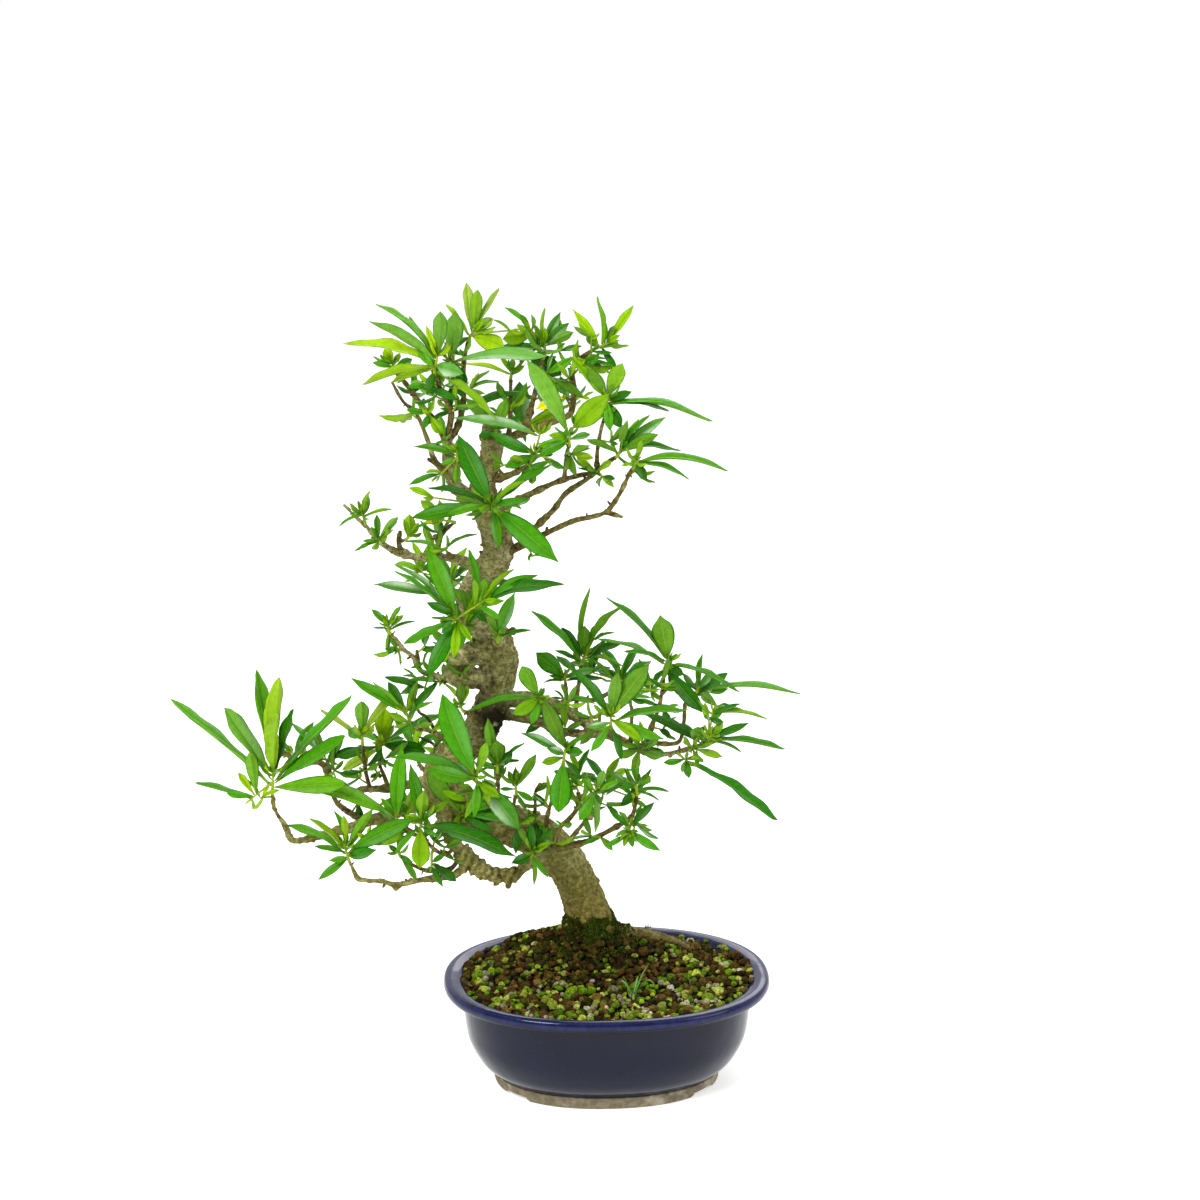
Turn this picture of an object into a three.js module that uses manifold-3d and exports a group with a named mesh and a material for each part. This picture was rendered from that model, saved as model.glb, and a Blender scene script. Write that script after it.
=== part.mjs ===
// Gardenia bonsai in an oval glazed pot, in millimetres, +Z up.
// The pot's long axis lies along X and its front faces -Y.
import * as THREE from "three";
import { mergeVertices } from "three/addons/utils/BufferGeometryUtils.js";
import Module from "manifold-3d";

const wasm = await Module();
wasm.setup();

// Pot
const POT_LENGTH = 200;
const POT_HEIGHT = 66;
const DEPTH_TO_LENGTH = 0.78;
const OVAL_POWER = 2.25;
const POT_SEGMENTS = 32;
const FLOOR_TOP = 12;
const DRAIN_RADIUS = 7;
const DRAIN_X = 38;
const FOOT_NOTCH = { x: 56, width: 14, height: 3.4 };

// Soil
const SOIL_EDGE = 62.5;
const MOUND_HEIGHT = 15.5;
const MOUND_CENTRE = { x: -6, y: 28 };
const MOUND_SPREAD = { x: 46, y: 30 };
const COLLAR = { height: 4.5, x: 2, y: 17, spreadX: 24, spreadY: 9 };
const GRAIN_RELIEF = 1.1;

// Fits between neighbouring pieces
const GAP = 0.35;

// Leaves and green stems
const BLADE_THICKNESS = 0.9;
const LEAF_LIFT = 0.12;
const LEAF_ARCH = 0.07;
const LEAST_WIDTH_TO_LENGTH = 0.2;
const STEM_RADIUS = 0.95;
const STEM_END_RADIUS = 0.6;
const SHOULDER = 1.3;
const BRANCHLET_RADIUS = 0.7;
const BUD_LENGTH = 1.2;
const BUD_RADIUS = 0.5;
const STEM_SIDES = 4;
const LEAF_SPACING = 1.1;
const LONGEST_FEET_SPAN = 9;
const FEET_BELOW = 0.4;
const TIP_DEPTHS = [0.22, -0.3, 0.05, 0.35, -0.12];
const BENDS = [0, 0.12, -0.12, 0.24, -0.24, 0.36, -0.36, 0.5, -0.5, 0.65, -0.65];
const LEAF_CLEARANCE = 0.3;
const LEAST_SEEN_WIDTH = 2.2;
const CROWDED_SHARE = 0.3;

// Points of the plant are given as a viewer sees them from EYE, standing in front of the pot: x and z
// where the sight line crosses the upright plane through the pot's centre, then the depth behind it.
// The viewer looks at the pot from a little to its side, VIEW_TURN round the upright axis.
const EYE = new THREE.Vector3(-4, -1430, 657);
const VIEW_TURN = THREE.MathUtils.degToRad(3.5);
const MIDDLE_DEPTH = 16;
const DEPTH_SPREAD = 1.5;

// Trunk from its buried end to its top: x, z, depth, radius
const TRUNK = [
  [-10, 92, 28, 16.5], [-14, 110, 28, 13.2], [-19, 124, 27, 12.2], [-27, 140, 26, 12.5],
  [-41, 153, 25, 12.8], [-58, 161, 24, 12.4], [-76, 166, 23, 12], [-90, 173, 22, 12],
  [-98, 185, 21, 12], [-97, 197, 20, 11.5], [-88, 207, 19, 10.6], [-77, 217, 18, 10],
  [-72, 228, 17, 10.4], [-68, 240, 16, 9.6], [-64, 252, 15, 9.2], [-62.5, 264, 15, 9.5],
  [-66, 275, 14, 9.4], [-73, 284, 14, 9], [-78, 293, 13, 8.6], [-79, 303, 13, 8.1],
  [-76, 312, 12, 8.3], [-69, 321, 12, 9], [-64, 330, 12, 9], [-65, 340, 12, 8.5],
  [-69, 351, 11, 8], [-72, 362, 11, 7.5], [-71, 374, 10, 7], [-68, 385, 10, 6.5],
  [-67, 395, 10, 6.4], [-68, 405, 10, 4.6],
];
const TRUNK_SIDES = 10;
const PEG_FOOT = { z: 52, radius: 12 };

// Limbs thin out quickly at first and then slowly, by this power
const LIMB_TAPER = 1.4;

// Roots, limbs and twigs: name, what it grows from, radius at each end, depth at its end, then points
// (x, z, and a depth where it doesn't run evenly). Each starts where it is nearest to what it grows from.
const LIMBS = [
  ["root_right", "trunk", 8, 2, 34, [[-8, 94], [10, 91], [23, 89.5], [33, 88], [43, 85], [51, 80]]],
  ["root_left", "trunk", 7.5, 2.2, 36, [[-16, 94], [-29, 89.5], [-42, 88.5], [-53, 87], [-62, 82]]],
  ["root_front", "trunk", 8, 4, 15, [[-10, 94], [-8, 88], [-4, 84]]],
  ["root_back", "trunk", 8, 2.4, 58, [[-12, 94], [-16, 92], [-22, 92], [-30, 90]]],
  ["burl", "trunk", 9, 6, 12, [[-66, 266], [-80, 268], [-92, 261]]],
  ["burl_bar", "burl", 5.4, 4.6, 15, [[-92, 260], [-88, 252], [-78, 251], [-66, 252]]],
  ["left_o", "trunk", 4, 2, 28, [[-98, 187], [-108, 188], [-120, 186], [-131, 183.5], [-144, 183.5],
    [-150, 182.5]]],
  ["o_twig_left", "left_o", 1.3, 1, 20, [[-142, 183.5], [-144.5, 194], [-145.5, 203], [-146, 211]]],
  ["o_twig_right", "left_o", 1.4, 1, 30, [[-131, 184], [-134, 193], [-136, 199], [-135.5, 206]]],
  ["left_n", "trunk", 5.6, 1.3, -10, [[-92, 176], [-110, 174], [-119, 172], [-128, 168], [-137, 165],
    [-145, 163], [-152, 159.5], [-168, 155], [-180, 152], [-190, 151], [-194, 160], [-200, 171],
    [-200.8, 180]]],
  ["n_fork", "left_n", 2.2, 1.1, 45, [[-146, 163], [-157, 170], [-163, 176], [-166, 186], [-167.5, 195]]],
  ["left_k", "trunk", 5.4, 3, 5, [[-98, 182], [-98, 171, 12], [-96, 158, 8], [-90, 147, 6], [-84, 138, 6],
    [-76, 131, 5], [-68, 129, 4], [-57, 128, 3], [-51, 133, 2], [-44, 137, 2], [-38, 141, 3],
    [-32, 146, 5]]],
  ["k_nub_left", "left_k", 3, 1.4, 5, [[-68, 129], [-67, 122]]],
  ["k_nub_right", "left_k", 2.6, 1.4, 4, [[-58, 128], [-60, 120.5]]],
  ["k_fork_up", "left_k", 2, 1.2, 0, [[-32, 146], [-29, 158], [-24, 163], [-19, 169], [-17, 174],
    [-17, 181]]],
  ["k_fork_side", "k_fork_up", 1.3, 1, -10, [[-17, 173], [-12, 174], [-9, 177]]],
  ["k_fork_right", "left_k", 2.2, 1.2, 0, [[-33, 146], [-19, 148], [-10, 151], [-2, 155], [5, 159],
    [10, 162], [15, 166], [17, 172], [18, 179]]],
  ["k_left", "left_k", 3, 1.2, -8, [[-84, 138], [-91, 129.5], [-102, 127], [-115, 125], [-127, 122.5],
    [-137, 124.5], [-150, 126], [-153, 131], [-155.5, 137]]],
  ["k_left_w", "left_k", 1.6, 1, 0, [[-88, 143], [-94, 133], [-105, 131], [-112, 132.5], [-119, 136],
    [-123.5, 139.5]]],
  ["k_left_thin", "left_k", 1.4, 0.9, -9, [[-91, 148], [-97, 142], [-104, 145], [-109, 151],
    [-112, 157]]],
  ["k_left_thin_fork", "k_left_thin", 1.1, 0.9, -5, [[-108, 150], [-116, 155], [-124.5, 162]]],
  ["low_twig_far", "trunk", 1.4, 0.9, 4, [[-64, 163], [-65, 176, 9], [-65, 186], [-65.5, 194]]],
  ["low_twig_mid", "trunk", 1.4, 0.9, 8, [[-55, 162], [-56, 172], [-54.5, 180]]],
  ["low_twig_stub", "trunk", 1.4, 0.8, 12, [[-44, 155], [-43, 172], [-43, 181], [-40, 187]]],
  ["low_twig_right", "trunk", 1.6, 0.9, -4, [[-36, 149], [-36, 164, 10], [-33, 176, 4], [-27, 193],
    [-26, 200]]],
  ["low_twig_front", "trunk", 2, 1.1, -27, [[-74, 166], [-71, 174, 6], [-74, 181, -10], [-77, 186]]],
  ["left_t", "trunk", 3, 1.2, 11, [[-86, 209], [-96, 215], [-101, 217], [-107, 220], [-113, 221],
    [-117, 226]]],
  ["t_twig_up", "left_t", 1.2, 0.8, 26, [[-101, 217], [-107, 228], [-112, 232], [-115, 243]]],
  ["t_twig_dead", "trunk", 1.6, 0.8, 24, [[-90, 204], [-100, 209], [-108, 215]]],
  ["trunk_sprig", "trunk", 1.8, 1, 2, [[-72, 229], [-80, 230], [-85, 232]]],
  ["left_q", "trunk", 3.2, 1.2, 17, [[-66, 250], [-86, 251], [-99, 253], [-109, 256], [-112, 260],
    [-115, 266], [-120, 270], [-124, 275], [-127.5, 279.5]]],
  ["q_stub", "left_q", 1.3, 1, 14, [[-112, 260], [-112.5, 269.5]]],
  ["right_big", "trunk", 5.6, 1.4, 0, [[-68, 240], [-45, 239], [-38, 237], [-29, 235], [-22, 231],
    [-12, 225], [-5, 220], [2, 217], [10, 213], [20, 208], [31, 205], [43, 207], [56, 211], [59, 213]]],
  ["right_under", "trunk", 4, 2.6, 8, [[-70, 230], [-55, 229.5], [-38, 225], [-33, 221], [-23, 219],
    [-12, 217.5], [-3, 219]]],
  ["r_fork", "right_big", 1.7, 1, 31, [[20, 208], [24, 213], [31, 212], [43, 213], [46, 225],
    [47, 237], [52, 242.5]]],
  ["r_up_a", "right_big", 1.5, 1, 25, [[-24, 232], [-24, 243], [-24.5, 249]]],
  ["r_up_b", "right_big", 1.4, 1, 39, [[-19, 229], [-17, 246], [-15, 260]]],
  ["r_up_stub", "right_big", 1.3, 0.9, 9, [[-5, 220], [-4, 230]]],
  ["r_up_bare", "right_big", 1.3, 0.9, 10, [[14, 211], [15, 231], [14, 237], [13, 245]]],
  ["r_front", "right_big", 1.5, 1.1, -17, [[2, 217], [2.5, 222]]],
  ["r_up_e4", "right_big", 1.5, 1, 15, [[23, 207], [27, 223], [31, 234], [33.5, 248], [34, 257]]],
  ["r_up_e4_side", "r_up_e4", 1.1, 0.8, 12, [[33, 243], [38, 248]]],
  ["spur_m_right", "trunk", 3, 2, 0, [[-65, 273], [-64.5, 275]]],
  ["spur_m_stub", "trunk", 2.6, 2, 14, [[-64, 280], [-54, 282]]],
  ["spur_m_front", "trunk", 3, 1.6, -12, [[-78, 290], [-84, 286], [-87, 287]]],
  ["stub_high", "trunk", 2.6, 1, 10, [[-74, 311], [-56, 311], [-48, 307]]],
  ["left_s", "trunk", 3.6, 1.1, 18, [[-70, 319], [-82, 323], [-92, 326], [-110, 326], [-117, 328],
    [-124, 330], [-132, 335], [-137, 341], [-142, 346], [-154, 358]]],
  ["s_stub_mid", "left_s", 1.9, 1.1, 14, [[-120, 329], [-122, 335], [-121, 342]]],
  ["s_twig_mid", "s_stub_mid", 1, 0.8, 12, [[-122, 335], [-118, 337]]],
  ["s_stub_near", "left_s", 1.9, 1.3, 12, [[-100, 326], [-99, 334], [-100.5, 339.5]]],
  ["s_twig_near", "s_stub_near", 1.3, 0.9, 10, [[-99, 333], [-95.5, 341.5], [-90, 346.5]]],
  ["s_thorn", "left_s", 1.6, 0.8, 8, [[-91, 326], [-94, 330]]],
  ["trunk_thorn", "trunk", 2.2, 0.7, 10, [[-65, 330], [-74, 334]]],
  ["front_thin", "trunk", 2, 1, -6, [[-63, 334], [-60, 341, 0], [-62, 347, -6], [-67, 356, -12],
    [-72, 364, -10], [-84, 380, -7], [-86, 383]]],
  ["left_crown", "trunk", 4.6, 3.4, 2, [[-70, 352], [-82, 363], [-90, 372], [-92, 384], [-93, 397]]],
  ["crown_dead", "left_crown", 2.6, 0.8, -3, [[-91, 374], [-97, 380], [-104, 385]]],
  ["crown_pale", "left_crown", 1.9, 0.8, 18, [[-91, 374], [-100, 384], [-104, 396], [-110, 411],
    [-118, 419], [-124, 430]]],
  ["crown_a", "left_crown", 2.2, 1.1, -5, [[-93, 396], [-90, 412], [-93, 419], [-96, 426], [-99, 434]]],
  ["crown_b", "left_crown", 2.2, 1.1, 10, [[-92, 396], [-87, 403], [-83, 418], [-82.5, 440],
    [-80, 453]]],
  ["crown_c", "left_crown", 2.4, 1.1, 10, [[-94, 396], [-99, 406], [-109, 419], [-116, 429],
    [-121, 435]]],
  ["crown_right", "trunk", 2.8, 1.3, 19, [[-67, 395], [-56, 398], [-42, 403], [-30, 407.5], [-21, 412],
    [-19, 426], [-20, 436], [-16, 443], [-9, 448]]],
  ["crown_up", "crown_right", 2, 1.1, 34, [[-48, 401], [-45, 411], [-42, 422], [-38, 437], [-36, 447]]],
  ["crown_left_up", "crown_right", 1.7, 1, 29, [[-57, 398], [-56, 412], [-55.5, 431]]],
  ["upper_spur", "trunk", 2.6, 1.4, -8, [[-71, 372], [-58, 375], [-48, 380], [-44, 384]]],
  ["spur_thorn", "upper_spur", 1.4, 0.8, 2, [[-60, 374.5], [-63, 379]]],
  ["right_upper", "trunk", 2.6, 1.3, 5, [[-70, 354], [-60, 357], [-45, 364], [-30, 371], [-17, 375],
    [-9, 376.5]]],
  ["right_upper_twig", "right_upper", 1.3, 1, -13, [[-25, 373], [-23.5, 387], [-22, 393]]],
  ["right_middle", "trunk", 2.4, 1.2, -1, [[-64, 329], [-52, 333], [-41, 345], [-31, 355],
    [-24, 364.5], [-11, 373.5], [0, 382.5], [5, 386]]],
  ["right_middle_up", "right_middle", 1.3, 0.9, 8, [[-6, 378], [-5.5, 390], [-3, 404], [0, 413]]],
  ["right_lower", "trunk", 2.2, 1.1, -5, [[-65, 328], [-54, 331], [-37, 340], [-20, 348], [-9, 350.5],
    [0, 354], [7, 363.5], [13, 376], [15, 379]]],
  ["lower_stub", "right_lower", 1.4, 0.9, -2, [[-1, 353.5], [9, 350.5]]],
  ["back_low_left", "trunk", 3.4, 1.1, 56, [[-84, 170], [-90, 175, 32], [-97, 180, 38], [-104, 190, 43],
    [-111, 197, 51], [-114, 204]]],
  ["back_low_right", "trunk", 3.4, 1.1, 58, [[-26, 138], [-26, 143, 35], [-22, 151, 43], [-13, 163, 45],
    [-7, 169, 53], [-2, 180]]],
  ["back_mid_right", "right_big", 2.8, 1.1, 54, [[-40, 238], [-30, 236, 26], [-20, 240, 34], [-8, 239, 42],
    [2, 244, 46], [8, 248]]],
  ["back_mid_left", "trunk", 3, 1.1, 50, [[-72, 282], [-78, 288, 25], [-80, 296, 32], [-87, 299, 40],
    [-90, 303, 46], [-91, 309]]],
];

// Leafy shoots: name, where its crown of leaves sits (x, z, depth), then its leaves. A leaf is the x and z
// of its tip, its seen width and its tone (y young, m grown, d dark, g glossy), and after that, where it
// needs them, how far its tip lies behind its foot for its length, and the x and z of its foot.
const SHOOTS = [
  ["shoot_top", [-77.5, 458, 10], [
    [-80.5, 487.5, 5.5, "m"], [-74, 483.5, 6, "y"], [-61.5, 484.5, 3, "m"], [-65.5, 467, 5, "m"],
    [-92.5, 475.5, 1.5, "y"], [-59, 450, 9, "y", 0.3], [-94.5, 449.5, 5, "g"]]],
  ["shoot_top_left", [-89, 442, 4], [
    [-87, 471, 10.5, "g", -0.1], [-34, 445, 7, "g", -0.2], [-83, 420, 9, "d", -0.3],
    [-81, 427.5, 5, "d"]]],
  ["shoot_crown_left", [-99, 438, -5], [
    [-152, 452.5, 6, "y"], [-137, 465.5, 6, "g"], [-133, 475.5, 3, "m"], [-104, 463, 4, "y"],
    [-95.5, 471, 8.5, "g", -0.2], [-113.5, 468.5, 2, "y"], [-141.5, 428.5, 5, "y"],
    [-125, 429.5, 5, "y", 0.4], [-82.5, 435, 9, "g", -0.5], [-63.5, 408.5, 4.5, "y", -0.5],
    [-104, 422, 5, "d", -0.6]]],
  ["shoot_crown_far", [-123, 439, 11], [
    [-128, 449.5, 6, "y"], [-135, 441.5, 3.5, "m"], [-119, 447, 3, "y"], [-112, 443.5, 5, "g", 0.5]]],
  ["shoot_crown_low", [-103, 411, 0], [
    [-99.5, 421.5, 2, "y"], [-106, 402.5, 4, "d", -0.5], [-95.5, 399.5, 6, "y", 0.6],
    [-116, 414, 4, "m", -0.4]]],
  ["shoot_crown_front", [-87, 386, -6], [
    [-113, 392.5, 4.5, "m"], [-79, 388.5, 4, "y"], [-97, 381.5, 3, "m"], [-88, 370, 5, "m", -0.2],
    [-92, 393, 3.5, "y"], [-115.5, 369.5, 3.5, "m", 0.1, -96.5, 376]]],
  ["shoot_crown_thin", [-55, 435, 30], [
    [-82, 441, 2, "y"], [-47, 440, 3, "y"], [-54, 444, 3, "y"], [-62, 446, 3, "y", 0.5]]],
  ["shoot_right_top", [-3, 451, 20], [
    [-20, 472.5, 5.5, "y"], [-5.5, 480, 2.5, "m"], [-2.5, 469.5, 3, "y"], [15.5, 474.5, 5, "y"],
    [4.5, 463, 4, "g"], [11.5, 451, 1, "m"], [-12, 457, 4, "d", -0.5], [5.5, 438.5, 4, "d", -0.4]]],
  ["shoot_middle_top", [-36, 452, 35], [
    [-35.5, 473.5, 2, "y"], [-26.5, 471, 6, "g"], [-42, 464, 3, "m"], [-21.5, 464.5, 6, "g", 0.1],
    [-19, 459, 6, "g", -0.4], [-60, 455, 9, "y", 0.1, -44, 457], [-59, 473.5, 3, "m", 0, -43.5, 460],
    [-26, 434, 12, "d", -0.3, -46, 446]]],
  ["shoot_centre_bright", [-22, 397, -15], [
    [-46, 443, 11, "g", -0.08], [2, 424, 13, "y", -0.12, -19.5, 403.5], [-39.5, 392.5, 5, "m"],
    [-41, 386, 5, "m", -0.5], [-9.5, 399.5, 4, "g"], [-34, 399, 4, "y"]]],
  ["shoot_centre_back", [-48, 404, 34], [
    [-50.5, 430.5, 12, "g", 0.1], [-22, 416.5, 6.5, "y", 0.3]]],
  ["shoot_centre_front", [-42, 388, -11], [
    [-69, 401, 7, "d", -0.3], [-59.5, 380, 6.5, "m", -0.1], [-33, 396, 4, "m", -0.3],
    [-90, 409.5, 6, "g", 0, -39, 399],
    [-67.5, 388.5, 3.5, "m", -0.3, -60.5, 381]]],
  ["shoot_upper_front", [-67, 357, -19], [
    [-86.5, 399.5, 12, "d", -0.1], [-114, 350, 8, "m", -0.15], [-94, 352, 5, "m", -0.5],
    [-63, 330, 6.5, "m", -0.2], [-28, 323, 13, "m", -0.1], [-32, 382, 5, "m", 0.1],
    [-105, 368, 4, "d", -0.2], [-115.5, 368, 4, "y", 0.2, -101, 362], [-47.5, 372.5, 3, "y", -0.2],
    [-46.5, 361, 5, "m", -0.5]]],
  ["shoot_yellow", [-96, 348.5, 6], [
    [-109, 360.5, 6, "y", -0.3], [-107.5, 347, 2.5, "y", -0.3], [-113, 343.5, 2, "m"],
    [-98, 361, 4, "y"]]],
  ["shoot_right_fan", [0, 419, 6], [
    [-22, 445.5, 6.5, "y"], [-12, 439, 8, "d", -0.2], [9, 441, 9.5, "y", -0.1], [14.5, 424.5, 5, "d"],
    [36.5, 413, 4, "m", 0.1], [62, 407, 3, "m", 0.2]]],
  ["shoot_right_mid", [8, 390, 0], [
    [34.5, 410, 6, "g"], [30, 399.5, 6.5, "m", -0.4], [43.5, 390, 3.5, "m"], [19, 409, 2.5, "y", 0.4],
    [25, 411, 3, "m", 0.1], [12, 408.5, 4, "g", -0.3], [-12, 396.5, 4, "d", -0.5]]],
  ["shoot_right_low", [17, 383, -8], [
    [71.5, 377.5, 4, "m", 0], [48.5, 372.5, 3.5, "m", 0.2], [23.5, 372, 5, "d", -0.3],
    [8.5, 381, 2, "y"]]],
  ["shoot_far_s", [-142.5, 351, 12], [
    [-145.5, 361, 2.5, "y"], [-138, 366.5, 2.5, "y"], [-141, 359.5, 4, "y", -0.4],
    [-125, 355.5, 2, "y"], [-148.5, 356.5, 2, "m", -0.5], [-157, 345, 1.5, "m"]]],
  ["shoot_mid_s", [-133.5, 336.5, 8], [
    [-134.5, 352, 4, "m"], [-122, 350.5, 4.5, "g"], [-143.5, 336, 2.5, "m"], [-148.5, 330, 2.5, "m"],
    [-124.5, 343.5, 2, "m", -0.5]]],
  ["shoot_near_s", [-116, 339, 12], [
    [-115.5, 352.5, 7, "y", -0.1], [-110, 347, 3, "y"], [-119, 350, 3, "y"]]],
  ["shoot_burl_front", [-89, 289, -17], [
    [-105, 331.5, 11, "m", -0.1], [-138, 310, 6, "g", 0.1, -103, 304], [-125.5, 318.5, 2.5, "m"],
    [-125.5, 322.5, 3, "g", 0.1], [-108.5, 317.5, 3, "m", -0.3], [-106.5, 299, 5, "d", -0.5],
    [-98, 280, 5, "d", -0.4], [-120.5, 273.5, 5.5, "m", 0.1], [-107, 252, 9, "d", -0.1],
    [-79.5, 274.5, 4, "y", -0.5], [-91, 264.5, 6, "y", -0.4], [-81, 331.5, 5, "m", 0.1, -75.5, 298],
    [-71.5, 314, 6, "m", -0.2, -75.5, 298], [-78, 313, 4, "y", -0.6, -75.5, 298],
    [-40, 315.5, 6, "m", -0.1, -75.5, 298], [-24.5, 310, 7, "d", -0.2, -75.5, 298],
    [-54, 320, 3, "y", 0.1, -75.5, 298], [-61, 288, 4, "m", -0.4, -75.5, 298]]],
  ["shoot_trunk_right", [-64.5, 278.5, -5], [
    [-54, 305.5, 8, "g", 0.1], [-70, 292, 4, "m", -0.4], [-44, 282.5, 2.5, "m"]]],
  ["shoot_q", [-129, 283, 17], [
    [-139, 295, 4, "m"], [-121.5, 297, 3, "m"], [-120, 291.5, 3, "m", -0.4], [-112.5, 288, 2, "m"],
    [-139, 283.5, 1.5, "m"], [-130.5, 268.5, 3, "m", 0.3]]],
  ["shoot_trunk_left", [-87, 235, 0], [
    [-87, 250.5, 6, "d", -0.2], [-82.5, 248.5, 5, "y", 0.4], [-99, 238.5, 3, "m", 0.2]]],
  ["shoot_e1", [-14, 264, 41], [
    [-10, 308.5, 4, "m", 0], [11, 298, 5, "m", -0.1], [-13, 285, 8, "m", -0.3], [-27, 284, 6, "d"],
    [-45, 294.5, 5, "m", 0.1], [11, 275, 5, "d", 0.2], [-31, 270, 3, "d"]]],
  ["shoot_e2", [-25, 252.5, 25], [
    [-42, 268.5, 11, "m", -0.2], [-35, 254.5, 2.5, "m"], [-38, 250, 1.5, "m"], [-7, 258.5, 5, "g"],
    [0, 252, 3.5, "d", 0.3]]],
  ["shoot_big_front", [-40, 240.5, -4], [
    [-50.5, 260, 9.5, "m", -0.2], [-84, 232.5, 4.5, "m", 0], [-56, 230, 8, "y", -0.3],
    [-45, 224, 6, "m", -0.4]]],
  ["shoot_e3", [2.5, 226, -20], [
    [-21.5, 260.5, 6, "d"], [25, 261, 12, "d", -0.2], [7, 257, 8, "g", -0.3], [49, 233.5, 5, "m"],
    [35, 214.5, 7, "m", -0.3], [22, 213, 6, "y", -0.6], [-9.5, 207, 5, "m"], [-13, 222, 4, "g"],
    [9, 201.5, 4.5, "d", -0.2]]],
  ["shoot_e4", [35, 261, 15], [
    [-1, 303, 3.5, "m", 0.1], [31.5, 291.5, 14, "m", -0.15], [46, 254.5, 6, "d"],
    [58, 231, 9, "d", -0.1], [79.5, 244, 3, "m"], [-6, 277, 2.5, "m"], [10, 269, 3, "m", -0.4]]],
  ["shoot_e5", [55, 245, 34], [
    [57, 268.5, 4, "m"], [72, 256, 6, "d", -0.2], [116.5, 243, 2.8, "m", 0], [72.5, 246, 6, "m", 0.3],
    [45, 256, 4, "g", 0.4]]],
  ["shoot_e7", [61, 215, -1], [
    [85.5, 225, 5, "d"], [107.5, 208.5, 3.5, "m", 0], [81, 206.5, 1.5, "m"], [50, 220, 8, "g", -0.6],
    [69.5, 225.5, 5, "y", -0.3], [96.5, 227.5, 2, "y", 0.2, 63, 231], [84, 232.5, 1.5, "m", 0.4, 63, 231],
    [80, 237, 3, "d", -0.1, 63, 231]]],
  ["shoot_e8", [47, 202, -9], [
    [103.5, 163.5, 6, "d", -0.1], [49.5, 190, 5, "m", -0.3], [34, 200, 4, "m", -0.3]]],
  ["shoot_f1", [-25.5, 203.5, -5], [
    [-38, 240.5, 10.5, "d", -0.15], [-11.5, 217, 3, "m"], [-14, 206.5, 6, "m", -0.4],
    [-36, 209, 5, "g", -0.4], [-52, 219, 5, "g", -0.1], [-29, 168.5, 13, "m", -0.25],
    [-39, 200, 5, "y", 0.2], [-15, 189.5, 4, "d", -0.4]]],
  ["shoot_f3", [-7, 181, -14], [
    [-15, 190.5, 3, "m"], [-1.5, 195.5, 5, "g"], [8, 188.5, 4, "m"], [-3, 173, 3, "m", -0.5],
    [-16.5, 163.5, 7, "m", -0.2], [-7, 155, 4, "g"]]],
  ["shoot_f4", [18, 184, 0], [
    [17.5, 206, 5, "m"], [26.5, 191.5, 6, "m", -0.5], [38, 182, 2.5, "m"], [32, 176, 1.5, "m"],
    [3, 186.5, 4, "m", -0.2], [1, 195, 4, "g"], [8.5, 173.5, 5, "d", -0.3]]],
  ["shoot_f5", [14, 158, -6], [
    [29, 175.5, 5, "d"], [33, 144, 5.5, "m"], [7.5, 169.5, 3, "d", -0.5], [16, 146, 4, "m", -0.3],
    [-1, 147, 3.5, "m", -0.4], [2, 170, 3.5, "m"]]],
  ["shoot_f6", [-54.5, 183, 7], [
    [-59, 195, 3.5, "y"], [-53, 195, 3, "y"], [-42, 205.5, 6, "m", -0.1], [-64, 183.5, 2.5, "m"],
    [-44, 176, 4, "m", -0.4], [-48, 170, 3, "m"]]],
  ["shoot_f7", [-65.5, 197, 3], [
    [-65.5, 214, 10, "d", -0.5], [-71, 228.5, 7, "m", -0.2], [-56, 208.5, 6, "d", 0.2],
    [-76, 200, 4, "m", -0.4], [-48.5, 213, 2, "m"]]],
  ["shoot_u", [-78, 189, -30], [
    [-98, 243, 15, "m", -0.08], [-131, 204, 6, "m", -0.1], [-52.5, 157.5, 12, "g", -0.12],
    [-72, 213, 6, "y", -0.2], [-108, 196.5, 10, "m", -0.35], [-64, 178, 6, "y", -0.3],
    [-80, 165, 6, "m", -0.4]]],
  ["shoot_p", [-119, 230, 10], [
    [-130, 250.5, 6, "d"], [-152.5, 253, 7, "m", 0.1], [-100, 250.5, 5, "d", 0.3],
    [-112, 252, 5, "d", -0.1], [-103, 238.5, 2.5, "m", -0.3], [-139.5, 251.5, 2, "m", -0.3]]],
  ["shoot_q1", [-146, 216, 20], [
    [-146, 238.5, 7.5, "g", -0.1], [-154.5, 221, 6, "g", -0.3], [-127.5, 242.5, 4.5, "m"],
    [-171, 233.5, 2.5, "m"], [-139, 222.5, 4, "m", -0.4]]],
  ["shoot_q2", [-135, 211, 30], [
    [-132, 234, 9.5, "y", 0.2], [-97.5, 231, 4, "g", 0.3], [-108, 207, 8, "d", 0.2],
    [-159, 195, 5, "m", -0.2], [-161, 203, 5, "d", 0.3]]],
  ["shoot_q3", [-168, 202, 46], [
    [-189, 225.5, 5, "g"], [-175.5, 222.5, 5, "d", -0.3], [-157, 218, 5, "d", 0.3],
    [-149.5, 210, 4.5, "d"], [-174.5, 226, 6.5, "m", 0.2, -188, 206], [-200, 217, 4, "m", 0.3, -188, 206],
    [-197, 205, 3, "m", -0.3, -188, 206]]],
  ["shoot_l", [-200.5, 188, -11], [
    [-208, 258.5, 7.5, "m", -0.05], [-194.5, 253.5, 8, "y", 0.1], [-228, 234.5, 8, "g", 0],
    [-260, 240, 3.5, "m", 0.05], [-196, 232, 6, "y", -0.25], [-202.5, 225, 6.5, "y", -0.4],
    [-151.5, 242.5, 3.5, "m", 0.05], [-186.5, 234, 5, "d"], [-156, 217, 7, "m", -0.15],
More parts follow.
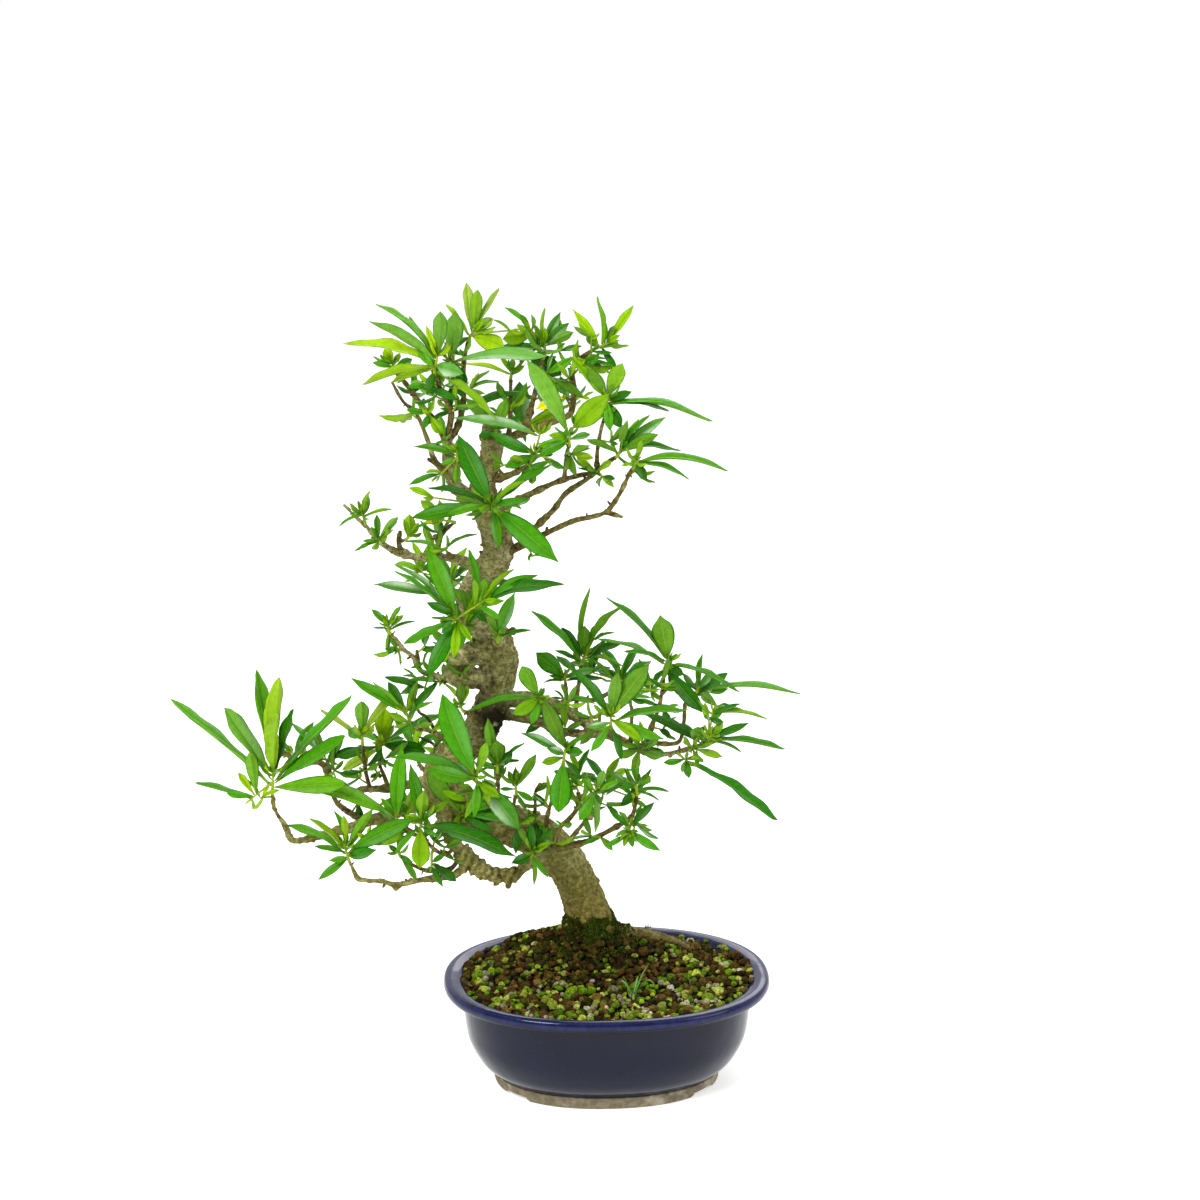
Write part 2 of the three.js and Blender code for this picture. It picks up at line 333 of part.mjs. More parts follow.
    [-156, 187, 9, "m", -0.1], [-228.5, 211.5, 2, "m"], [-213.5, 207, 6.5, "m", -0.25, -211.5, 179],
    [-228.5, 181, 4, "m", -0.3, -211.5, 179], [-247.5, 187.5, 3, "m", 0.1, -211.5, 179],
    [-221, 194, 3.5, "y", 0.2, -211.5, 179]]],
  ["shoot_n1", [-157, 142, -10], [
    [-194, 161, 5, "m"], [-179.5, 165.5, 3, "y"], [-164.5, 170.5, 4, "m"], [-158.5, 167, 4.5, "y", -0.3],
    [-140.5, 171.5, 6.5, "m"], [-177, 147, 3.5, "m", -0.2], [-168.5, 138, 4, "m", -0.4],
    [-175.5, 125, 5, "m"], [-116, 164.5, 10, "m", -0.15], [-138.5, 145, 7, "d", -0.5]]],
  ["shoot_w", [-125.5, 142, -1], [
    [-124, 156, 5, "d", -0.3], [-131.5, 148, 3, "m"], [-117, 135.5, 3, "m", -0.4],
    [-115, 125, 4, "m", -0.1]]],
  ["shoot_v", [-112, 161, -11], [
    [-118, 200, 7.5, "m"], [-109.5, 183, 8, "y", -0.3], [-122, 166.5, 6, "y", -0.3],
    [-94, 176.5, 4, "y"], [-113, 133, 11, "y", -0.25], [-128.5, 141, 4, "m", -0.3],
    [-100, 152.5, 3, "m", -0.4], [-54, 140, 10, "d", -0.2]]],
  ["shoot_v_back", [-127, 165.5, -4], [
    [-122, 213.5, 10, "m", 0], [-182, 187, 9, "m", -0.1], [-136, 178, 4, "m"]]],
  ["shoot_k", [-45, 142, -4], [
    [-54, 160, 5, "d", -0.3], [-46, 163, 5, "d", -0.1], [-33, 158.5, 4.5, "d"], [-34, 149.5, 4, "y", -0.5],
    [-35, 126.5, 3.5, "m"], [-44, 121.5, 3, "m"], [-58, 136, 6, "d", -0.5]]],
  ["shoot_w_low", [-106, 136, -1], [
    [-91, 124.5, 6, "d", -0.2], [-99, 120.5, 4, "m", -0.3], [-97, 143, 3.5, "m", -0.3]]],
];

// Shoots on the far side of the crown fork in three, and each fork carries a whorl of leaves by one rule:
// name, crown, leaves in the middle whorl and their length
const BACK_SHOOTS = [
  ["shoot_back_low_left", [-115, 207, 60], 5, 29],
  ["shoot_back_low_right", [0, 184, 62], 5, 28],
  ["shoot_back_mid_right", [9, 251, 58], 5, 30],
  ["shoot_back_mid_left", [-91.5, 312, 54], 5, 30],
];
const SIDE_FORKS = [
  { reach: new THREE.Vector3(-19, -5, 7), leaves: 4, share: 0.82 },
  { reach: new THREE.Vector3(17, -9, -4), leaves: 4, share: 0.74 },
];
const GOLDEN_ANGLE = THREE.MathUtils.degToRad(137.5);
const WHORL_OPENING = 0.95;
const WHORL_WIDTH = 0.26;
const WHORL_SHORTENING = 0.06;
const WHORL_TURN = 0.7;

// Grass: foot of the tuft on the soil, and blade tips from it
const GRASS_FOOT = new THREE.Vector3(13.3, -39.7, 65);
const GRASS_TIPS = [[9.5, 4, 20], [-6, -2, 15], [15, -5, 6], [4, 9, 11], [-10, 5, 6]];
const GRASS_WIDTH = 2.2;
const GRASS_PEG = { radius: 1.1, depth: 5 };

const UP = new THREE.Vector3(0, 0, 1);

const leafMaterial = material(0x3f8a24, 0.4);
const grassMaterial = material(0x7fae3a, 0.5);
const barkMaterial = material(0x82795a, 0.9);
const soilMaterial = material(0x6b5236, 0.95);
const glazeMaterial = material(0x2d3254, 0.15);
const meshMaterial = material(0x2b2b2b, 0.7);

function material(colour, roughness) {
  return new THREE.MeshStandardMaterial({ color: colour, roughness, metalness: 0 });
}

// Solids

const WELD_DISTANCE = 1e-4;

function welded(geometry) {
  const bare = geometry.clone();
  bare.deleteAttribute("normal");
  bare.deleteAttribute("uv");
  return mergeVertices(bare, WELD_DISTANCE);
}

function toSolid(geometry) {
  const merged = welded(geometry);
  const mesh = new wasm.Mesh({
    numProp: 3,
    vertProperties: new Float32Array(merged.attributes.position.array),
    triVerts: new Uint32Array(merged.index.array),
  });
  return new wasm.Manifold(mesh);
}

function toNode(name, solid, nodeMaterial) {
  const { vertProperties, triVerts } = solid.getMesh();
  const geometry = new THREE.BufferGeometry();
  geometry.setAttribute("position", new THREE.BufferAttribute(vertProperties, 3));
  geometry.setIndex(new THREE.BufferAttribute(triVerts, 1));
  geometry.computeVertexNormals();
  const node = new THREE.Mesh(geometry, nodeMaterial);
  node.name = name;
  return node;
}

function joined(solids) {
  return solids.reduce((whole, solid) => whole.add(solid));
}

function boxesMeet(a, b) {
  return [0, 1, 2].every((k) => a.min[k] <= b.max[k] && b.min[k] <= a.max[k]);
}

// Places

// Limbs reach further forward and back than they are told to, which leaves their seen place alone
function spreadDepth(depth) {
  return MIDDLE_DEPTH + DEPTH_SPREAD * (depth - MIDDLE_DEPTH);
}

function seen(x, z, depth) {
  const sightLine = new THREE.Vector3(x, 0, z).sub(EYE);
  const reach = (depth - EYE.y) / -EYE.y;
  return EYE.clone().addScaledVector(sightLine, reach).applyAxisAngle(UP, -VIEW_TURN);
}

const eyeInPotFrame = EYE.clone().applyAxisAngle(UP, -VIEW_TURN);

// A tube through points with a radius at each, its ends cut square; relief shapes its skin
function tube(points, radii, sides, relief = () => 1) {
  const steps = points.length - 1;
  const geometry = new THREE.CylinderGeometry(1, 1, 1, sides, steps);
  const rings = ringFrames(points);
  const position = geometry.attributes.position;
  const local = new THREE.Vector3();
  for (let i = 0; i < position.count; i += 1) {
    local.fromBufferAttribute(position, i);
    const ring = Math.round((local.y + 0.5) * steps);
    const { side, other } = rings[ring];
    const angle = Math.atan2(local.z, local.x);
    const radius = radii[ring] * relief(angle, ring);
    const place = points[ring].clone();
    place.addScaledVector(side, local.x * radius);
    place.addScaledVector(other, local.z * radius);
    position.setXYZ(i, place.x, place.y, place.z);
  }
  return toSolid(geometry);
}

// Frames along a line that turn as little as they can from one ring to the next
function ringFrames(points) {
  const frames = [];
  let side = null;
  points.forEach((point, i) => {
    const before = points[Math.max(i - 1, 0)];
    const after = points[Math.min(i + 1, points.length - 1)];
    const along = after.clone().sub(before).normalize();
    if (side === null) {
      side = Math.abs(along.x) < 0.7 ? new THREE.Vector3(1, 0, 0) : new THREE.Vector3(0, 1, 0);
    }
    side = side.clone().addScaledVector(along, -side.dot(along)).normalize();
    frames.push({ side, other: side.clone().cross(along), along });
  });
  return frames;
}

// Leaf blades

const BLADE_FORMS = {
  short: [[0.52, 1]],
  plain: [[0.3, 0.76], [0.68, 0.94]],
  large: [[0.24, 0.6], [0.55, 1], [0.81, 0.68]],
};
const SHORT_LENGTH = 15;
const LARGE_LENGTH = 38;
const LARGE_WIDTH = 9;
const BLADE_SIDES = 3;

function bladeForm(length, width) {
  if (length < SHORT_LENGTH) {
    return BLADE_FORMS.short;
  }
  return length > LARGE_LENGTH || width >= LARGE_WIDTH ? BLADE_FORMS.large : BLADE_FORMS.plain;
}

// Turns the blade round its own length until a viewer at EYE sees it seenWidth wide, upper face up
function bladeSide(foot, tip, seenWidth, width) {
  const along = tip.clone().sub(foot).normalize();
  const middle = foot.clone().lerp(tip, 0.5);
  const toEye = eyeInPotFrame.clone().sub(middle).normalize();
  const across = along.clone().cross(toEye).normalize();
  const facing = across.clone().cross(along);
  const cosine = Math.min(seenWidth / width, 1);
  const sine = Math.sqrt(1 - cosine * cosine);
  const turns = [1, -1].map((sign) => {
    const side = across.clone().multiplyScalar(cosine).addScaledVector(facing, sign * sine);
    return { side, normal: side.clone().cross(along) };
  });
  turns.sort((a, b) => Math.abs(b.normal.z) - Math.abs(a.normal.z));
  const { side, normal } = turns[0];
  if (normal.z < 0) {
    side.negate();
    normal.negate();
  }
  return { side, normal };
}

// A blade has a flat upper face and a keel below it, and closes to a point at each end
function blade(foot, tip, seenWidth, trueWidth, extra = 0) {
  const length = foot.distanceTo(tip);
  const form = bladeForm(length, seenWidth);
  const { side, normal } = bladeSide(foot, tip, seenWidth, trueWidth);
  const steps = form.length + 1;
  const stations = [[0, 0], ...form, [1, 0]];
  const geometry = new THREE.CylinderGeometry(1, 1, 1, BLADE_SIDES, steps);
  const position = geometry.attributes.position;
  const local = new THREE.Vector3();
  for (let i = 0; i < position.count; i += 1) {
    local.fromBufferAttribute(position, i);
    const [station, share] = stations[Math.round((local.y + 0.5) * steps)];
    const isOpen = share === 0 ? 0 : 1;
    const corner = -Math.sign(Math.round(local.x * BLADE_SIDES));
    const halfWidth = (trueWidth / 2) * share + extra;
    const drop = corner === 0 ? -BLADE_THICKNESS - extra : LEAF_LIFT * halfWidth + extra;
    const arch = LEAF_ARCH * length * Math.sin(Math.PI * station);
    const place = foot.clone().lerp(tip, station);
    place.addScaledVector(side, isOpen * corner * halfWidth);
    place.addScaledVector(normal, arch + isOpen * drop);
    position.setXYZ(i, place.x, place.y, place.z);
  }
  return toSolid(withoutFlatTriangles(geometry));
}

// The rings that close to a point leave triangles with no area, which are dropped
function withoutFlatTriangles(geometry) {
  const merged = welded(geometry);
  const index = merged.index.array;
  const kept = [];
  for (let i = 0; i < index.length; i += 3) {
    const [a, b, c] = [index[i], index[i + 1], index[i + 2]];
    if (a !== b && b !== c && c !== a) {
      kept.push(a, b, c);
    }
  }
  merged.setIndex(kept);
  return merged;
}

// Pot

const INNER_WALL = [[66, FLOOR_TOP], [77, 17], [82, 34], [84, 58], [89, 64.5]];
const OUTER_WALL = [
  [61, 5], [62, 0], [69, 0], [69.5, 6.7], [68.5, 7.5], [78, 14.5], [85.5, 28], [87.5, 44],
  [87.5, 57], [97, 58.5], [POT_LENGTH / 2, 62], [98.5, 65.2], [95, POT_HEIGHT],
];

function ovalFactor(angle) {
  const cosine = Math.abs(Math.cos(angle)) ** OVAL_POWER;
  const sine = Math.abs(Math.sin(angle)) ** OVAL_POWER;
  return (cosine + sine) ** (-1 / OVAL_POWER);
}

// A body turned round the upright axis and drawn out to the pot's oval
function ovalBody(profile, segments) {
  const outline = profile.map(([halfLength, z]) => new THREE.Vector2(halfLength, z));
  const geometry = new THREE.LatheGeometry(outline, segments);
  const position = geometry.attributes.position;
  for (let i = 0; i < position.count; i += 1) {
    const x = position.getX(i);
    const y = -position.getZ(i);
    const factor = ovalFactor(Math.atan2(y, x));
    position.setXYZ(i, x * factor, y * factor * DEPTH_TO_LENGTH, position.getY(i));
  }
  return geometry;
}

function makePot() {
  const profile = [[0, 5], ...OUTER_WALL, ...INNER_WALL.toReversed(), [0, FLOOR_TOP]];
  let pot = toSolid(withoutFlatTriangles(ovalBody(profile, POT_SEGMENTS)));
  for (const x of [-DRAIN_X, DRAIN_X]) {
    const drain = new THREE.CylinderGeometry(DRAIN_RADIUS, DRAIN_RADIUS, POT_HEIGHT, 14);
    drain.rotateX(Math.PI / 2);
    drain.translate(x, 0, 0);
    pot = pot.subtract(toSolid(drain));
  }
  for (const x of [-FOOT_NOTCH.x, FOOT_NOTCH.x]) {
    const notch = new THREE.BoxGeometry(FOOT_NOTCH.width, POT_LENGTH, 2 * FOOT_NOTCH.height);
    notch.translate(x, 0, 0);
    pot = pot.subtract(toSolid(notch));
  }
  return pot;
}

const DRAIN_MESH = { side: 26, thickness: 0.9, opening: 8, pitch: 11 };

function makeDrainageMesh(x) {
  const { side, thickness, opening, pitch } = DRAIN_MESH;
  const middle = FLOOR_TOP + GAP + thickness / 2;
  const sheet = new THREE.BoxGeometry(side, side, thickness);
  sheet.translate(x, 0, middle);
  let mesh = toSolid(sheet);
  for (const column of [-0.5, 0.5]) {
    for (const row of [-0.5, 0.5]) {
      const hole = new THREE.BoxGeometry(opening, opening, 2 * thickness);
      hole.translate(x + column * pitch, row * pitch, middle);
      mesh = mesh.subtract(toSolid(hole));
    }
  }
  return mesh;
}

// Soil

function seededNoise(a, b) {
  const value = Math.sin(a * 12.9898 + b * 78.233) * 43758.5453;
  return 2 * (value - Math.floor(value)) - 1;
}

function soilHeight(x, y) {
  const across = (x - MOUND_CENTRE.x) / MOUND_SPREAD.x;
  const deep = (y - MOUND_CENTRE.y) / MOUND_SPREAD.y;
  const toWall = Math.hypot(x / 86, y / (86 * DEPTH_TO_LENGTH));
  const held = Math.max(1 - toWall ** 4, 0);
  const mound = MOUND_HEIGHT * held * Math.exp(-0.5 * (across * across + deep * deep));
  const fromCollar = Math.hypot((x - COLLAR.x) / COLLAR.spreadX, (y - COLLAR.y) / COLLAR.spreadY);
  return SOIL_EDGE + mound + COLLAR.height * Math.exp(-0.5 * fromCollar * fromCollar);
}

function makeSoil(cutters) {
  const wall = INNER_WALL.slice(0, -1).map(([halfLength, z]) => [halfLength - GAP, z + GAP]);
  const rings = [86, 76, 65, 53, 41, 28, 14].map((halfLength) => [halfLength, SOIL_EDGE]);
  const profile = [[0, FLOOR_TOP + GAP], ...wall, ...rings, [0, SOIL_EDGE]];
  const geometry = ovalBody(profile, POT_SEGMENTS);
  const position = geometry.attributes.position;
  for (let i = 0; i < position.count; i += 1) {
    if (position.getZ(i) !== SOIL_EDGE) {
      continue;
    }
    const [x, y] = [position.getX(i), position.getY(i)];
    const [column, row] = [Math.round(x * 50), Math.round(y * 50)];
    const grain = Math.hypot(x, y) < 1 ? 0 : GRAIN_RELIEF * seededNoise(column, row);
    position.setZ(i, soilHeight(x, y) + grain);
  }
  const soil = toSolid(withoutFlatTriangles(geometry));
  return cutters.reduce((rest, cutter) => rest.subtract(cutter), soil);
}

function meshPocket(x) {
  const side = DRAIN_MESH.side + 2 * GAP;
  const pocket = new THREE.BoxGeometry(side, side, 2 * (DRAIN_MESH.thickness + 2 * GAP));
  pocket.translate(x, 0, FLOOR_TOP);
  return toSolid(pocket);
}

// Wood

const limbs = new Map();

function makeLimbLine(name, startRadius, endRadius, line) {
  const lengths = [0];
  const points = line.map(([x, z, depth]) => seen(x, z, depth));
  for (let i = 1; i < points.length; i += 1) {
    lengths.push(lengths[i - 1] + points[i].distanceTo(points[i - 1]));
  }
  const thinning = lengths.map((length) => (1 - length / lengths.at(-1)) ** LIMB_TAPER);
  const radii = thinning.map((share) => endRadius + (startRadius - endRadius) * share);
  limbs.set(name, { line, points, radii });
}

// The place on a parent's line nearest to (x, z) as seen, with its depth
function nearestOn(parentName, x, z) {
  const { line } = limbs.get(parentName);
  let best = null;
  for (let i = 1; i < line.length; i += 1) {
    const [ax, az, aDepth] = line[i - 1];
    const [bx, bz, bDepth] = line[i];
    const lengthSquared = (bx - ax) ** 2 + (bz - az) ** 2;
    const share = ((x - ax) * (bx - ax) + (z - az) * (bz - az)) / lengthSquared;
    const t = THREE.MathUtils.clamp(share, 0, 1);
    const near = [ax + t * (bx - ax), az + t * (bz - az), aDepth + t * (bDepth - aDepth)];
    const distance = Math.hypot(near[0] - x, near[1] - z);
    if (best === null || distance < best.distance) {
      best = { near, distance };
    }
  }
  return best.near;
}

function layOutWood() {
  const trunkLine = TRUNK.map(([x, z, depth]) => [x, z, depth]);
  makeLimbLine("trunk", 1, 1, trunkLine);
  limbs.get("trunk").radii = TRUNK.map((row) => row[3]);
  for (const [name, parent, startRadius, endRadius, endDepth, route] of LIMBS) {
    const start = nearestOn(parent, route[0][0], route[0][1]);
    const toDepth = name.startsWith("root_") ? (depth) => depth : spreadDepth;
    const end = toDepth(endDepth);
    const last = route.length - 1;
    const line = route.map(([x, z, depth], i) => {
      const even = start[2] + ((end - start[2]) * i) / last;
      return [x, z, depth === undefined ? even : toDepth(depth)];
    });
    line[0] = start;
    makeLimbLine(name, startRadius, endRadius, line);
  }
}

function limbSides(radius) {
  if (radius > 4.5) {
    return 6;
  }
  if (radius > 1.45) {
    return radius > 2.6 ? 5 : 4;
  }
  return 3;
}

function limbTube(name, extra = 0) {
  const { points, radii } = limbs.get(name);
  return tube(points, radii.map((radius) => radius + extra), limbSides(radii[0]));
}

function barkRelief(angle, ring) {
  return 1 + 0.07 * Math.sin(3 * angle + 0.9 * ring) + 0.04 * Math.sin(5 * angle - 1.7 * ring);
}

// The trunk goes down into the soil as a plain round peg
function trunkTube(extra = 0) {
  const { points, radii } = limbs.get("trunk");
  const foot = new THREE.Vector3(points[0].x, points[0].y, PEG_FOOT.z - extra);
  const grown = [PEG_FOOT.radius, ...radii].map((radius) => radius + extra);
  const relief = (angle, ring) => (ring < 2 ? 1 : barkRelief(angle, ring));
  return tube([foot, ...points], grown, TRUNK_SIDES, relief);
}

// Leafy shoots

const placed = [];

function place(owner, solid) {
  placed.push({ owner, solid, box: solid.boundingBox() });
}

function isClear(owner, probe) {
  const box = probe.boundingBox();
  const neighbours = placed.filter((other) => other.owner !== owner && boxesMeet(box, other.box));
  return neighbours.every((other) => other.solid.intersect(probe).isEmpty());
}

// The nearest point of any limb's line, and the straight way out of the wood from there
function seatOn(crown) {
  let best = null;
  for (const [name, { points, radii }] of limbs) {
    points.forEach((point, i) => {
      const distance = point.distanceTo(crown) - radii[i];
      if (best === null || distance < best.distance) {
        best = { name, points, radii, i, distance };
      }
    });
  }
  const { points, radii, i } = best;
  const isEnd = i === points.length - 1;
  const before = points[Math.max(i - 1, 0)];
  const along = (isEnd ? points[i] : points[i + 1]).clone().sub(before).normalize();
  if (isEnd) {
    return { seat: points[i].clone().addScaledVector(along, GAP), out: along };
  }
  const towards = crown.clone().sub(points[i]);
  const out = towards.addScaledVector(along, -towards.dot(along)).normalize();
  return { seat: points[i].clone().addScaledVector(out, radii[i] + GAP), out };
}

function feetSpan(count) {
  return Math.min(LEAF_SPACING * Math.max(count - 1, 1), LONGEST_FEET_SPAN);
}

// Leaves stand one above another on the end of their stem, from a little below its crown
function footOn(tuft, i) {
  const { crown, heading, below, group } = tuft;
  const share = group.length > 1 ? i / (group.length - 1) : 0;
  return crown.clone().addScaledVector(heading, feetSpan(group.length) * share - below);
}

function feetBelow(count, freeLength) {
  return Math.min(FEET_BELOW * feetSpan(count), Math.max(freeLength - BUD_LENGTH / 2, 0));
}

function greenStem(crown, count) {
  const { seat, out } = seatOn(crown);
  const shoulder = seat.clone().addScaledVector(out, SHOULDER);
  const heading = crown.clone().sub(shoulder).normalize();
  const below = feetBelow(count, crown.distanceTo(shoulder));
  const bud = crown.clone().addScaledVector(heading, feetSpan(count) - below + BUD_LENGTH);
  const stem = tube([seat, shoulder, bud], [STEM_RADIUS, STEM_RADIUS, STEM_END_RADIUS], STEM_SIDES);
  return { stem, heading, below };
}

function trueWidth(seenWidth, length) {
  return Math.max(seenWidth, LEAST_WIDTH_TO_LENGTH * length);
}

// A leaf keeps its seen place. Where it would cross another node its tip moves nearer or further,
// and of the ways that are clear it takes the one that crosses the fewest leaves of its own shoot.
function clearLeaf(owner, foot, tipX, tipZ, footDepth, seenWidth, lean) {
  const reach = seen(tipX, tipZ, footDepth).distanceTo(foot);
  const own = placed.filter((part) => part.owner === owner);
  let best = null;
  for (const bend of BENDS) {
    const tip = seen(tipX, tipZ, footDepth + (lean + bend) * reach);
    const width = trueWidth(seenWidth, foot.distanceTo(tip));
    if (!isClear(owner, blade(foot, tip, seenWidth, width, LEAF_CLEARANCE))) {
      continue;
    }
    const outerPart = blade(foot.clone().lerp(tip, CROWDED_SHARE), tip, seenWidth, width);
    const box = outerPart.boundingBox();
    const touching = own.filter((part) => boxesMeet(box, part.box));
    const crossed = touching.filter((part) => !part.solid.intersect(outerPart).isEmpty()).length;
    if (best === null || crossed < best.crossed) {
      best = { crossed, tip, width };
    }
    if (crossed === 0) {
      break;
    }
  }
  return best === null ? null : blade(foot, best.tip, seenWidth, best.width);
}

// A shoot's green stem, and the branchlets that lead to leaves with a foot of their own.
// Leaves seen on edge are too fine for faceted solids.
function makeStems([name, [x, z, givenDepth], allLeaves]) {
  const leaves = allLeaves.filter(([, , seenWidth]) => seenWidth > LEAST_SEEN_WIDTH);
  const depth = spreadDepth(givenDepth);
  const crown = seen(x, z, depth);
  const ownFoot = ([, , , , , footX, footZ]) => (footX === undefined ? "crown" : `${footX} ${footZ}`);
  const groups = Map.groupBy(leaves, ownFoot);
  const { stem, heading, below } = greenStem(crown, groups.get("crown")?.length ?? 1);
  const stems = [stem];
  const tufts = [];
  for (const [key, group] of groups) {
    if (key === "crown") {
      tufts.push({ crown, heading, below, group });
      continue;
    }
    const foot = seen(group[0][5], group[0][6], depth);
    const outward = foot.clone().sub(crown).normalize();
    const footBelow = feetBelow(group.length, foot.distanceTo(crown));
    const beyond = feetSpan(group.length) - footBelow + BUD_LENGTH;
    const bud = foot.clone().addScaledVector(outward, beyond);
    stems.push(tube([crown, bud], [BRANCHLET_RADIUS, BUD_RADIUS], STEM_SIDES));
    tufts.push({ crown: foot, heading: outward, below: footBelow, group });
  }
  stems.forEach((part) => place(name, part));
  return { name, crown, depth, tufts, parts: stems };
}

// The leaves that spread widest stand lowest on the stem
function fromWidest({ crown, heading, group }, depth) {
  const leaves = group.map(([tipX, tipZ, seenWidth, , lean], i) => {
    const ownLean = lean ?? TIP_DEPTHS[i % TIP_DEPTHS.length];
    const reach = seen(tipX, tipZ, depth).distanceTo(crown);
    const tip = seen(tipX, tipZ, depth + ownLean * reach);
    const closeness = tip.sub(crown).normalize().dot(heading);
    return { tipX, tipZ, seenWidth, lean: ownLean, closeness };
  });
  return leaves.sort((a, b) => a.closeness - b.closeness);
}

function addLeaves({ name, depth, tufts, parts }) {
  for (const tuft of tufts) {
    fromWidest(tuft, depth).forEach(({ tipX, tipZ, seenWidth, lean }, i) => {
      const foot = footOn(tuft, i);
      const leaf = clearLeaf(name, foot, tipX, tipZ, depth, seenWidth, lean);
      if (leaf !== null) {
        parts.push(leaf);
        place(name, leaf);
      }
    });
  }
}

// A whorl opens away from the viewer, so it rounds the crown at its back
function addWhorl({ name, parts }, foot, count, length, firstAngle) {
  const outward = new THREE.Vector3(0, 1, 0.35).normalize();
  const level = new THREE.Vector3(1, 0, 0);
  const rise = level.clone().cross(outward);
  const width = WHORL_WIDTH * length;
  for (let i = 0; i < count; i += 1) {
    const angle = firstAngle + i * GOLDEN_ANGLE;
    const reach = length * (1 - WHORL_SHORTENING * i);
    const spread = level.clone().multiplyScalar(Math.cos(angle)).addScaledVector(rise, Math.sin(angle));
    const heading = outward.clone().addScaledVector(spread, WHORL_OPENING).normalize();
    const tip = foot.clone().addScaledVector(heading, reach);
    if (isClear(name, blade(foot, tip, width * WHORL_TURN, width, LEAF_CLEARANCE))) {
      const leaf = blade(foot, tip, width * WHORL_TURN, width);
      parts.push(leaf);
      place(name, leaf);
    }
  }
}

function addBackLeaves(shoot, count, length) {
  addWhorl(shoot, shoot.crown, count, length, 0);
  SIDE_FORKS.forEach(({ reach, leaves, share }, i) => {
    const foot = shoot.crown.clone().add(reach);
    const bud = foot.clone().addScaledVector(reach.clone().normalize(), BUD_LENGTH);
    const branchlet = tube([shoot.crown, bud], [BRANCHLET_RADIUS, BUD_RADIUS], STEM_SIDES);
    if (isClear(shoot.name, branchlet)) {
      shoot.parts.push(branchlet);
      place(shoot.name, branchlet);
      addWhorl(shoot, foot, leaves, share * length, i + 1);
    }
  });
}

function makeGrass() {
  const under = GRASS_FOOT.clone().setZ(GRASS_FOOT.z - GRASS_PEG.depth);
  const top = GRASS_FOOT.clone().setZ(GRASS_FOOT.z + 2.5);
  const parts = [tube([under, top], [GRASS_PEG.radius, GRASS_PEG.radius], 6)];
  for (const [dx, dy, dz] of GRASS_TIPS) {
    const tip = GRASS_FOOT.clone().add(new THREE.Vector3(dx, dy, dz));
    parts.push(blade(GRASS_FOOT, tip, GRASS_WIDTH, GRASS_WIDTH));
  }
  return joined(parts);
}

function grassHole() {
  const under = GRASS_FOOT.clone().setZ(GRASS_FOOT.z - GRASS_PEG.depth - GAP);
  const above = GRASS_FOOT.clone().setZ(POT_HEIGHT + 10);
  const radius = GRASS_PEG.radius + GAP;
  return tube([under, above], [radius, radius], 6);
}

// The whole

layOutWood();
const woodParts = [trunkTube(), ...LIMBS.map(([name]) => limbTube(name))];
woodParts.forEach((part) => place("wood", part));

const rootNames = LIMBS.map(([name]) => name).filter((name) => name.startsWith("root_"));
const rootGrooves = rootNames.map((name) => limbTube(name, GAP));
const pockets = [-DRAIN_X, DRAIN_X].map(meshPocket);
const soil = makeSoil([trunkTube(GAP), ...rootGrooves, grassHole(), ...pockets]);
const pot = makePot();
place("soil", soil);
place("pot", pot);
const grass = makeGrass();
place("grass_seedling", grass);

const bonsai = new THREE.Group();
bonsai.add(toNode("pot", pot, glazeMaterial));
bonsai.add(toNode("drainage_mesh_left", makeDrainageMesh(-DRAIN_X), meshMaterial));
bonsai.add(toNode("drainage_mesh_right", makeDrainageMesh(DRAIN_X), meshMaterial));
bonsai.add(toNode("soil", soil, soilMaterial));
bonsai.add(toNode("wood", joined(woodParts), barkMaterial));
bonsai.add(toNode("grass_seedling", grass, grassMaterial));

const shoots = SHOOTS.map(makeStems);
const backShoots = BACK_SHOOTS.map(([name, crown]) => makeStems([name, crown, []]));
shoots.forEach(addLeaves);
backShoots.forEach((shoot, i) => addBackLeaves(shoot, BACK_SHOOTS[i][2], BACK_SHOOTS[i][3]));
for (const { name, parts } of [...shoots, ...backShoots]) {
  bonsai.add(toNode(name, joined(parts), leafMaterial));
}

// The origin is under the middle of the whole, on the surface that the foot stands on
const bounds = new THREE.Box3().setFromObject(bonsai);
const middle = bounds.getCenter(new THREE.Vector3());
bonsai.position.set(-middle.x, -middle.y, -bounds.min.z);

export default bonsai;
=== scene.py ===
"""Gardenia bonsai in an oval glazed pot: bark, leaves, soil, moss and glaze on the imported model.

Places are worked out in millimetres from the pot's centre and turned into metres as a mesh is made.
"""

import math
import random

import bmesh
import bpy
import numpy as np
from mathutils import Matrix, Vector, noise
from mathutils.bvhtree import BVHTree


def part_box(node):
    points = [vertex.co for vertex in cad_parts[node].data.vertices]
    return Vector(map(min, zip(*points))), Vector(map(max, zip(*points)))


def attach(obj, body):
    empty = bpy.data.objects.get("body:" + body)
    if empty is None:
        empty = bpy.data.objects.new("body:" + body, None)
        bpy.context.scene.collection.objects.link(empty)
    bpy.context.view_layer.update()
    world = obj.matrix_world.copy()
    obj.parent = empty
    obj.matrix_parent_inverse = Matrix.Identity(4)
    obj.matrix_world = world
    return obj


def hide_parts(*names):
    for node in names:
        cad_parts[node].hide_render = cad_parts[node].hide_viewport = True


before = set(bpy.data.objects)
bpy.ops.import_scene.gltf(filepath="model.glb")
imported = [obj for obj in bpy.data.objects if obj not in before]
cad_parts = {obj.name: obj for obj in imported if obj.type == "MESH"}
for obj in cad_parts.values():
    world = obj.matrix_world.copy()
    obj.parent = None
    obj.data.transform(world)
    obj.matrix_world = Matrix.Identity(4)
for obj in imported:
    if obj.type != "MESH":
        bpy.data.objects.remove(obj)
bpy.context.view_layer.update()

MM = 0.001
pot_low, pot_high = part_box("pot")
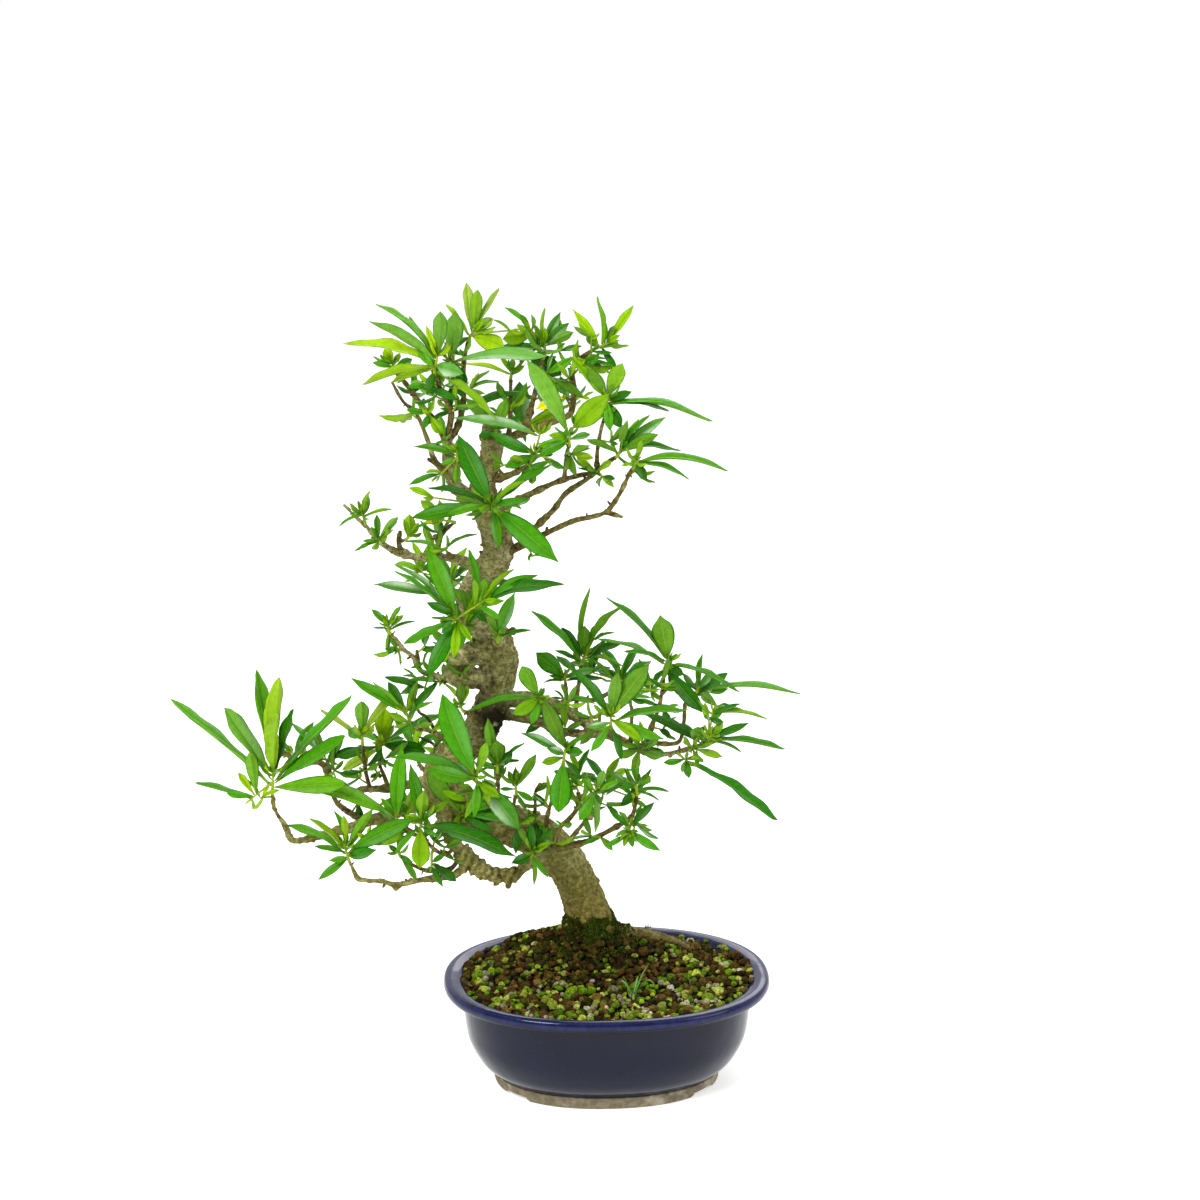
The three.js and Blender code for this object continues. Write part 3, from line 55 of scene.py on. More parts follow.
POT_CENTRE = np.array([(pot_low[0] + pot_high[0]) / 2, (pot_low[1] + pot_high[1]) / 2, 0]) / MM

# Points of the plant are given as a viewer sees them from EYE: x and z where the sight line crosses the
# upright plane through the pot's centre, then the depth behind it.
EYE = Vector((-4, -1430, 657))
VIEW_TURN = math.radians(3.5)
TURN = Matrix.Rotation(-VIEW_TURN, 3, "Z")
EYE_IN_POT_FRAME = TURN @ EYE
VIEW_TILT = math.radians(76)
LENS_MM, SENSOR_MM = 75, 36

# The camera stands where the viewer does
scene = bpy.context.scene
camera_data = bpy.data.cameras.new("camera")
camera_data.lens = LENS_MM
camera_data.sensor_width = SENSOR_MM
camera = bpy.data.objects.new("camera", camera_data)
scene.collection.objects.link(camera)
camera.location = (EYE_IN_POT_FRAME + Vector(POT_CENTRE)) * MM
camera.rotation_euler = (VIEW_TILT, 0, -VIEW_TURN)
scene.camera = camera

# Trunk from its buried end to its top: x, z, depth, radius
TRUNK = [
    [-10, 92, 28, 16.5], [-14, 110, 28, 13.2], [-19, 124, 27, 12.2], [-27, 140, 26, 12.5],
    [-41, 153, 25, 12.8], [-58, 161, 24, 12.4], [-76, 166, 23, 12], [-90, 173, 22, 12],
    [-98, 185, 21, 12], [-97, 197, 20, 11.5], [-88, 207, 19, 10.6], [-77, 217, 18, 10],
    [-72, 228, 17, 10.4], [-68, 240, 16, 9.6], [-64, 252, 15, 9.2], [-62.5, 264, 15, 9.5],
    [-66, 275, 14, 9.4], [-73, 284, 14, 9], [-78, 293, 13, 8.6], [-79, 303, 13, 8.1],
    [-76, 312, 12, 8.3], [-69, 321, 12, 9], [-64, 330, 12, 9], [-65, 340, 12, 8.5],
    [-69, 351, 11, 8], [-72, 362, 11, 7.5], [-71, 374, 10, 7], [-68, 385, 10, 6.5],
    [-67, 395, 10, 6.4], [-68, 405, 10, 4.6],
]

# Limbs, roots and twigs: name, what it grows from, radius at each end, depth at its end, then points
LIMBS = [
    ["root_right", "trunk", 8, 2, 34, [[-8, 94], [10, 91], [23, 89.5], [33, 88], [43, 85], [51, 80]]],
    ["root_left", "trunk", 7.5, 2.2, 36, [[-16, 94], [-29, 89.5], [-42, 88.5], [-53, 87], [-62, 82]]],
    ["root_front", "trunk", 8, 4, 15, [[-10, 94], [-8, 88], [-4, 84]]],
    ["root_back", "trunk", 8, 2.4, 58, [[-12, 94], [-16, 92], [-22, 92], [-30, 90]]],
    ["burl", "trunk", 9, 6, 12, [[-66, 266], [-80, 268], [-92, 261]]],
    ["burl_bar", "burl", 5.4, 4.6, 15, [[-92, 260], [-88, 252], [-78, 251], [-66, 252]]],
    ["left_o", "trunk", 4, 2, 28, [[-98, 187], [-108, 188], [-120, 186], [-131, 183.5], [-144, 183.5],
    [-150, 182.5]]],
    ["o_twig_left", "left_o", 1.3, 1, 20, [[-142, 183.5], [-144.5, 194], [-145.5, 203], [-146, 211]]],
    ["o_twig_right", "left_o", 1.4, 1, 30, [[-131, 184], [-134, 193], [-136, 199], [-135.5, 206]]],
    ["left_n", "trunk", 5.6, 1.3, -10, [[-92, 176], [-110, 174], [-119, 172], [-128, 168], [-137, 165],
    [-145, 163], [-152, 159.5], [-168, 155], [-180, 152], [-190, 151], [-194, 160], [-200, 171],
    [-200.8, 180]]],
    ["n_fork", "left_n", 2.2, 1.1, 45, [[-146, 163], [-157, 170], [-163, 176], [-166, 186], [-167.5, 195]]],
    ["left_k", "trunk", 5.4, 3, 5, [[-98, 182], [-98, 171, 12], [-96, 158, 8], [-90, 147, 6], [-84, 138, 6],
    [-76, 131, 5], [-68, 129, 4], [-57, 128, 3], [-51, 133, 2], [-44, 137, 2], [-38, 141, 3],
    [-32, 146, 5]]],
    ["k_nub_left", "left_k", 3, 1.4, 5, [[-68, 129], [-67, 122]]],
    ["k_nub_right", "left_k", 2.6, 1.4, 4, [[-58, 128], [-60, 120.5]]],
    ["k_fork_up", "left_k", 2, 1.2, 0, [[-32, 146], [-29, 158], [-24, 163], [-19, 169], [-17, 174],
    [-17, 181]]],
    ["k_fork_side", "k_fork_up", 1.3, 1, -10, [[-17, 173], [-12, 174], [-9, 177]]],
    ["k_fork_right", "left_k", 2.2, 1.2, 0, [[-33, 146], [-19, 148], [-10, 151], [-2, 155], [5, 159],
    [10, 162], [15, 166], [17, 172], [18, 179]]],
    ["k_left", "left_k", 3, 1.2, -8, [[-84, 138], [-91, 129.5], [-102, 127], [-115, 125], [-127, 122.5],
    [-137, 124.5], [-150, 126], [-153, 131], [-155.5, 137]]],
    ["k_left_w", "left_k", 1.6, 1, 0, [[-88, 143], [-94, 133], [-105, 131], [-112, 132.5], [-119, 136],
    [-123.5, 139.5]]],
    ["k_left_thin", "left_k", 1.4, 0.9, -9, [[-91, 148], [-97, 142], [-104, 145], [-109, 151],
    [-112, 157]]],
    ["k_left_thin_fork", "k_left_thin", 1.1, 0.9, -5, [[-108, 150], [-116, 155], [-124.5, 162]]],
    ["low_twig_far", "trunk", 1.4, 0.9, 4, [[-64, 163], [-65, 176, 9], [-65, 186], [-65.5, 194]]],
    ["low_twig_mid", "trunk", 1.4, 0.9, 8, [[-55, 162], [-56, 172], [-54.5, 180]]],
    ["low_twig_stub", "trunk", 1.4, 0.8, 12, [[-44, 155], [-43, 172], [-43, 181], [-40, 187]]],
    ["low_twig_right", "trunk", 1.6, 0.9, -4, [[-36, 149], [-36, 164, 10], [-33, 176, 4], [-27, 193],
    [-26, 200]]],
    ["low_twig_front", "trunk", 2, 1.1, -27, [[-74, 166], [-71, 174, 6], [-74, 181, -10], [-77, 186]]],
    ["left_t", "trunk", 3, 1.2, 11, [[-86, 209], [-96, 215], [-101, 217], [-107, 220], [-113, 221],
    [-117, 226]]],
    ["t_twig_up", "left_t", 1.2, 0.8, 26, [[-101, 217], [-107, 228], [-112, 232], [-115, 243]]],
    ["t_twig_dead", "trunk", 1.6, 0.8, 24, [[-90, 204], [-100, 209], [-108, 215]]],
    ["trunk_sprig", "trunk", 1.8, 1, 2, [[-72, 229], [-80, 230], [-85, 232]]],
    ["left_q", "trunk", 3.2, 1.2, 17, [[-66, 250], [-86, 251], [-99, 253], [-109, 256], [-112, 260],
    [-115, 266], [-120, 270], [-124, 275], [-127.5, 279.5]]],
    ["q_stub", "left_q", 1.3, 1, 14, [[-112, 260], [-112.5, 269.5]]],
    ["right_big", "trunk", 5.6, 1.4, 0, [[-68, 240], [-45, 239], [-38, 237], [-29, 235], [-22, 231],
    [-12, 225], [-5, 220], [2, 217], [10, 213], [20, 208], [31, 205], [43, 207], [56, 211], [59, 213]]],
    ["right_under", "trunk", 4, 2.6, 8, [[-70, 230], [-55, 229.5], [-38, 225], [-33, 221], [-23, 219],
    [-12, 217.5], [-3, 219]]],
    ["r_fork", "right_big", 1.7, 1, 31, [[20, 208], [24, 213], [31, 212], [43, 213], [46, 225],
    [47, 237], [52, 242.5]]],
    ["r_up_a", "right_big", 1.5, 1, 25, [[-24, 232], [-24, 243], [-24.5, 249]]],
    ["r_up_b", "right_big", 1.4, 1, 39, [[-19, 229], [-17, 246], [-15, 260]]],
    ["r_up_stub", "right_big", 1.3, 0.9, 9, [[-5, 220], [-4, 230]]],
    ["r_up_bare", "right_big", 1.3, 0.9, 10, [[14, 211], [15, 231], [14, 237], [13, 245]]],
    ["r_front", "right_big", 1.5, 1.1, -17, [[2, 217], [2.5, 222]]],
    ["r_up_e4", "right_big", 1.5, 1, 15, [[23, 207], [27, 223], [31, 234], [33.5, 248], [34, 257]]],
    ["r_up_e4_side", "r_up_e4", 1.1, 0.8, 12, [[33, 243], [38, 248]]],
    ["spur_m_right", "trunk", 3, 2, 0, [[-65, 273], [-64.5, 275]]],
    ["spur_m_stub", "trunk", 2.6, 2, 14, [[-64, 280], [-54, 282]]],
    ["spur_m_front", "trunk", 3, 1.6, -12, [[-78, 290], [-84, 286], [-87, 287]]],
    ["stub_high", "trunk", 2.6, 1, 10, [[-74, 311], [-56, 311], [-48, 307]]],
    ["left_s", "trunk", 3.6, 1.1, 18, [[-70, 319], [-82, 323], [-92, 326], [-110, 326], [-117, 328],
    [-124, 330], [-132, 335], [-137, 341], [-142, 346], [-154, 358]]],
    ["s_stub_mid", "left_s", 1.9, 1.1, 14, [[-120, 329], [-122, 335], [-121, 342]]],
    ["s_twig_mid", "s_stub_mid", 1, 0.8, 12, [[-122, 335], [-118, 337]]],
    ["s_stub_near", "left_s", 1.9, 1.3, 12, [[-100, 326], [-99, 334], [-100.5, 339.5]]],
    ["s_twig_near", "s_stub_near", 1.3, 0.9, 10, [[-99, 333], [-95.5, 341.5], [-90, 346.5]]],
    ["s_thorn", "left_s", 1.6, 0.8, 8, [[-91, 326], [-94, 330]]],
    ["trunk_thorn", "trunk", 2.2, 0.7, 10, [[-65, 330], [-74, 334]]],
    ["front_thin", "trunk", 2, 1, -6, [[-63, 334], [-60, 341, 0], [-62, 347, -6], [-67, 356, -12],
    [-72, 364, -10], [-84, 380, -7], [-86, 383]]],
    ["left_crown", "trunk", 4.6, 3.4, 2, [[-70, 352], [-82, 363], [-90, 372], [-92, 384], [-93, 397]]],
    ["crown_dead", "left_crown", 2.6, 0.8, -3, [[-91, 374], [-97, 380], [-104, 385]]],
    ["crown_pale", "left_crown", 1.9, 0.8, 18, [[-91, 374], [-100, 384], [-104, 396], [-110, 411],
    [-118, 419], [-124, 430]]],
    ["crown_a", "left_crown", 2.2, 1.1, -5, [[-93, 396], [-90, 412], [-93, 419], [-96, 426], [-99, 434]]],
    ["crown_b", "left_crown", 2.2, 1.1, 10, [[-92, 396], [-87, 403], [-83, 418], [-82.5, 440],
    [-80, 453]]],
    ["crown_c", "left_crown", 2.4, 1.1, 10, [[-94, 396], [-99, 406], [-109, 419], [-116, 429],
    [-121, 435]]],
    ["crown_right", "trunk", 2.8, 1.3, 19, [[-67, 395], [-56, 398], [-42, 403], [-30, 407.5], [-21, 412],
    [-19, 426], [-20, 436], [-16, 443], [-9, 448]]],
    ["crown_up", "crown_right", 2, 1.1, 34, [[-48, 401], [-45, 411], [-42, 422], [-38, 437], [-36, 447]]],
    ["crown_left_up", "crown_right", 1.7, 1, 29, [[-57, 398], [-56, 412], [-55.5, 431]]],
    ["upper_spur", "trunk", 2.6, 1.4, -8, [[-71, 372], [-58, 375], [-48, 380], [-44, 384]]],
    ["spur_thorn", "upper_spur", 1.4, 0.8, 2, [[-60, 374.5], [-63, 379]]],
    ["right_upper", "trunk", 2.6, 1.3, 5, [[-70, 354], [-60, 357], [-45, 364], [-30, 371], [-17, 375],
    [-9, 376.5]]],
    ["right_upper_twig", "right_upper", 1.3, 1, -13, [[-25, 373], [-23.5, 387], [-22, 393]]],
    ["right_middle", "trunk", 2.4, 1.2, -1, [[-64, 329], [-52, 333], [-41, 345], [-31, 355],
    [-24, 364.5], [-11, 373.5], [0, 382.5], [5, 386]]],
    ["right_middle_up", "right_middle", 1.3, 0.9, 8, [[-6, 378], [-5.5, 390], [-3, 404], [0, 413]]],
    ["right_lower", "trunk", 2.2, 1.1, -5, [[-65, 328], [-54, 331], [-37, 340], [-20, 348], [-9, 350.5],
    [0, 354], [7, 363.5], [13, 376], [15, 379]]],
    ["lower_stub", "right_lower", 1.4, 0.9, -2, [[-1, 353.5], [9, 350.5]]],
    ["back_low_left", "trunk", 3.4, 1.1, 56, [[-84, 170], [-90, 175, 32], [-97, 180, 38], [-104, 190, 43],
    [-111, 197, 51], [-114, 204]]],
    ["back_low_right", "trunk", 3.4, 1.1, 58, [[-26, 138], [-26, 143, 35], [-22, 151, 43], [-13, 163, 45],
    [-7, 169, 53], [-2, 180]]],
    ["back_mid_right", "right_big", 2.8, 1.1, 54, [[-40, 238], [-30, 236, 26], [-20, 240, 34], [-8, 239, 42],
    [2, 244, 46], [8, 248]]],
    ["back_mid_left", "trunk", 3, 1.1, 50, [[-72, 282], [-78, 288, 25], [-80, 296, 32], [-87, 299, 40],
    [-90, 303, 46], [-91, 309]]],
]

# Leafy shoots: name after shoot_, crown, then leaves. A leaf is the x and z of its tip, its seen width
# and its tone (y young, m grown, d dark, g glossy, x yellow), then its lean and its own foot where it has
# them.
SHOOTS = [
    ["top", [-77.5, 458, 10], [
    [-80.5, 487.5, 5.5, "m"], [-74, 483.5, 6, "y"], [-61.5, 484.5, 3, "m"], [-65.5, 467, 5, "m"],
    [-92.5, 475.5, 1.5, "y"], [-59, 450, 9, "y", 0.3], [-94.5, 449.5, 5, "g"]]],
    ["top_left", [-89, 442, 4], [
    [-87, 471, 10.5, "g", -0.1], [-34, 445, 7, "g", -0.2], [-83, 420, 9, "d", -0.3],
    [-81, 427.5, 5, "d"]]],
    ["crown_left", [-99, 438, -5], [
    [-152, 452.5, 6, "y"], [-137, 465.5, 6, "g"], [-133, 475.5, 3, "m"], [-104, 463, 4, "y"],
    [-95.5, 471, 8.5, "g", -0.2], [-113.5, 468.5, 2, "y"], [-141.5, 428.5, 5, "y"],
    [-125, 429.5, 5, "y", 0.4], [-82.5, 435, 9, "g", -0.5], [-63.5, 408.5, 4.5, "y", -0.5],
    [-104, 422, 5, "d", -0.6]]],
    ["crown_far", [-123, 439, 11], [
    [-128, 449.5, 6, "y"], [-135, 441.5, 3.5, "m"], [-119, 447, 3, "y"], [-112, 443.5, 5, "g", 0.5]]],
    ["crown_low", [-103, 411, 0], [
    [-99.5, 421.5, 2, "y"], [-106, 402.5, 4, "d", -0.5], [-95.5, 399.5, 6, "y", 0.6],
    [-116, 414, 4, "m", -0.4]]],
    ["crown_front", [-87, 386, -6], [
    [-113, 392.5, 4.5, "m"], [-79, 388.5, 4, "y"], [-97, 381.5, 3, "m"], [-88, 370, 5, "m", -0.2],
    [-92, 393, 3.5, "y"], [-115.5, 369.5, 3.5, "m", 0.1, -96.5, 376]]],
    ["crown_thin", [-55, 435, 30], [
    [-82, 441, 2, "y"], [-47, 440, 3, "y"], [-54, 444, 3, "y"], [-62, 446, 3, "y", 0.5]]],
    ["right_top", [-3, 451, 20], [
    [-20, 472.5, 5.5, "y"], [-5.5, 480, 2.5, "m"], [-2.5, 469.5, 3, "y"], [15.5, 474.5, 5, "y"],
    [4.5, 463, 4, "g"], [11.5, 451, 1, "m"], [-12, 457, 4, "d", -0.5], [5.5, 438.5, 4, "d", -0.4]]],
    ["middle_top", [-36, 452, 35], [
    [-35.5, 473.5, 2, "y"], [-26.5, 471, 6, "g"], [-42, 464, 3, "m"], [-21.5, 464.5, 6, "g", 0.1],
    [-19, 459, 6, "g", -0.4], [-60, 455, 9, "y", 0.1, -44, 457], [-59, 473.5, 3, "m", 0, -43.5, 460],
    [-26, 434, 12, "d", -0.3, -46, 446]]],
    ["centre_bright", [-22, 397, -15], [
    [-46, 443, 11, "g", -0.08], [2, 424, 13, "y", -0.12, -19.5, 403.5], [-39.5, 392.5, 5, "m"],
    [-41, 386, 5, "m", -0.5], [-9.5, 399.5, 4, "g"], [-34, 399, 4, "y"]]],
    ["centre_back", [-48, 404, 34], [
    [-50.5, 430.5, 12, "g", 0.1], [-22, 416.5, 6.5, "y", 0.3]]],
    ["centre_front", [-42, 388, -11], [
    [-69, 401, 7, "d", -0.3], [-59.5, 380, 6.5, "m", -0.1], [-33, 396, 4, "m", -0.3],
    [-90, 409.5, 6, "g", 0, -39, 399],
    [-67.5, 388.5, 3.5, "m", -0.3, -60.5, 381]]],
    ["upper_front", [-67, 357, -19], [
    [-86.5, 399.5, 12, "d", -0.1], [-114, 350, 8, "m", -0.15], [-94, 352, 5, "m", -0.5],
    [-63, 330, 6.5, "m", -0.2], [-28, 323, 13, "m", -0.1], [-32, 382, 5, "m", 0.1],
    [-105, 368, 4, "d", -0.2], [-115.5, 368, 4, "y", 0.2, -101, 362], [-47.5, 372.5, 3, "y", -0.2],
    [-46.5, 361, 5, "m", -0.5]]],
    ["yellow", [-96, 348.5, 6], [
    [-109, 360.5, 6, "y", -0.3], [-107.5, 347, 2.5, "x", -0.3], [-113, 343.5, 2, "m"],
    [-98, 361, 4, "y"]]],
    ["right_fan", [0, 419, 6], [
    [-22, 445.5, 6.5, "y"], [-12, 439, 8, "d", -0.2], [9, 441, 9.5, "y", -0.1], [14.5, 424.5, 5, "d"],
    [36.5, 413, 4, "m", 0.1], [62, 407, 3, "m", 0.2]]],
    ["right_mid", [8, 390, 0], [
    [34.5, 410, 6, "g"], [30, 399.5, 6.5, "m", -0.4], [43.5, 390, 3.5, "m"], [19, 409, 2.5, "y", 0.4],
    [25, 411, 3, "m", 0.1], [12, 408.5, 4, "g", -0.3], [-12, 396.5, 4, "d", -0.5]]],
    ["right_low", [17, 383, -8], [
    [71.5, 377.5, 4, "m", 0], [48.5, 372.5, 3.5, "m", 0.2], [23.5, 372, 5, "d", -0.3],
    [8.5, 381, 2, "y"]]],
    ["far_s", [-142.5, 351, 12], [
    [-145.5, 361, 2.5, "y"], [-138, 366.5, 2.5, "y"], [-141, 359.5, 4, "y", -0.4],
    [-125, 355.5, 2, "y"], [-148.5, 356.5, 2, "m", -0.5], [-157, 345, 1.5, "m"]]],
    ["mid_s", [-133.5, 336.5, 8], [
    [-134.5, 352, 4, "m"], [-122, 350.5, 4.5, "g"], [-143.5, 336, 2.5, "m"], [-148.5, 330, 2.5, "m"],
    [-124.5, 343.5, 2, "m", -0.5]]],
    ["near_s", [-116, 339, 12], [
    [-115.5, 352.5, 7, "y", -0.1], [-110, 347, 3, "y"], [-119, 350, 3, "y"]]],
    ["burl_front", [-89, 289, -17], [
    [-105, 331.5, 11, "m", -0.1], [-138, 310, 6, "g", 0.1, -103, 304], [-125.5, 318.5, 2.5, "m"],
    [-125.5, 322.5, 3, "g", 0.1], [-108.5, 317.5, 3, "m", -0.3], [-106.5, 299, 5, "d", -0.5],
    [-98, 280, 5, "d", -0.4], [-120.5, 273.5, 5.5, "m", 0.1], [-107, 252, 9, "d", -0.1],
    [-79.5, 274.5, 4, "y", -0.5], [-91, 264.5, 6, "y", -0.4], [-81, 331.5, 5, "m", 0.1, -75.5, 298],
    [-71.5, 314, 6, "m", -0.2, -75.5, 298], [-78, 313, 4, "y", -0.6, -75.5, 298],
    [-40, 315.5, 6, "m", -0.1, -75.5, 298], [-24.5, 310, 7, "d", -0.2, -75.5, 298],
    [-54, 320, 3, "y", 0.1, -75.5, 298], [-61, 288, 4, "m", -0.4, -75.5, 298]]],
    ["trunk_right", [-64.5, 278.5, -5], [
    [-54, 305.5, 8, "g", 0.1], [-70, 292, 4, "m", -0.4], [-44, 282.5, 2.5, "m"]]],
    ["q", [-129, 283, 17], [
    [-139, 295, 4, "m"], [-121.5, 297, 3, "m"], [-120, 291.5, 3, "m", -0.4], [-112.5, 288, 2, "m"],
    [-139, 283.5, 1.5, "m"], [-130.5, 268.5, 3, "m", 0.3]]],
    ["trunk_left", [-87, 235, 0], [
    [-87, 250.5, 6, "d", -0.2], [-82.5, 248.5, 5, "y", 0.4], [-99, 238.5, 3, "m", 0.2]]],
    ["e1", [-14, 264, 41], [
    [-10, 308.5, 4, "m", 0], [11, 298, 5, "m", -0.1], [-13, 285, 8, "m", -0.3], [-27, 284, 6, "d"],
    [-45, 294.5, 5, "m", 0.1], [11, 275, 5, "d", 0.2], [-31, 270, 3, "d"]]],
    ["e2", [-25, 252.5, 25], [
    [-42, 268.5, 11, "m", -0.2], [-35, 254.5, 2.5, "m"], [-38, 250, 1.5, "m"], [-7, 258.5, 5, "g"],
    [0, 252, 3.5, "d", 0.3]]],
    ["big_front", [-40, 240.5, -4], [
    [-50.5, 260, 9.5, "m", -0.2], [-84, 232.5, 4.5, "m", 0], [-56, 230, 8, "y", -0.3],
    [-45, 224, 6, "m", -0.4]]],
    ["e3", [2.5, 226, -20], [
    [-21.5, 260.5, 6, "d"], [25, 261, 12, "d", -0.2], [7, 257, 8, "g", -0.3], [49, 233.5, 5, "m"],
    [35, 214.5, 7, "m", -0.3], [22, 213, 6, "y", -0.6], [-9.5, 207, 5, "m"], [-13, 222, 4, "g"],
    [9, 201.5, 4.5, "d", -0.2]]],
    ["e4", [35, 261, 15], [
    [-1, 303, 3.5, "m", 0.1], [31.5, 291.5, 14, "m", -0.15], [46, 254.5, 6, "d"],
    [58, 231, 9, "d", -0.1], [79.5, 244, 3, "m"], [-6, 277, 2.5, "m"], [10, 269, 3, "m", -0.4]]],
    ["e5", [55, 245, 34], [
    [57, 268.5, 4, "m"], [72, 256, 6, "d", -0.2], [116.5, 243, 2.8, "m", 0], [72.5, 246, 6, "m", 0.3],
    [45, 256, 4, "g", 0.4]]],
    ["e7", [61, 215, -1], [
    [85.5, 225, 5, "d"], [107.5, 208.5, 3.5, "m", 0], [81, 206.5, 1.5, "m"], [50, 220, 8, "g", -0.6],
    [69.5, 225.5, 5, "y", -0.3], [96.5, 227.5, 2, "y", 0.2, 63, 231], [84, 232.5, 1.5, "m", 0.4, 63, 231],
    [80, 237, 3, "d", -0.1, 63, 231]]],
    ["e8", [47, 202, -9], [
    [103.5, 163.5, 6, "d", -0.1], [49.5, 190, 5, "m", -0.3], [34, 200, 4, "m", -0.3]]],
    ["f1", [-25.5, 203.5, -5], [
    [-38, 240.5, 10.5, "d", -0.15], [-11.5, 217, 3, "m"], [-14, 206.5, 6, "m", -0.4],
    [-36, 209, 5, "g", -0.4], [-52, 219, 5, "g", -0.1], [-29, 168.5, 13, "m", -0.25],
    [-39, 200, 5, "y", 0.2], [-15, 189.5, 4, "d", -0.4]]],
    ["f3", [-7, 181, -14], [
    [-15, 190.5, 3, "m"], [-1.5, 195.5, 5, "g"], [8, 188.5, 4, "m"], [-3, 173, 3, "m", -0.5],
    [-16.5, 163.5, 7, "m", -0.2], [-7, 155, 4, "g"]]],
    ["f4", [18, 184, 0], [
    [17.5, 206, 5, "m"], [26.5, 191.5, 6, "m", -0.5], [38, 182, 2.5, "m"], [32, 176, 1.5, "m"],
    [3, 186.5, 4, "m", -0.2], [1, 195, 4, "g"], [8.5, 173.5, 5, "d", -0.3]]],
    ["f5", [14, 158, -6], [
    [29, 175.5, 5, "d"], [33, 144, 5.5, "m"], [7.5, 169.5, 3, "d", -0.5], [16, 146, 4, "m", -0.3],
    [-1, 147, 3.5, "m", -0.4], [2, 170, 3.5, "m"]]],
    ["f6", [-54.5, 183, 7], [
    [-59, 195, 3.5, "y"], [-53, 195, 3, "y"], [-42, 205.5, 6, "m", -0.1], [-64, 183.5, 2.5, "m"],
    [-44, 176, 4, "m", -0.4], [-48, 170, 3, "m"]]],
    ["f7", [-65.5, 197, 3], [
    [-65.5, 214, 10, "d", -0.5], [-71, 228.5, 7, "m", -0.2], [-56, 208.5, 6, "d", 0.2],
    [-76, 200, 4, "m", -0.4], [-48.5, 213, 2, "m"]]],
    ["u", [-78, 189, -30], [
    [-98, 243, 15, "m", -0.08], [-131, 204, 6, "m", -0.1], [-52.5, 157.5, 12, "g", -0.12],
    [-72, 213, 6, "y", -0.2], [-108, 196.5, 10, "m", -0.35], [-64, 178, 6, "y", -0.3],
    [-80, 165, 6, "m", -0.4]]],
    ["p", [-119, 230, 10], [
    [-130, 250.5, 6, "d"], [-152.5, 253, 7, "m", 0.1], [-100, 250.5, 5, "d", 0.3],
    [-112, 252, 5, "d", -0.1], [-103, 238.5, 2.5, "m", -0.3], [-139.5, 251.5, 2, "m", -0.3]]],
    ["q1", [-146, 216, 20], [
    [-146, 238.5, 7.5, "g", -0.1], [-154.5, 221, 6, "g", -0.3], [-127.5, 242.5, 4.5, "m"],
    [-171, 233.5, 2.5, "m"], [-139, 222.5, 4, "m", -0.4]]],
    ["q2", [-135, 211, 30], [
    [-132, 234, 9.5, "y", 0.2], [-97.5, 231, 4, "g", 0.3], [-108, 207, 8, "d", 0.2],
    [-159, 195, 5, "m", -0.2], [-161, 203, 5, "d", 0.3]]],
    ["q3", [-168, 202, 46], [
    [-189, 225.5, 5, "g"], [-175.5, 222.5, 5, "d", -0.3], [-157, 218, 5, "d", 0.3],
    [-149.5, 210, 4.5, "d"], [-174.5, 226, 6.5, "m", 0.2, -188, 206], [-200, 217, 4, "m", 0.3, -188, 206],
    [-197, 205, 3, "m", -0.3, -188, 206]]],
    ["l", [-200.5, 188, -11], [
    [-208, 258.5, 7.5, "m", -0.05], [-194.5, 253.5, 8, "y", 0.1], [-228, 234.5, 8, "g", 0],
    [-260, 240, 3.5, "m", 0.05], [-196, 232, 6, "y", -0.25], [-202.5, 225, 6.5, "y", -0.4],
    [-151.5, 242.5, 3.5, "m", 0.05], [-186.5, 234, 5, "d"], [-156, 217, 7, "m", -0.15],
    [-156, 187, 9, "m", -0.1], [-228.5, 211.5, 2, "m"], [-213.5, 207, 6.5, "m", -0.25, -211.5, 179],
    [-228.5, 181, 4, "m", -0.3, -211.5, 179], [-247.5, 187.5, 3, "m", 0.1, -211.5, 179],
    [-221, 194, 3.5, "y", 0.2, -211.5, 179]]],
    ["n1", [-157, 142, -10], [
    [-194, 161, 5, "m"], [-179.5, 165.5, 3, "y"], [-164.5, 170.5, 4, "m"], [-158.5, 167, 4.5, "y", -0.3],
    [-140.5, 171.5, 6.5, "m"], [-177, 147, 3.5, "m", -0.2], [-168.5, 138, 4, "m", -0.4],
    [-175.5, 125, 5, "m"], [-116, 164.5, 10, "m", -0.15], [-138.5, 145, 7, "d", -0.5]]],
    ["w", [-125.5, 142, -1], [
    [-124, 156, 5, "d", -0.3], [-131.5, 148, 3, "m"], [-117, 135.5, 3, "m", -0.4],
    [-115, 125, 4, "m", -0.1]]],
    ["v", [-112, 161, -11], [
    [-118, 200, 7.5, "m"], [-109.5, 183, 8, "y", -0.3], [-122, 166.5, 6, "y", -0.3],
    [-94, 176.5, 4, "y"], [-113, 133, 11, "y", -0.25], [-128.5, 141, 4, "m", -0.3],
    [-100, 152.5, 3, "m", -0.4], [-54, 140, 10, "d", -0.2]]],
    ["v_back", [-127, 165.5, -4], [
    [-122, 213.5, 10, "m", 0], [-182, 187, 9, "m", -0.1], [-136, 178, 4, "m"]]],
    ["k", [-45, 142, -4], [
    [-54, 160, 5, "d", -0.3], [-46, 163, 5, "d", -0.1], [-33, 158.5, 4.5, "d"], [-34, 149.5, 4, "y", -0.5],
    [-35, 126.5, 3.5, "m"], [-44, 121.5, 3, "m"], [-58, 136, 6, "d", -0.5]]],
    ["w_low", [-106, 136, -1], [
    [-91, 124.5, 6, "d", -0.2], [-99, 120.5, 4, "m", -0.3], [-97, 143, 3.5, "m", -0.3]]],
]

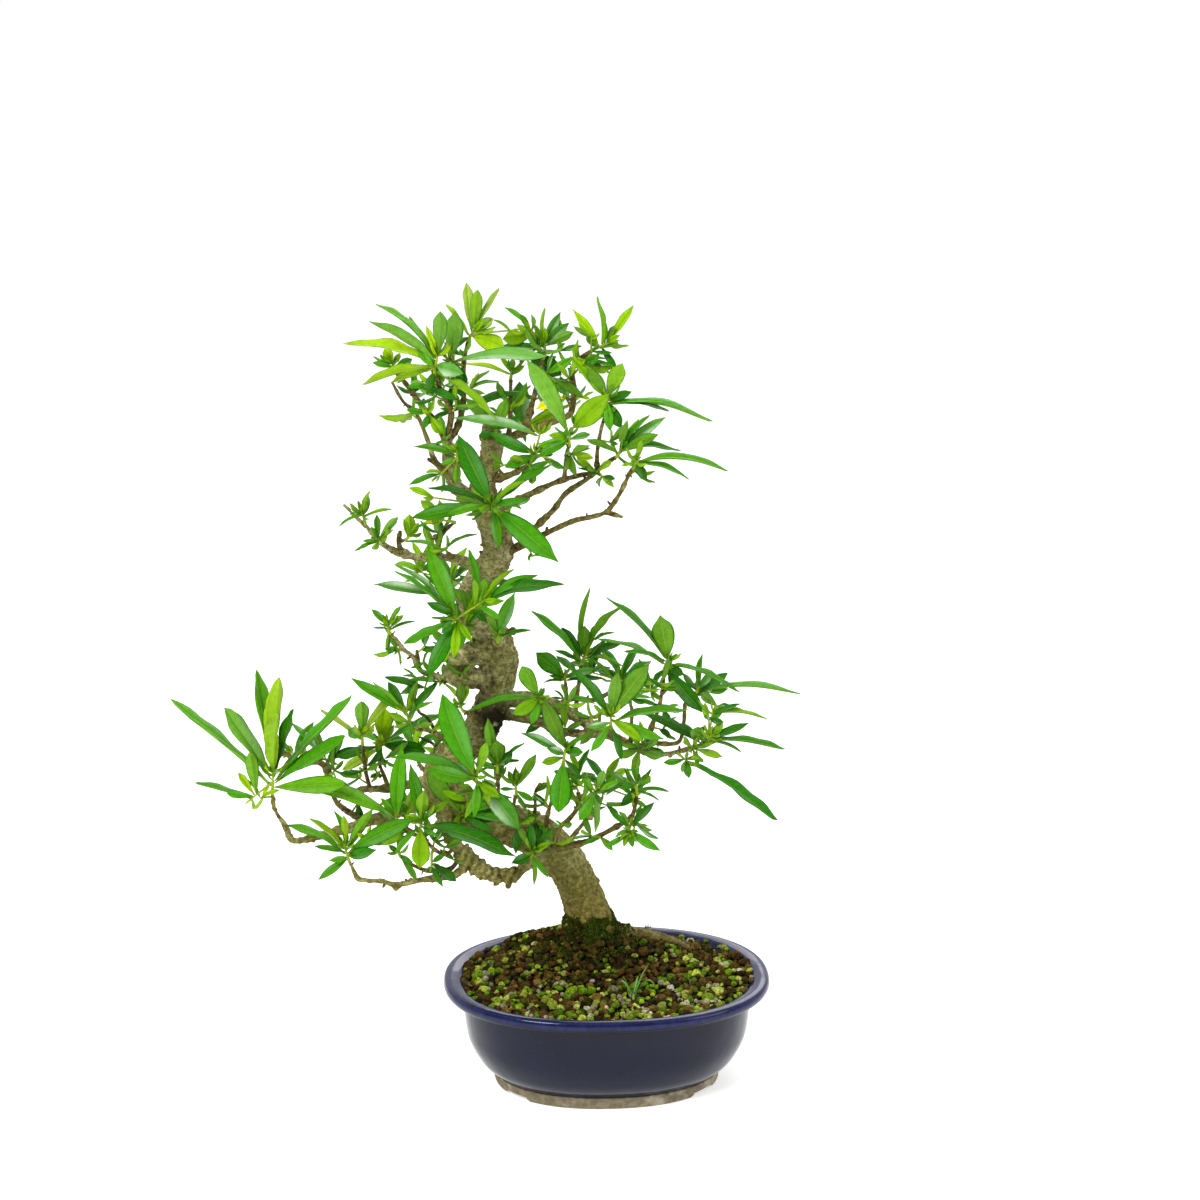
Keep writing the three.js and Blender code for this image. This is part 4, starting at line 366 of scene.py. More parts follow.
# Shoots on the far side of the crown: name after shoot_, crown, leaves, length
BACK_SHOOTS = [
    ["back_low_left", [-115, 207, 60], 5, 29],
    ["back_low_right", [0, 184, 62], 5, 28],
    ["back_mid_right", [9, 251, 58], 5, 30],
    ["back_mid_left", [-91.5, 312, 54], 5, 30],
]

# Leaves too close to others for the solids. Shoot: foot x, foot z, then each tip's x and z, seen width,
# tone and lean
MORE_LEAVES = {
    "top": [(-55, 460, [(-65.5, 466.5, 1.2, "m")])],
    "top_left": [(-104, 428, [(-86, 419.5, 5, "d", 0.1)])],
    "crown_left": [
        (-99, 438, [(-109, 450, 5, "m", 0.2)]),
        (-80, 426, [(-67.5, 437, 1.8, "m"), (-62, 430.5, 1.6, "m")]),
        (-86, 414.5, [(-106, 404, 3, "d"), (-84.5, 408, 1.5, "y")]),
    ],
    "middle_top": [
        (-36, 450, [(-66, 449, 6, "d", 0.2)]),
        (-28, 448, [(-14, 451, 3.5, "g"), (-42, 447, 3, "g"), (-28.5, 469, 5, "y")]),
        (-9, 455, [(-19.5, 462.5, 3, "g")]),
    ],
    "right_top": [
        (-12, 443, [(6, 438, 2.5, "m"), (0, 444, 1.3, "m"), (2, 435, 1.5, "g")]),
        (-9, 448, [(3, 447, 2.5, "d")]),
    ],
    "right_fan": [
        (0, 419, [(8.5, 403, 7, "d", -0.2), (2, 401, 6, "m", -0.3)]),
        (-14, 421, [(-31, 433, 6, "d")]),
        (-1, 411, [(-13, 407.5, 4, "g")]),
    ],
    "centre_back": [
        (-24, 422, [(-41, 414.5, 6, "x", 0.2)]),
        (-49, 424, [(-78, 416.5, 5, "d")]),
        (-60, 408, [(-82, 415, 3.5, "m")]),
    ],
    "centre_front": [
        (-65, 402, [(-82, 421, 6, "g"), (-49, 410, 5, "d"), (-58, 421, 7, "m"), (-74, 398, 5, "d", -0.3)]),
        (-38, 387, [(-25.5, 379, 3.5, "g", -0.3)]),
        (-33, 385, [(-51, 373, 6, "m", 0.2)]),
    ],
    "centre_bright": [(-20, 388, [(-7.5, 385.5, 4.5, "y", -0.3)])],
    "upper_front": [(-56, 357, [(-44.5, 361.5, 4, "g", -0.2)])],
    "right_mid": [
        (1, 395, [(12.5, 405.5, 5, "g")]),
        (-3, 375, [(-17, 380, 2, "d"), (5, 373, 3, "d"), (-7, 370, 2, "d")]),
        (-6, 377.5, [(-17.5, 386, 4.5, "y")]),
    ],
    "right_low": [(-44, 328, [(-46, 327, 1.5, "m")])],
    "near_s": [(-95, 331, [(-119, 336, 1.2, "m"), (-75, 341, 1, "m")])],
    "burl_front": [
        (-80, 297, [(-64, 312, 6, "m"), (-60, 300, 5, "y"), (-70, 286, 5, "m"), (-90, 308, 6, "m"),
                    (-75, 318, 5, "y")]),
        (-84, 285, [(-92, 300, 5, "m"), (-76, 306, 5, "y"), (-70, 300, 4, "m"), (-88, 270, 5, "m")]),
        (-92, 272, [(-104, 283, 5, "m"), (-99, 262, 6, "y"), (-110, 270, 4, "m"), (-86, 262, 4, "m")]),
        (-80, 277, [(-66, 285, 4, "m"), (-72, 268, 4, "y"), (-62, 276, 3, "m")]),
        (-92, 290, [(-100, 307, 5, "d", 0.1)]),
        (-90, 280, [(-97, 291, 3, "y"), (-93, 288, 3, "m")]),
        (-84, 281, [(-71, 281.5, 2.5, "d"), (-70, 295, 4, "y")]),
        (-80, 290, [(-77, 299, 3, "y"), (-82, 296, 3, "y")]),
        (-96, 250, [(-97, 262, 4, "d")]),
        (-99, 251, [(-118.5, 251.5, 3, "m")]),
    ],
    "q": [
        (-123, 271, [(-128.5, 277.5, 3, "d"), (-130, 268, 2.5, "d"), (-126, 266.5, 1.5, "m")]),
        (-109, 262, [(-117, 258.5, 2, "m")]),
    ],
    "p": [
        (-108, 247, [(-132.5, 253.5, 4.5, "d")]),
        (-113, 225, [(-124, 218, 3.5, "m")]),
        (-104, 220, [(-92.5, 224, 3, "y")]),
        (-103, 211, [(-113, 216.5, 2, "d")]),
        (-90, 210, [(-95, 213, 2.5, "m")]),
    ],
    "u": [
        (-88, 169, [(-107, 196, 11, "m", -0.2)]),
        (-87, 167, [(-52, 163, 6, "m", -0.2), (-60, 175, 5, "m", -0.25), (-68, 157, 5, "d", -0.3)]),
        (-84, 176, [(-56, 178, 5, "m", -0.1), (-100, 183, 5, "y", -0.2)]),
        (-79, 194, [(-52, 201.5, 1.5, "d")]),
        (-79, 188, [(-93, 201, 4.5, "g", -0.2)]),
        (-88, 163, [(-68, 171, 4, "m"), (-66, 164, 4, "d")]),
    ],
    "w_low": [(-92, 138, [(-85, 137.5, 3.5, "m"), (-87, 141, 3, "m")])],
    "e1": [
        (-15, 262, [(-20, 268.5, 4, "d")]),
        (-8, 276, [(5, 281, 1.5, "m"), (-2, 281, 1.5, "y")]),
        (-9, 267, [(2.5, 263.5, 1.5, "y"), (11, 260, 1, "m")]),
    ],
    "e2": [
        (-25, 240, [(-31.5, 245.5, 1.3, "m"), (-17, 242, 2.5, "m"), (-6, 236.5, 3, "m"),
                    (-36, 239.5, 2, "m")]),
    ],
    "e3": [
        (4, 251, [(-8.5, 264.5, 2.5, "m")]),
        (12, 245, [(25, 260, 8, "d", 0.1), (20, 259, 4, "y")]),
        (-9, 228.5, [(-20, 231, 2.5, "m")]),
        (14, 240, [(27, 240.5, 2, "m"), (23, 237, 3, "d"), (30, 236, 3, "m")]),
        (14, 244, [(31, 244.5, 1, "y")]),
    ],
    "e4": [
        (33, 246, [(24, 253.5, 2.5, "d")]),
        (38, 259, [(42, 242, 6, "m", 0.1)]),
        (33, 233, [(37.5, 224, 5, "m", -0.1)]),
        (32, 221, [(38.5, 217, 4, "d")]),
    ],
    "e5": [(54, 246, [(62, 256, 5, "g", 0.2)]), (66, 235, [(56, 244, 6, "g")])],
    "e7": [
        (57, 212, [(20, 231, 6, "d", 0.15)]),
        (61, 227, [(70, 225, 4, "d"), (69, 231, 3, "m")]),
        (52, 220, [(42, 224.5, 3, "d")]),
    ],
    "e8": [(25, 210, [(35, 206, 3.5, "m")])],
    "f1": [(-22, 188, [(-13.5, 184.5, 1.5, "y")])],
    "f3": [
        (-1, 173.5, [(7.5, 166, 3.5, "m")]),
        (-18, 185, [(-13.5, 188, 3, "y"), (-26, 185, 3, "y"), (-20, 193, 3, "m")]),
    ],
    "f4": [(13, 187, [(-4, 184, 2.5, "y"), (-1, 179.5, 2.5, "y")])],
    "f5": [
        (16, 160, [(20.5, 173, 4, "d")]),
        (-9, 153.5, [(-22.5, 151.5, 2, "g")]),
        (-4, 153, [(-14, 149, 3, "m")]),
        (14, 157, [(10.5, 155.5, 1.5, "y")]),
    ],
    "f6": [
        (-42, 163, [(-43, 150.5, 8, "d", -0.3), (-35, 153, 4, "m", -0.2)]),
        (-52, 161, [(-55, 142, 6, "d", -0.2), (-40, 168, 4, "m", -0.1)]),
        (-43, 181, [(-34, 170, 3.5, "d")])],
    "k": [(-27, 161, [(-31, 164, 1.5, "m"), (-25, 163.5, 1.2, "y")])],
    "l": [(-207, 178, [(-196, 183, 2.5, "y"), (-201.5, 189, 2.5, "y")])],
    "q1": [
        (-145, 195, [(-160.5, 193.5, 3.5, "d")]),
        (-137, 194, [(-142, 190.5, 2.5, "m"), (-135.5, 190, 2.5, "m")]),
    ],
    "q3": [(-183, 205, [(-183, 210.5, 3, "d"), (-170, 203, 4, "d")])],
    "v_back": [(-150, 174, [(-149, 160.5, 5, "d")])],
    "n1": [(-143, 150, [(-151, 155.5, 3, "y")])],
}

# The middle of the plant's depths, and how far its given depths are spread from there
MIDDLE_DEPTH = 16
DEPTH_SPREAD = 1.5
# The height and the radius of the trunk's peg in the soil
PEG_FOOT = (52, 12)
# Between a part and the one that carries it
GAP = 0.35
ANY_TURN = (0, 6.28)
UP = Vector((0, 0, 1))


# Places

def seen(x, z, depth):
    sight_line = Vector((x, 0, z)) - EYE
    return TURN @ (EYE + sight_line * ((depth - EYE.y) / -EYE.y))


def spread_depth(depth):
    return MIDDLE_DEPTH + DEPTH_SPREAD * (depth - MIDDLE_DEPTH)


def in_row_frame(points):
    return (np.asarray(points, dtype=float) + POT_CENTRE) * MM


def clamp(value, low=0.0, high=1.0):
    return min(max(value, low), high)


def blend(a, b, share):
    return a + (b - a) * clamp(share)


def any_way_out(axis, rng):
    """A direction square to the axis, turned any way round it."""
    return Matrix.Rotation(rng.uniform(*ANY_TURN), 3, axis) @ axis.orthogonal().normalized()


# Meshes

class Shape:
    """Points, faces and a tint for each point, gathered before they become one piece."""

    def __init__(self):
        self.points, self.faces, self.tints = [], [], []

    def add(self, points, faces, tints=()):
        first = len(self.points)
        self.points.extend(points)
        self.faces.extend(tuple(first + i for i in face) for face in faces)
        self.tints.extend(tints)


def new_piece(name, shape, material, node, smooth=True):
    """A piece with its place in its mesh."""
    mesh = bpy.data.meshes.new(name)
    mesh.from_pydata(in_row_frame(shape.points).tolist(), [], shape.faces)
    mesh.update()
    mesh.polygons.foreach_set("use_smooth", [smooth] * len(mesh.polygons))
    piece = bpy.data.objects.new(name, mesh)
    scene.collection.objects.link(piece)
    mesh.materials.append(material)
    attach(piece, "root")
    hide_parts(node)
    if shape.tints:
        paint(piece, shape.tints)
    return piece


def paint(piece, tints):
    layer = piece.data.color_attributes.new("tint", "FLOAT_COLOR", "POINT")
    flat = np.ones((len(tints), 4), dtype=np.float32)
    flat[:, :3] = tints
    layer.data.foreach_set("color", flat.ravel())


def vertices_of(mesh, what="co"):
    values = np.empty(len(mesh.vertices) * 3)
    mesh.vertices.foreach_get(what, values)
    return values.reshape(-1, 3)


def places_on(mesh):
    """Where a mesh's vertices are, in millimetres from the pot's centre."""
    return vertices_of(mesh) / MM - POT_CENTRE


def ring_faces(rings, sides, inside_out=False):
    """The quads between rings of points."""
    faces = []
    for i in range(rings - 1):
        for k in range(sides):
            a, b = i * sides + k, i * sides + (k + 1) % sides
            faces.append((a, b, b + sides, a + sides) if inside_out else (a, a + sides, b + sides, b))
    return faces


def tube_faces(rings, sides, inside_out=False):
    """Rings closed by two more points, one beyond the first ring and one beyond the last."""
    faces = ring_faces(rings, sides, inside_out)
    first, last, top = rings * sides, rings * sides + 1, (rings - 1) * sides
    for k in range(sides):
        right = (k + 1) % sides
        ends = [(first, k, right), (last, top + right, top + k)]
        faces.extend([end[::-1] for end in ends] if inside_out else ends)
    return faces


def ring_frames(points):
    """Frames along a line that turn as little as they can from one point to the next."""
    frames = []
    side = None
    for i in range(len(points)):
        along = (points[min(i + 1, len(points) - 1)] - points[max(i - 1, 0)]).normalized()
        if side is None:
            side = Vector((1, 0, 0)) if abs(along.x) < 0.7 else Vector((0, 1, 0))
        side = (side - along * side.dot(along)).normalized()
        frames.append((side, side.cross(along), along))
    return frames


def smooth_line(points, radii, step):
    """A smooth curve through points with about that step, its radii, and where it is between the points."""
    line, widths, places = [], [], []
    last = len(points) - 1
    for i in range(last):
        before, after = points[max(i - 1, 0)], points[min(i + 2, last)]
        start, end = points[i], points[i + 1]
        pieces = max(1, round((end - start).length / step))
        for k in range(pieces):
            t = k / pieces
            a = 2 * start
            b = (end - before) * t
            c = (2 * before - 5 * start + 4 * end - after) * t**2
            d = (3 * start - before - 3 * end + after) * t**3
            line.append((a + b + c + d) / 2)
            ease = t * t * (3 - 2 * t)
            widths.append(radii[i] + (radii[i + 1] - radii[i]) * ease)
            places.append(i + t)
    return line + [points[last].copy()], widths + [radii[last]], places + [last]


# How far a tube's ends bulge, as a share of its radius there
START_BULGE, END_BULGE = 0.4, 0.5


def sweep(points, radii, sides, relief=None):
    """A closed tube. relief(angle, ring) scales the radius there."""
    frames = ring_frames(points)
    verts = []
    for i, (point, radius) in enumerate(zip(points, radii)):
        side, other, _ = frames[i]
        for k in range(sides):
            angle = 2 * math.pi * k / sides
            reach = radius * (relief(angle, i) if relief else 1)
            verts.append(point + side * (math.cos(angle) * reach) + other * (math.sin(angle) * reach))
    verts.append(points[0] - frames[0][2] * radii[0] * START_BULGE)
    verts.append(points[-1] + frames[-1][2] * radii[-1] * END_BULGE)
    return verts, tube_faces(len(points), sides)


# Materials

class Nodes:
    """Builds a node tree. What goes into a socket is another node's output, a number or a colour."""

    def __init__(self, tree):
        self.tree = tree

    def feed(self, socket, value):
        if isinstance(value, bpy.types.NodeSocket):
            self.tree.links.new(value, socket)
        elif isinstance(value, tuple) and len(value) < len(socket.default_value):
            socket.default_value = (*value, 1)
        else:
            socket.default_value = value

    def node(self, kind, inputs, **settings):
        made = self.tree.nodes.new(kind)
        for key, value in settings.items():
            setattr(made, key, value)
        for key, value in inputs.items():
            self.feed(made.inputs[key], value)
        return made

    def coordinates(self, kind="Object"):
        return self.node("ShaderNodeTexCoord", {}).outputs[kind]

    def split(self, vector):
        return self.node("ShaderNodeSeparateXYZ", {0: vector}).outputs

    def ramp(self, value, low, high, start=0.0, end=1.0):
        """Goes smoothly from start to end while the value goes from low to high."""
        inputs = {"Value": value, "From Min": low, "From Max": high, "To Min": start, "To Max": end}
        return self.node("ShaderNodeMapRange", inputs, interpolation_type="SMOOTHSTEP").outputs["Result"]

    def math(self, operation, a, b=0.0):
        return self.node("ShaderNodeMath", {0: a, 1: b}, operation=operation).outputs[0]

    def times(self, a, b):
        return self.math("MULTIPLY", a, b)

    def minus(self, a, b):
        return self.math("SUBTRACT", a, b)


class Material(Nodes):
    def __init__(self, name, roughness, specular=0.5, coat=0.0, coat_roughness=0.1):
        self.material = bpy.data.materials.new(name)
        self.material.use_nodes = True
        super().__init__(self.material.node_tree)
        self.shader = self.tree.nodes["Principled BSDF"]
        self.surface({"Roughness": roughness, "Specular IOR Level": specular, "Coat Weight": coat,
                      "Coat Roughness": coat_roughness})

    def surface(self, inputs):
        for key, value in inputs.items():
            self.feed(self.shader.inputs[key], value)

    def colour(self, value):
        self.surface({"Base Color": value})

    def attribute(self, name, output="Color"):
        return self.node("ShaderNodeAttribute", {}, attribute_name=name).outputs[output]

    def noise(self, scale, detail=3.0, roughness=0.55, place=None, distortion=0.0):
        inputs = {"Vector": place or self.coordinates(), "Scale": scale, "Detail": detail,
                  "Roughness": roughness, "Distortion": distortion}
        return self.node("ShaderNodeTexNoise", inputs).outputs["Fac"]

    def cells(self, scale):
        inputs = {"Vector": self.coordinates(), "Scale": scale}
        return self.node("ShaderNodeTexVoronoi", inputs).outputs["Distance"]

    def stretched(self, *scales):
        inputs = {"Vector": self.coordinates(), "Scale": scales}
        return self.node("ShaderNodeMapping", inputs).outputs["Vector"]

    def mix(self, amount, a, b, blend_type="MIX"):
        inputs = {"Factor": amount, "A": a, "B": b}
        return self.node("ShaderNodeMix", inputs, data_type="RGBA", blend_type=blend_type).outputs["Result"]

    def filtered(self, tint, *colour):
        """The tint as it looks through a filter of that colour."""
        return self.mix(1.0, tint, linear(*colour), "MULTIPLY")

    def bump(self, *layers):
        """Layers of (height, distance in mm)."""
        under = {}
        for height, distance in layers:
            inputs = {"Distance": distance * MM, "Strength": 1.0, "Height": height, **under}
            under = {"Normal": self.node("ShaderNodeBump", inputs).outputs["Normal"]}
        self.surface(under)


def linear(*screen_colour):
    """A colour given as it looks on a screen, 0 to 255."""
    channels = []
    for value in screen_colour:
        share = value / 255
        channels.append(share / 12.92 if share <= 0.04045 else ((share + 0.055) / 1.055) ** 2.4)
    return tuple(channels)


def palette(*screen_colours):
    return [np.array(linear(*colour)) for colour in screen_colours]


VEINS = 9.0
VEIN_LEAN, VEIN_CURVE = 0.16, 1.25


def make_leaf_material(roughness):
    n = Material("leaf", roughness, specular=0.05, coat=0.03, coat_roughness=0.25)
    tint = n.attribute("tint")
    place = n.split(n.node("ShaderNodeUVMap", {}, uv_map="leaf_map").outputs["UV"])
    across = n.math("ABSOLUTE", n.minus(n.times(place["X"], 2.0), 1.0))
    lean = n.times(n.math("POWER", across, VEIN_CURVE), VEIN_LEAN)
    phase = n.math("FRACT", n.times(n.minus(place["Y"], lean), VEINS))
    from_vein = n.math("ABSOLUTE", n.minus(phase, 0.5))
    midrib = n.ramp(across, 0.1, 0.03)
    lighter = n.mix(0.4, tint, linear(176, 208, 56))
    fleck = n.noise(1300, 2)
    skin = n.mix(n.ramp(n.noise(260, 3), 0.35, 0.75, 0.0, 0.4), tint, n.filtered(tint, 176, 190, 90))
    skin = n.mix(n.ramp(fleck, 0.3, 0.7, 0.0, 0.14), skin, lighter)
    skin = n.mix(n.times(n.ramp(from_vein, 0.42, 0.5), 0.22), skin, lighter)
    n.colour(n.mix(n.times(midrib, 0.5), skin, lighter))
    n.surface({"Roughness": n.ramp(n.noise(500, 2), 0.3, 0.7, roughness - 0.06, roughness + 0.1)})
    between = n.minus(1.0, n.math("POWER", n.times(from_vein, 2.0), 4.0))
    n.bump((between, 0.16), (n.minus(1.0, midrib), 0.2), (fleck, 0.03))
    return n.material


def make_stem_material():
    n = Material("green_stem", 0.45)
    patches = n.ramp(n.noise(420, 3), 0.3, 0.7, 0.0, 0.5)
    n.colour(n.mix(patches, n.attribute("tint"), linear(120, 118, 60)))
    n.bump((n.noise(900, 3), 0.12))
    return n.material


# Below the first height the bark is young and even, above the second it is old and cracked
YOUNG_BARK, OLD_BARK = 165 * MM, 215 * MM


def make_bark_material(name, grain_mm):
    n = Material(name, 0.86, specular=0.1)
    tint = n.attribute("tint")
    bands = n.noise(1.0, 5, 0.6, n.stretched(150, 150, 700), 0.8)
    cracks = n.noise(1.0, 4, 0.65, n.stretched(520, 520, 190), 0.5)
    mottle = n.noise(380, 6, 0.72)
    patches = n.noise(120, 4, 0.62)
    broad = n.noise(46, 3, 0.5)
    specks = n.noise(1300, 3, 0.6)
    pits = n.cells(360)
    old = n.ramp(n.split(n.coordinates())["Z"], YOUNG_BARK, OLD_BARK, 0.3, 1.0)
    skin = n.mix(n.ramp(mottle, 0.38, 0.6), n.filtered(tint, 180, 174, 140), tint)
    skin = n.mix(n.ramp(bands, 0.5, 0.62, 0.0, 0.5), skin, n.filtered(tint, 146, 134, 100))
    # A mask, where its colour starts and is strongest, how strong it gets, and the colour
    for mask, low, high, most, colour in (
        (patches, 0.57, 0.7, 0.6, (92, 78, 46)),
        (patches, 0.42, 0.28, 0.6, (188, 184, 134)),
        (broad, 0.52, 0.66, 0.35, (108, 106, 52)),
        (specks, 0.57, 0.68, 0.7, (58, 48, 26)),
        (cracks, 0.6, 0.7, 0.6, (52, 42, 22)),
        (pits, 0.24, 0.1, 0.9, (44, 36, 18)),
    ):
        amount = n.ramp(mask, low, high, 0.0, most)
        skin = n.mix(amount if mask is broad else n.times(amount, old), skin, linear(*colour))
    n.surface({"Base Color": skin, "Roughness": n.ramp(patches, 0.3, 0.7, 0.76, 0.94)})
    n.bump((mottle, grain_mm), (pits, grain_mm * 0.6), (bands, grain_mm * 0.7), (specks, grain_mm * 0.3))
    return n.material


def make_grain_material():
    n = Material("granules", 0.9, specular=0.08)
    tint = n.attribute("tint")
    mottle = n.noise(700, 4, 0.65)
    pits = n.cells(1500)
    skin = n.mix(n.ramp(mottle, 0.35, 0.65), n.filtered(tint, 160, 146, 126), tint)
    n.colour(n.mix(n.ramp(pits, 0.22, 0.05, 0.0, 0.45), skin, n.filtered(tint, 120, 110, 92)))
    n.bump((mottle, 0.8), (pits, 0.3))
    return n.material


def make_moss_material():
    n = Material("moss", 0.85, specular=0.06)
    patches = n.ramp(n.noise(900, 3), 0.35, 0.65, 0.0, 0.5)
    n.colour(n.mix(patches, n.attribute("tint"), linear(20, 44, 8)))
    n.bump((n.noise(1800, 2), 0.15))
    return n.material


# The glaze ends above the foot, which is bare clay, in a wandering line
GLAZE_END, GLAZE_WANDER = 7.3, 1.2
GLAZE_ROUGHNESS, CLAY_ROUGHNESS = 0.16, 0.88
GLAZE_COAT = 0.2
# Heights between which the body turns darker, the lip starts, and the shade under it starts and ends
BODY_SHADE = 8 * MM, 45 * MM
LIP_START = 57.5 * MM, 61.2 * MM
SHADE_START = 55.5 * MM, 57.5 * MM
SHADE_END = 61.4 * MM, 59.6 * MM


def make_pot_material():
    n = Material("glaze", 0.18, specular=0.16, coat=GLAZE_COAT, coat_roughness=0.05)
    height = n.split(n.coordinates())["Z"]
    cloud = n.noise(28, 4, 0.6)
    fine = n.noise(240, 4, 0.6)

    def between(value, low, high, first, second):
        return n.mix(n.ramp(value, low, high), linear(*first), linear(*second))

    deep = between(cloud, 0.35, 0.68, (4, 8, 32), (8, 14, 42))
    lower = between(cloud, 0.3, 0.7, (5, 11, 30), (9, 17, 40))
    lip = between(fine, 0.3, 0.7, (14, 18, 58), (30, 36, 82))
    body = n.mix(n.ramp(height, *BODY_SHADE), lower, deep)
    body = n.mix(n.ramp(height, *LIP_START, 0.0, 0.85), body, lip)
    # Painted shadow: a nearly black band under the lip's overhang, where the coat is also left off
    under_lip_shadow = n.times(n.ramp(height, *SHADE_START), n.ramp(height, *SHADE_END))
    body = n.mix(n.times(under_lip_shadow, 0.95), body, linear(1, 2, 5))
    body = n.mix(n.ramp(fine, 0.6, 0.78, 0.0, 0.16), body, linear(46, 48, 76))
    clay = between(fine, 0.3, 0.7, (104, 96, 76), (134, 124, 100))
    clay = n.mix(n.ramp(n.noise(60, 3), 0.56, 0.7, 0.0, 0.6), clay, linear(176, 166, 148))
    line = n.math("ADD", height, n.times(n.minus(n.noise(70, 2), 0.5), GLAZE_WANDER * MM))
    glazed = n.ramp(line, (GLAZE_END - 0.35) * MM, (GLAZE_END + 0.15) * MM)
    glazed = n.times(glazed, n.attribute("glazed", "Fac"))
    n.surface({
        "Base Color": n.mix(glazed, clay, body),
        "Roughness": n.ramp(glazed, 0.0, 1.0, CLAY_ROUGHNESS, GLAZE_ROUGHNESS),
        "Coat Weight": n.times(n.times(glazed, n.minus(1.0, under_lip_shadow)), GLAZE_COAT),
    })
    n.bump((n.noise(55, 2), 0.5), (n.times(n.minus(1.0, glazed), fine), 0.5), (glazed, 0.25))
    return n.material


def make_plastic_material():
    n = Material("mesh_plastic", 0.5)
    n.colour(n.mix(n.ramp(n.noise(300, 3), 0.4, 0.7), linear(34, 34, 34), linear(62, 58, 52)))
    n.bump((n.noise(800, 2), 0.1))
    return n.material


def make_floor_material():
    n = Material("floor", 0.8, specular=0.1)
    n.surface({"Emission Color": (1, 1, 1), "Emission Strength": 0.42})
    n.colour(n.mix(n.ramp(n.noise(6, 2), 0.3, 0.7), (0.93, 0.93, 0.93), (0.95, 0.95, 0.95)))
    return n.material


leaf_material = make_leaf_material(0.38)
stem_material = make_stem_material()
bark_material = make_bark_material("bark", 0.7)
twig_material = make_bark_material("twig_bark", 0.4)
grain_material = make_grain_material()
moss_material = make_moss_material()
pot_material = make_pot_material()
plastic_material = make_plastic_material()


# Pot

DEPTH_TO_LENGTH = 0.78
OVAL_POWER = 2.25
FLOOR_TOP = 12
DRAIN_RADIUS = 7
DRAIN_X = 38
NOTCH_X, NOTCH_WIDTH, NOTCH_HEIGHT, NOTCH_ROUND = 56, 14, 2.6, 1.5
# Half length, height, and how round the corner is
POT_PROFILE = [
    (61, 5, 0.8), (62, 0.2, 0.8), (69, 0.2, 0.9), (69.6, 6.7, 0.4), (69.0, 7.4, 0.3), (78, 14.5, 7),
    (85.5, 28, 12), (87.6, 44, 8), (87.8, 56.4, 1.4), (91.5, 58.2, 2.2), (98.2, 58.6, 2.6),
    (100, 62, 1.9), (98.8, 65.4, 1.6), (95, 66, 1.6), (89, 64.5, 2.5), (84, 58, 4), (82, 34, 12),
    (77, 17, 6), (66, FLOOR_TOP, 3),
]
POT_SIDES = 168
POT_STEP = 5
CORNER_BENDS = 5
# The inner wall's heights and half lengths, and where the clay is bare: inside below one height and
# underneath within the foot
INNER_WALL = [12, 17, 34, 58], [66, 77, 82, 84]
BARE_INSIDE_BELOW = 50
BARE_FOOT_HEIGHT, BARE_FOOT_LENGTH = 6, 66
SHARP_FROM = math.radians(50)


def oval_factor(angle):
    cosine = abs(math.cos(angle)) ** OVAL_POWER
    sine = abs(math.sin(angle)) ** OVAL_POWER
    return (cosine + sine) ** (-1 / OVAL_POWER)


def oval_ring(half_length, sides):
    """Places round an oval of that half length."""
    ring = []
    for k in range(sides):
        angle = 2 * math.pi * k / sides
        reach = half_length * oval_factor(angle)
        ring.append((reach * math.cos(angle), reach * math.sin(angle) * DEPTH_TO_LENGTH))
    return ring


def rounded_profile(corners):
    """The profile with each corner rounded, from the middle underneath to the middle of the floor."""
    places = [Vector(c[:2]) for c in corners]
    places = [Vector((0, places[0].y))] + places + [Vector((0, places[-1].y))]
    line = [places[0]]
    for i, (_, _, radius) in enumerate(corners, start=1):
        before, here, after = places[i - 1], places[i], places[i + 1]
        reach = min(radius, 0.45 * (before - here).length, 0.45 * (after - here).length)
        start = here + (before - here).normalized() * reach
        end = here + (after - here).normalized() * reach
        for k in range(CORNER_BENDS + 1):
            t = k / CORNER_BENDS
            line.append(start * (1 - t) ** 2 + here * 2 * t * (1 - t) + end * t**2)
    line.append(places[-1])
    filled = [line[0]]
    for point in line[1:]:
        steps = max(1, math.ceil((point - filled[-1]).length / POT_STEP))
        start = filled[-1].copy()
        filled.extend(start.lerp(point, k / steps) for k in range(1, steps + 1))
    return filled


def oval_shell(profile, sides):
    shell = Shape()
    for half_length, z in profile[1:-1]:
        shell.points.extend((x, y, z) for x, y in oval_ring(half_length, sides))
    shell.points.extend((0, 0, profile[end][1]) for end in (0, -1))
    shell.faces = tube_faces(len(profile) - 2, sides, inside_out=True)
    return shell


def bake_modifiers(piece):
    graph = bpy.context.evaluated_depsgraph_get()
    mesh = bpy.data.meshes.new_from_object(piece.evaluated_get(graph))
    old = piece.data
    piece.modifiers.clear()
    piece.data = mesh
    bpy.data.meshes.remove(old)
    mesh.name = piece.name
    mesh.polygons.foreach_set("use_smooth", [True] * len(mesh.polygons))


def cut(piece, cutters):
    """Takes the cutters out of the piece and deletes them."""
    for cutter in cutters:
        step = piece.modifiers.new("cut", "BOOLEAN")
        step.operation = "DIFFERENCE"
        step.solver = "EXACT"
        step.object = cutter
    bake_modifiers(piece)
    for cutter in cutters:
        mesh = cutter.data
        bpy.data.objects.remove(cutter)
        bpy.data.meshes.remove(mesh)


def make_cutter(build, x, z):
    """What build(bm, place) makes at a place in the pot's middle plane."""
    bm = bmesh.new()
    build(bm, Matrix.Translation(Vector(in_row_frame([x, 0, z]).tolist())))
    mesh = bpy.data.meshes.new("cutter")
    bm.to_mesh(mesh)
    bm.free()
    made = bpy.data.objects.new("cutter", mesh)
    scene.collection.objects.link(made)
    return made


def build_drain(bm, place):
    radius = DRAIN_RADIUS * MM
    bmesh.ops.create_cone(bm, cap_ends=True, segments=40, radius1=radius, radius2=radius, depth=20 * MM,
                          matrix=place)


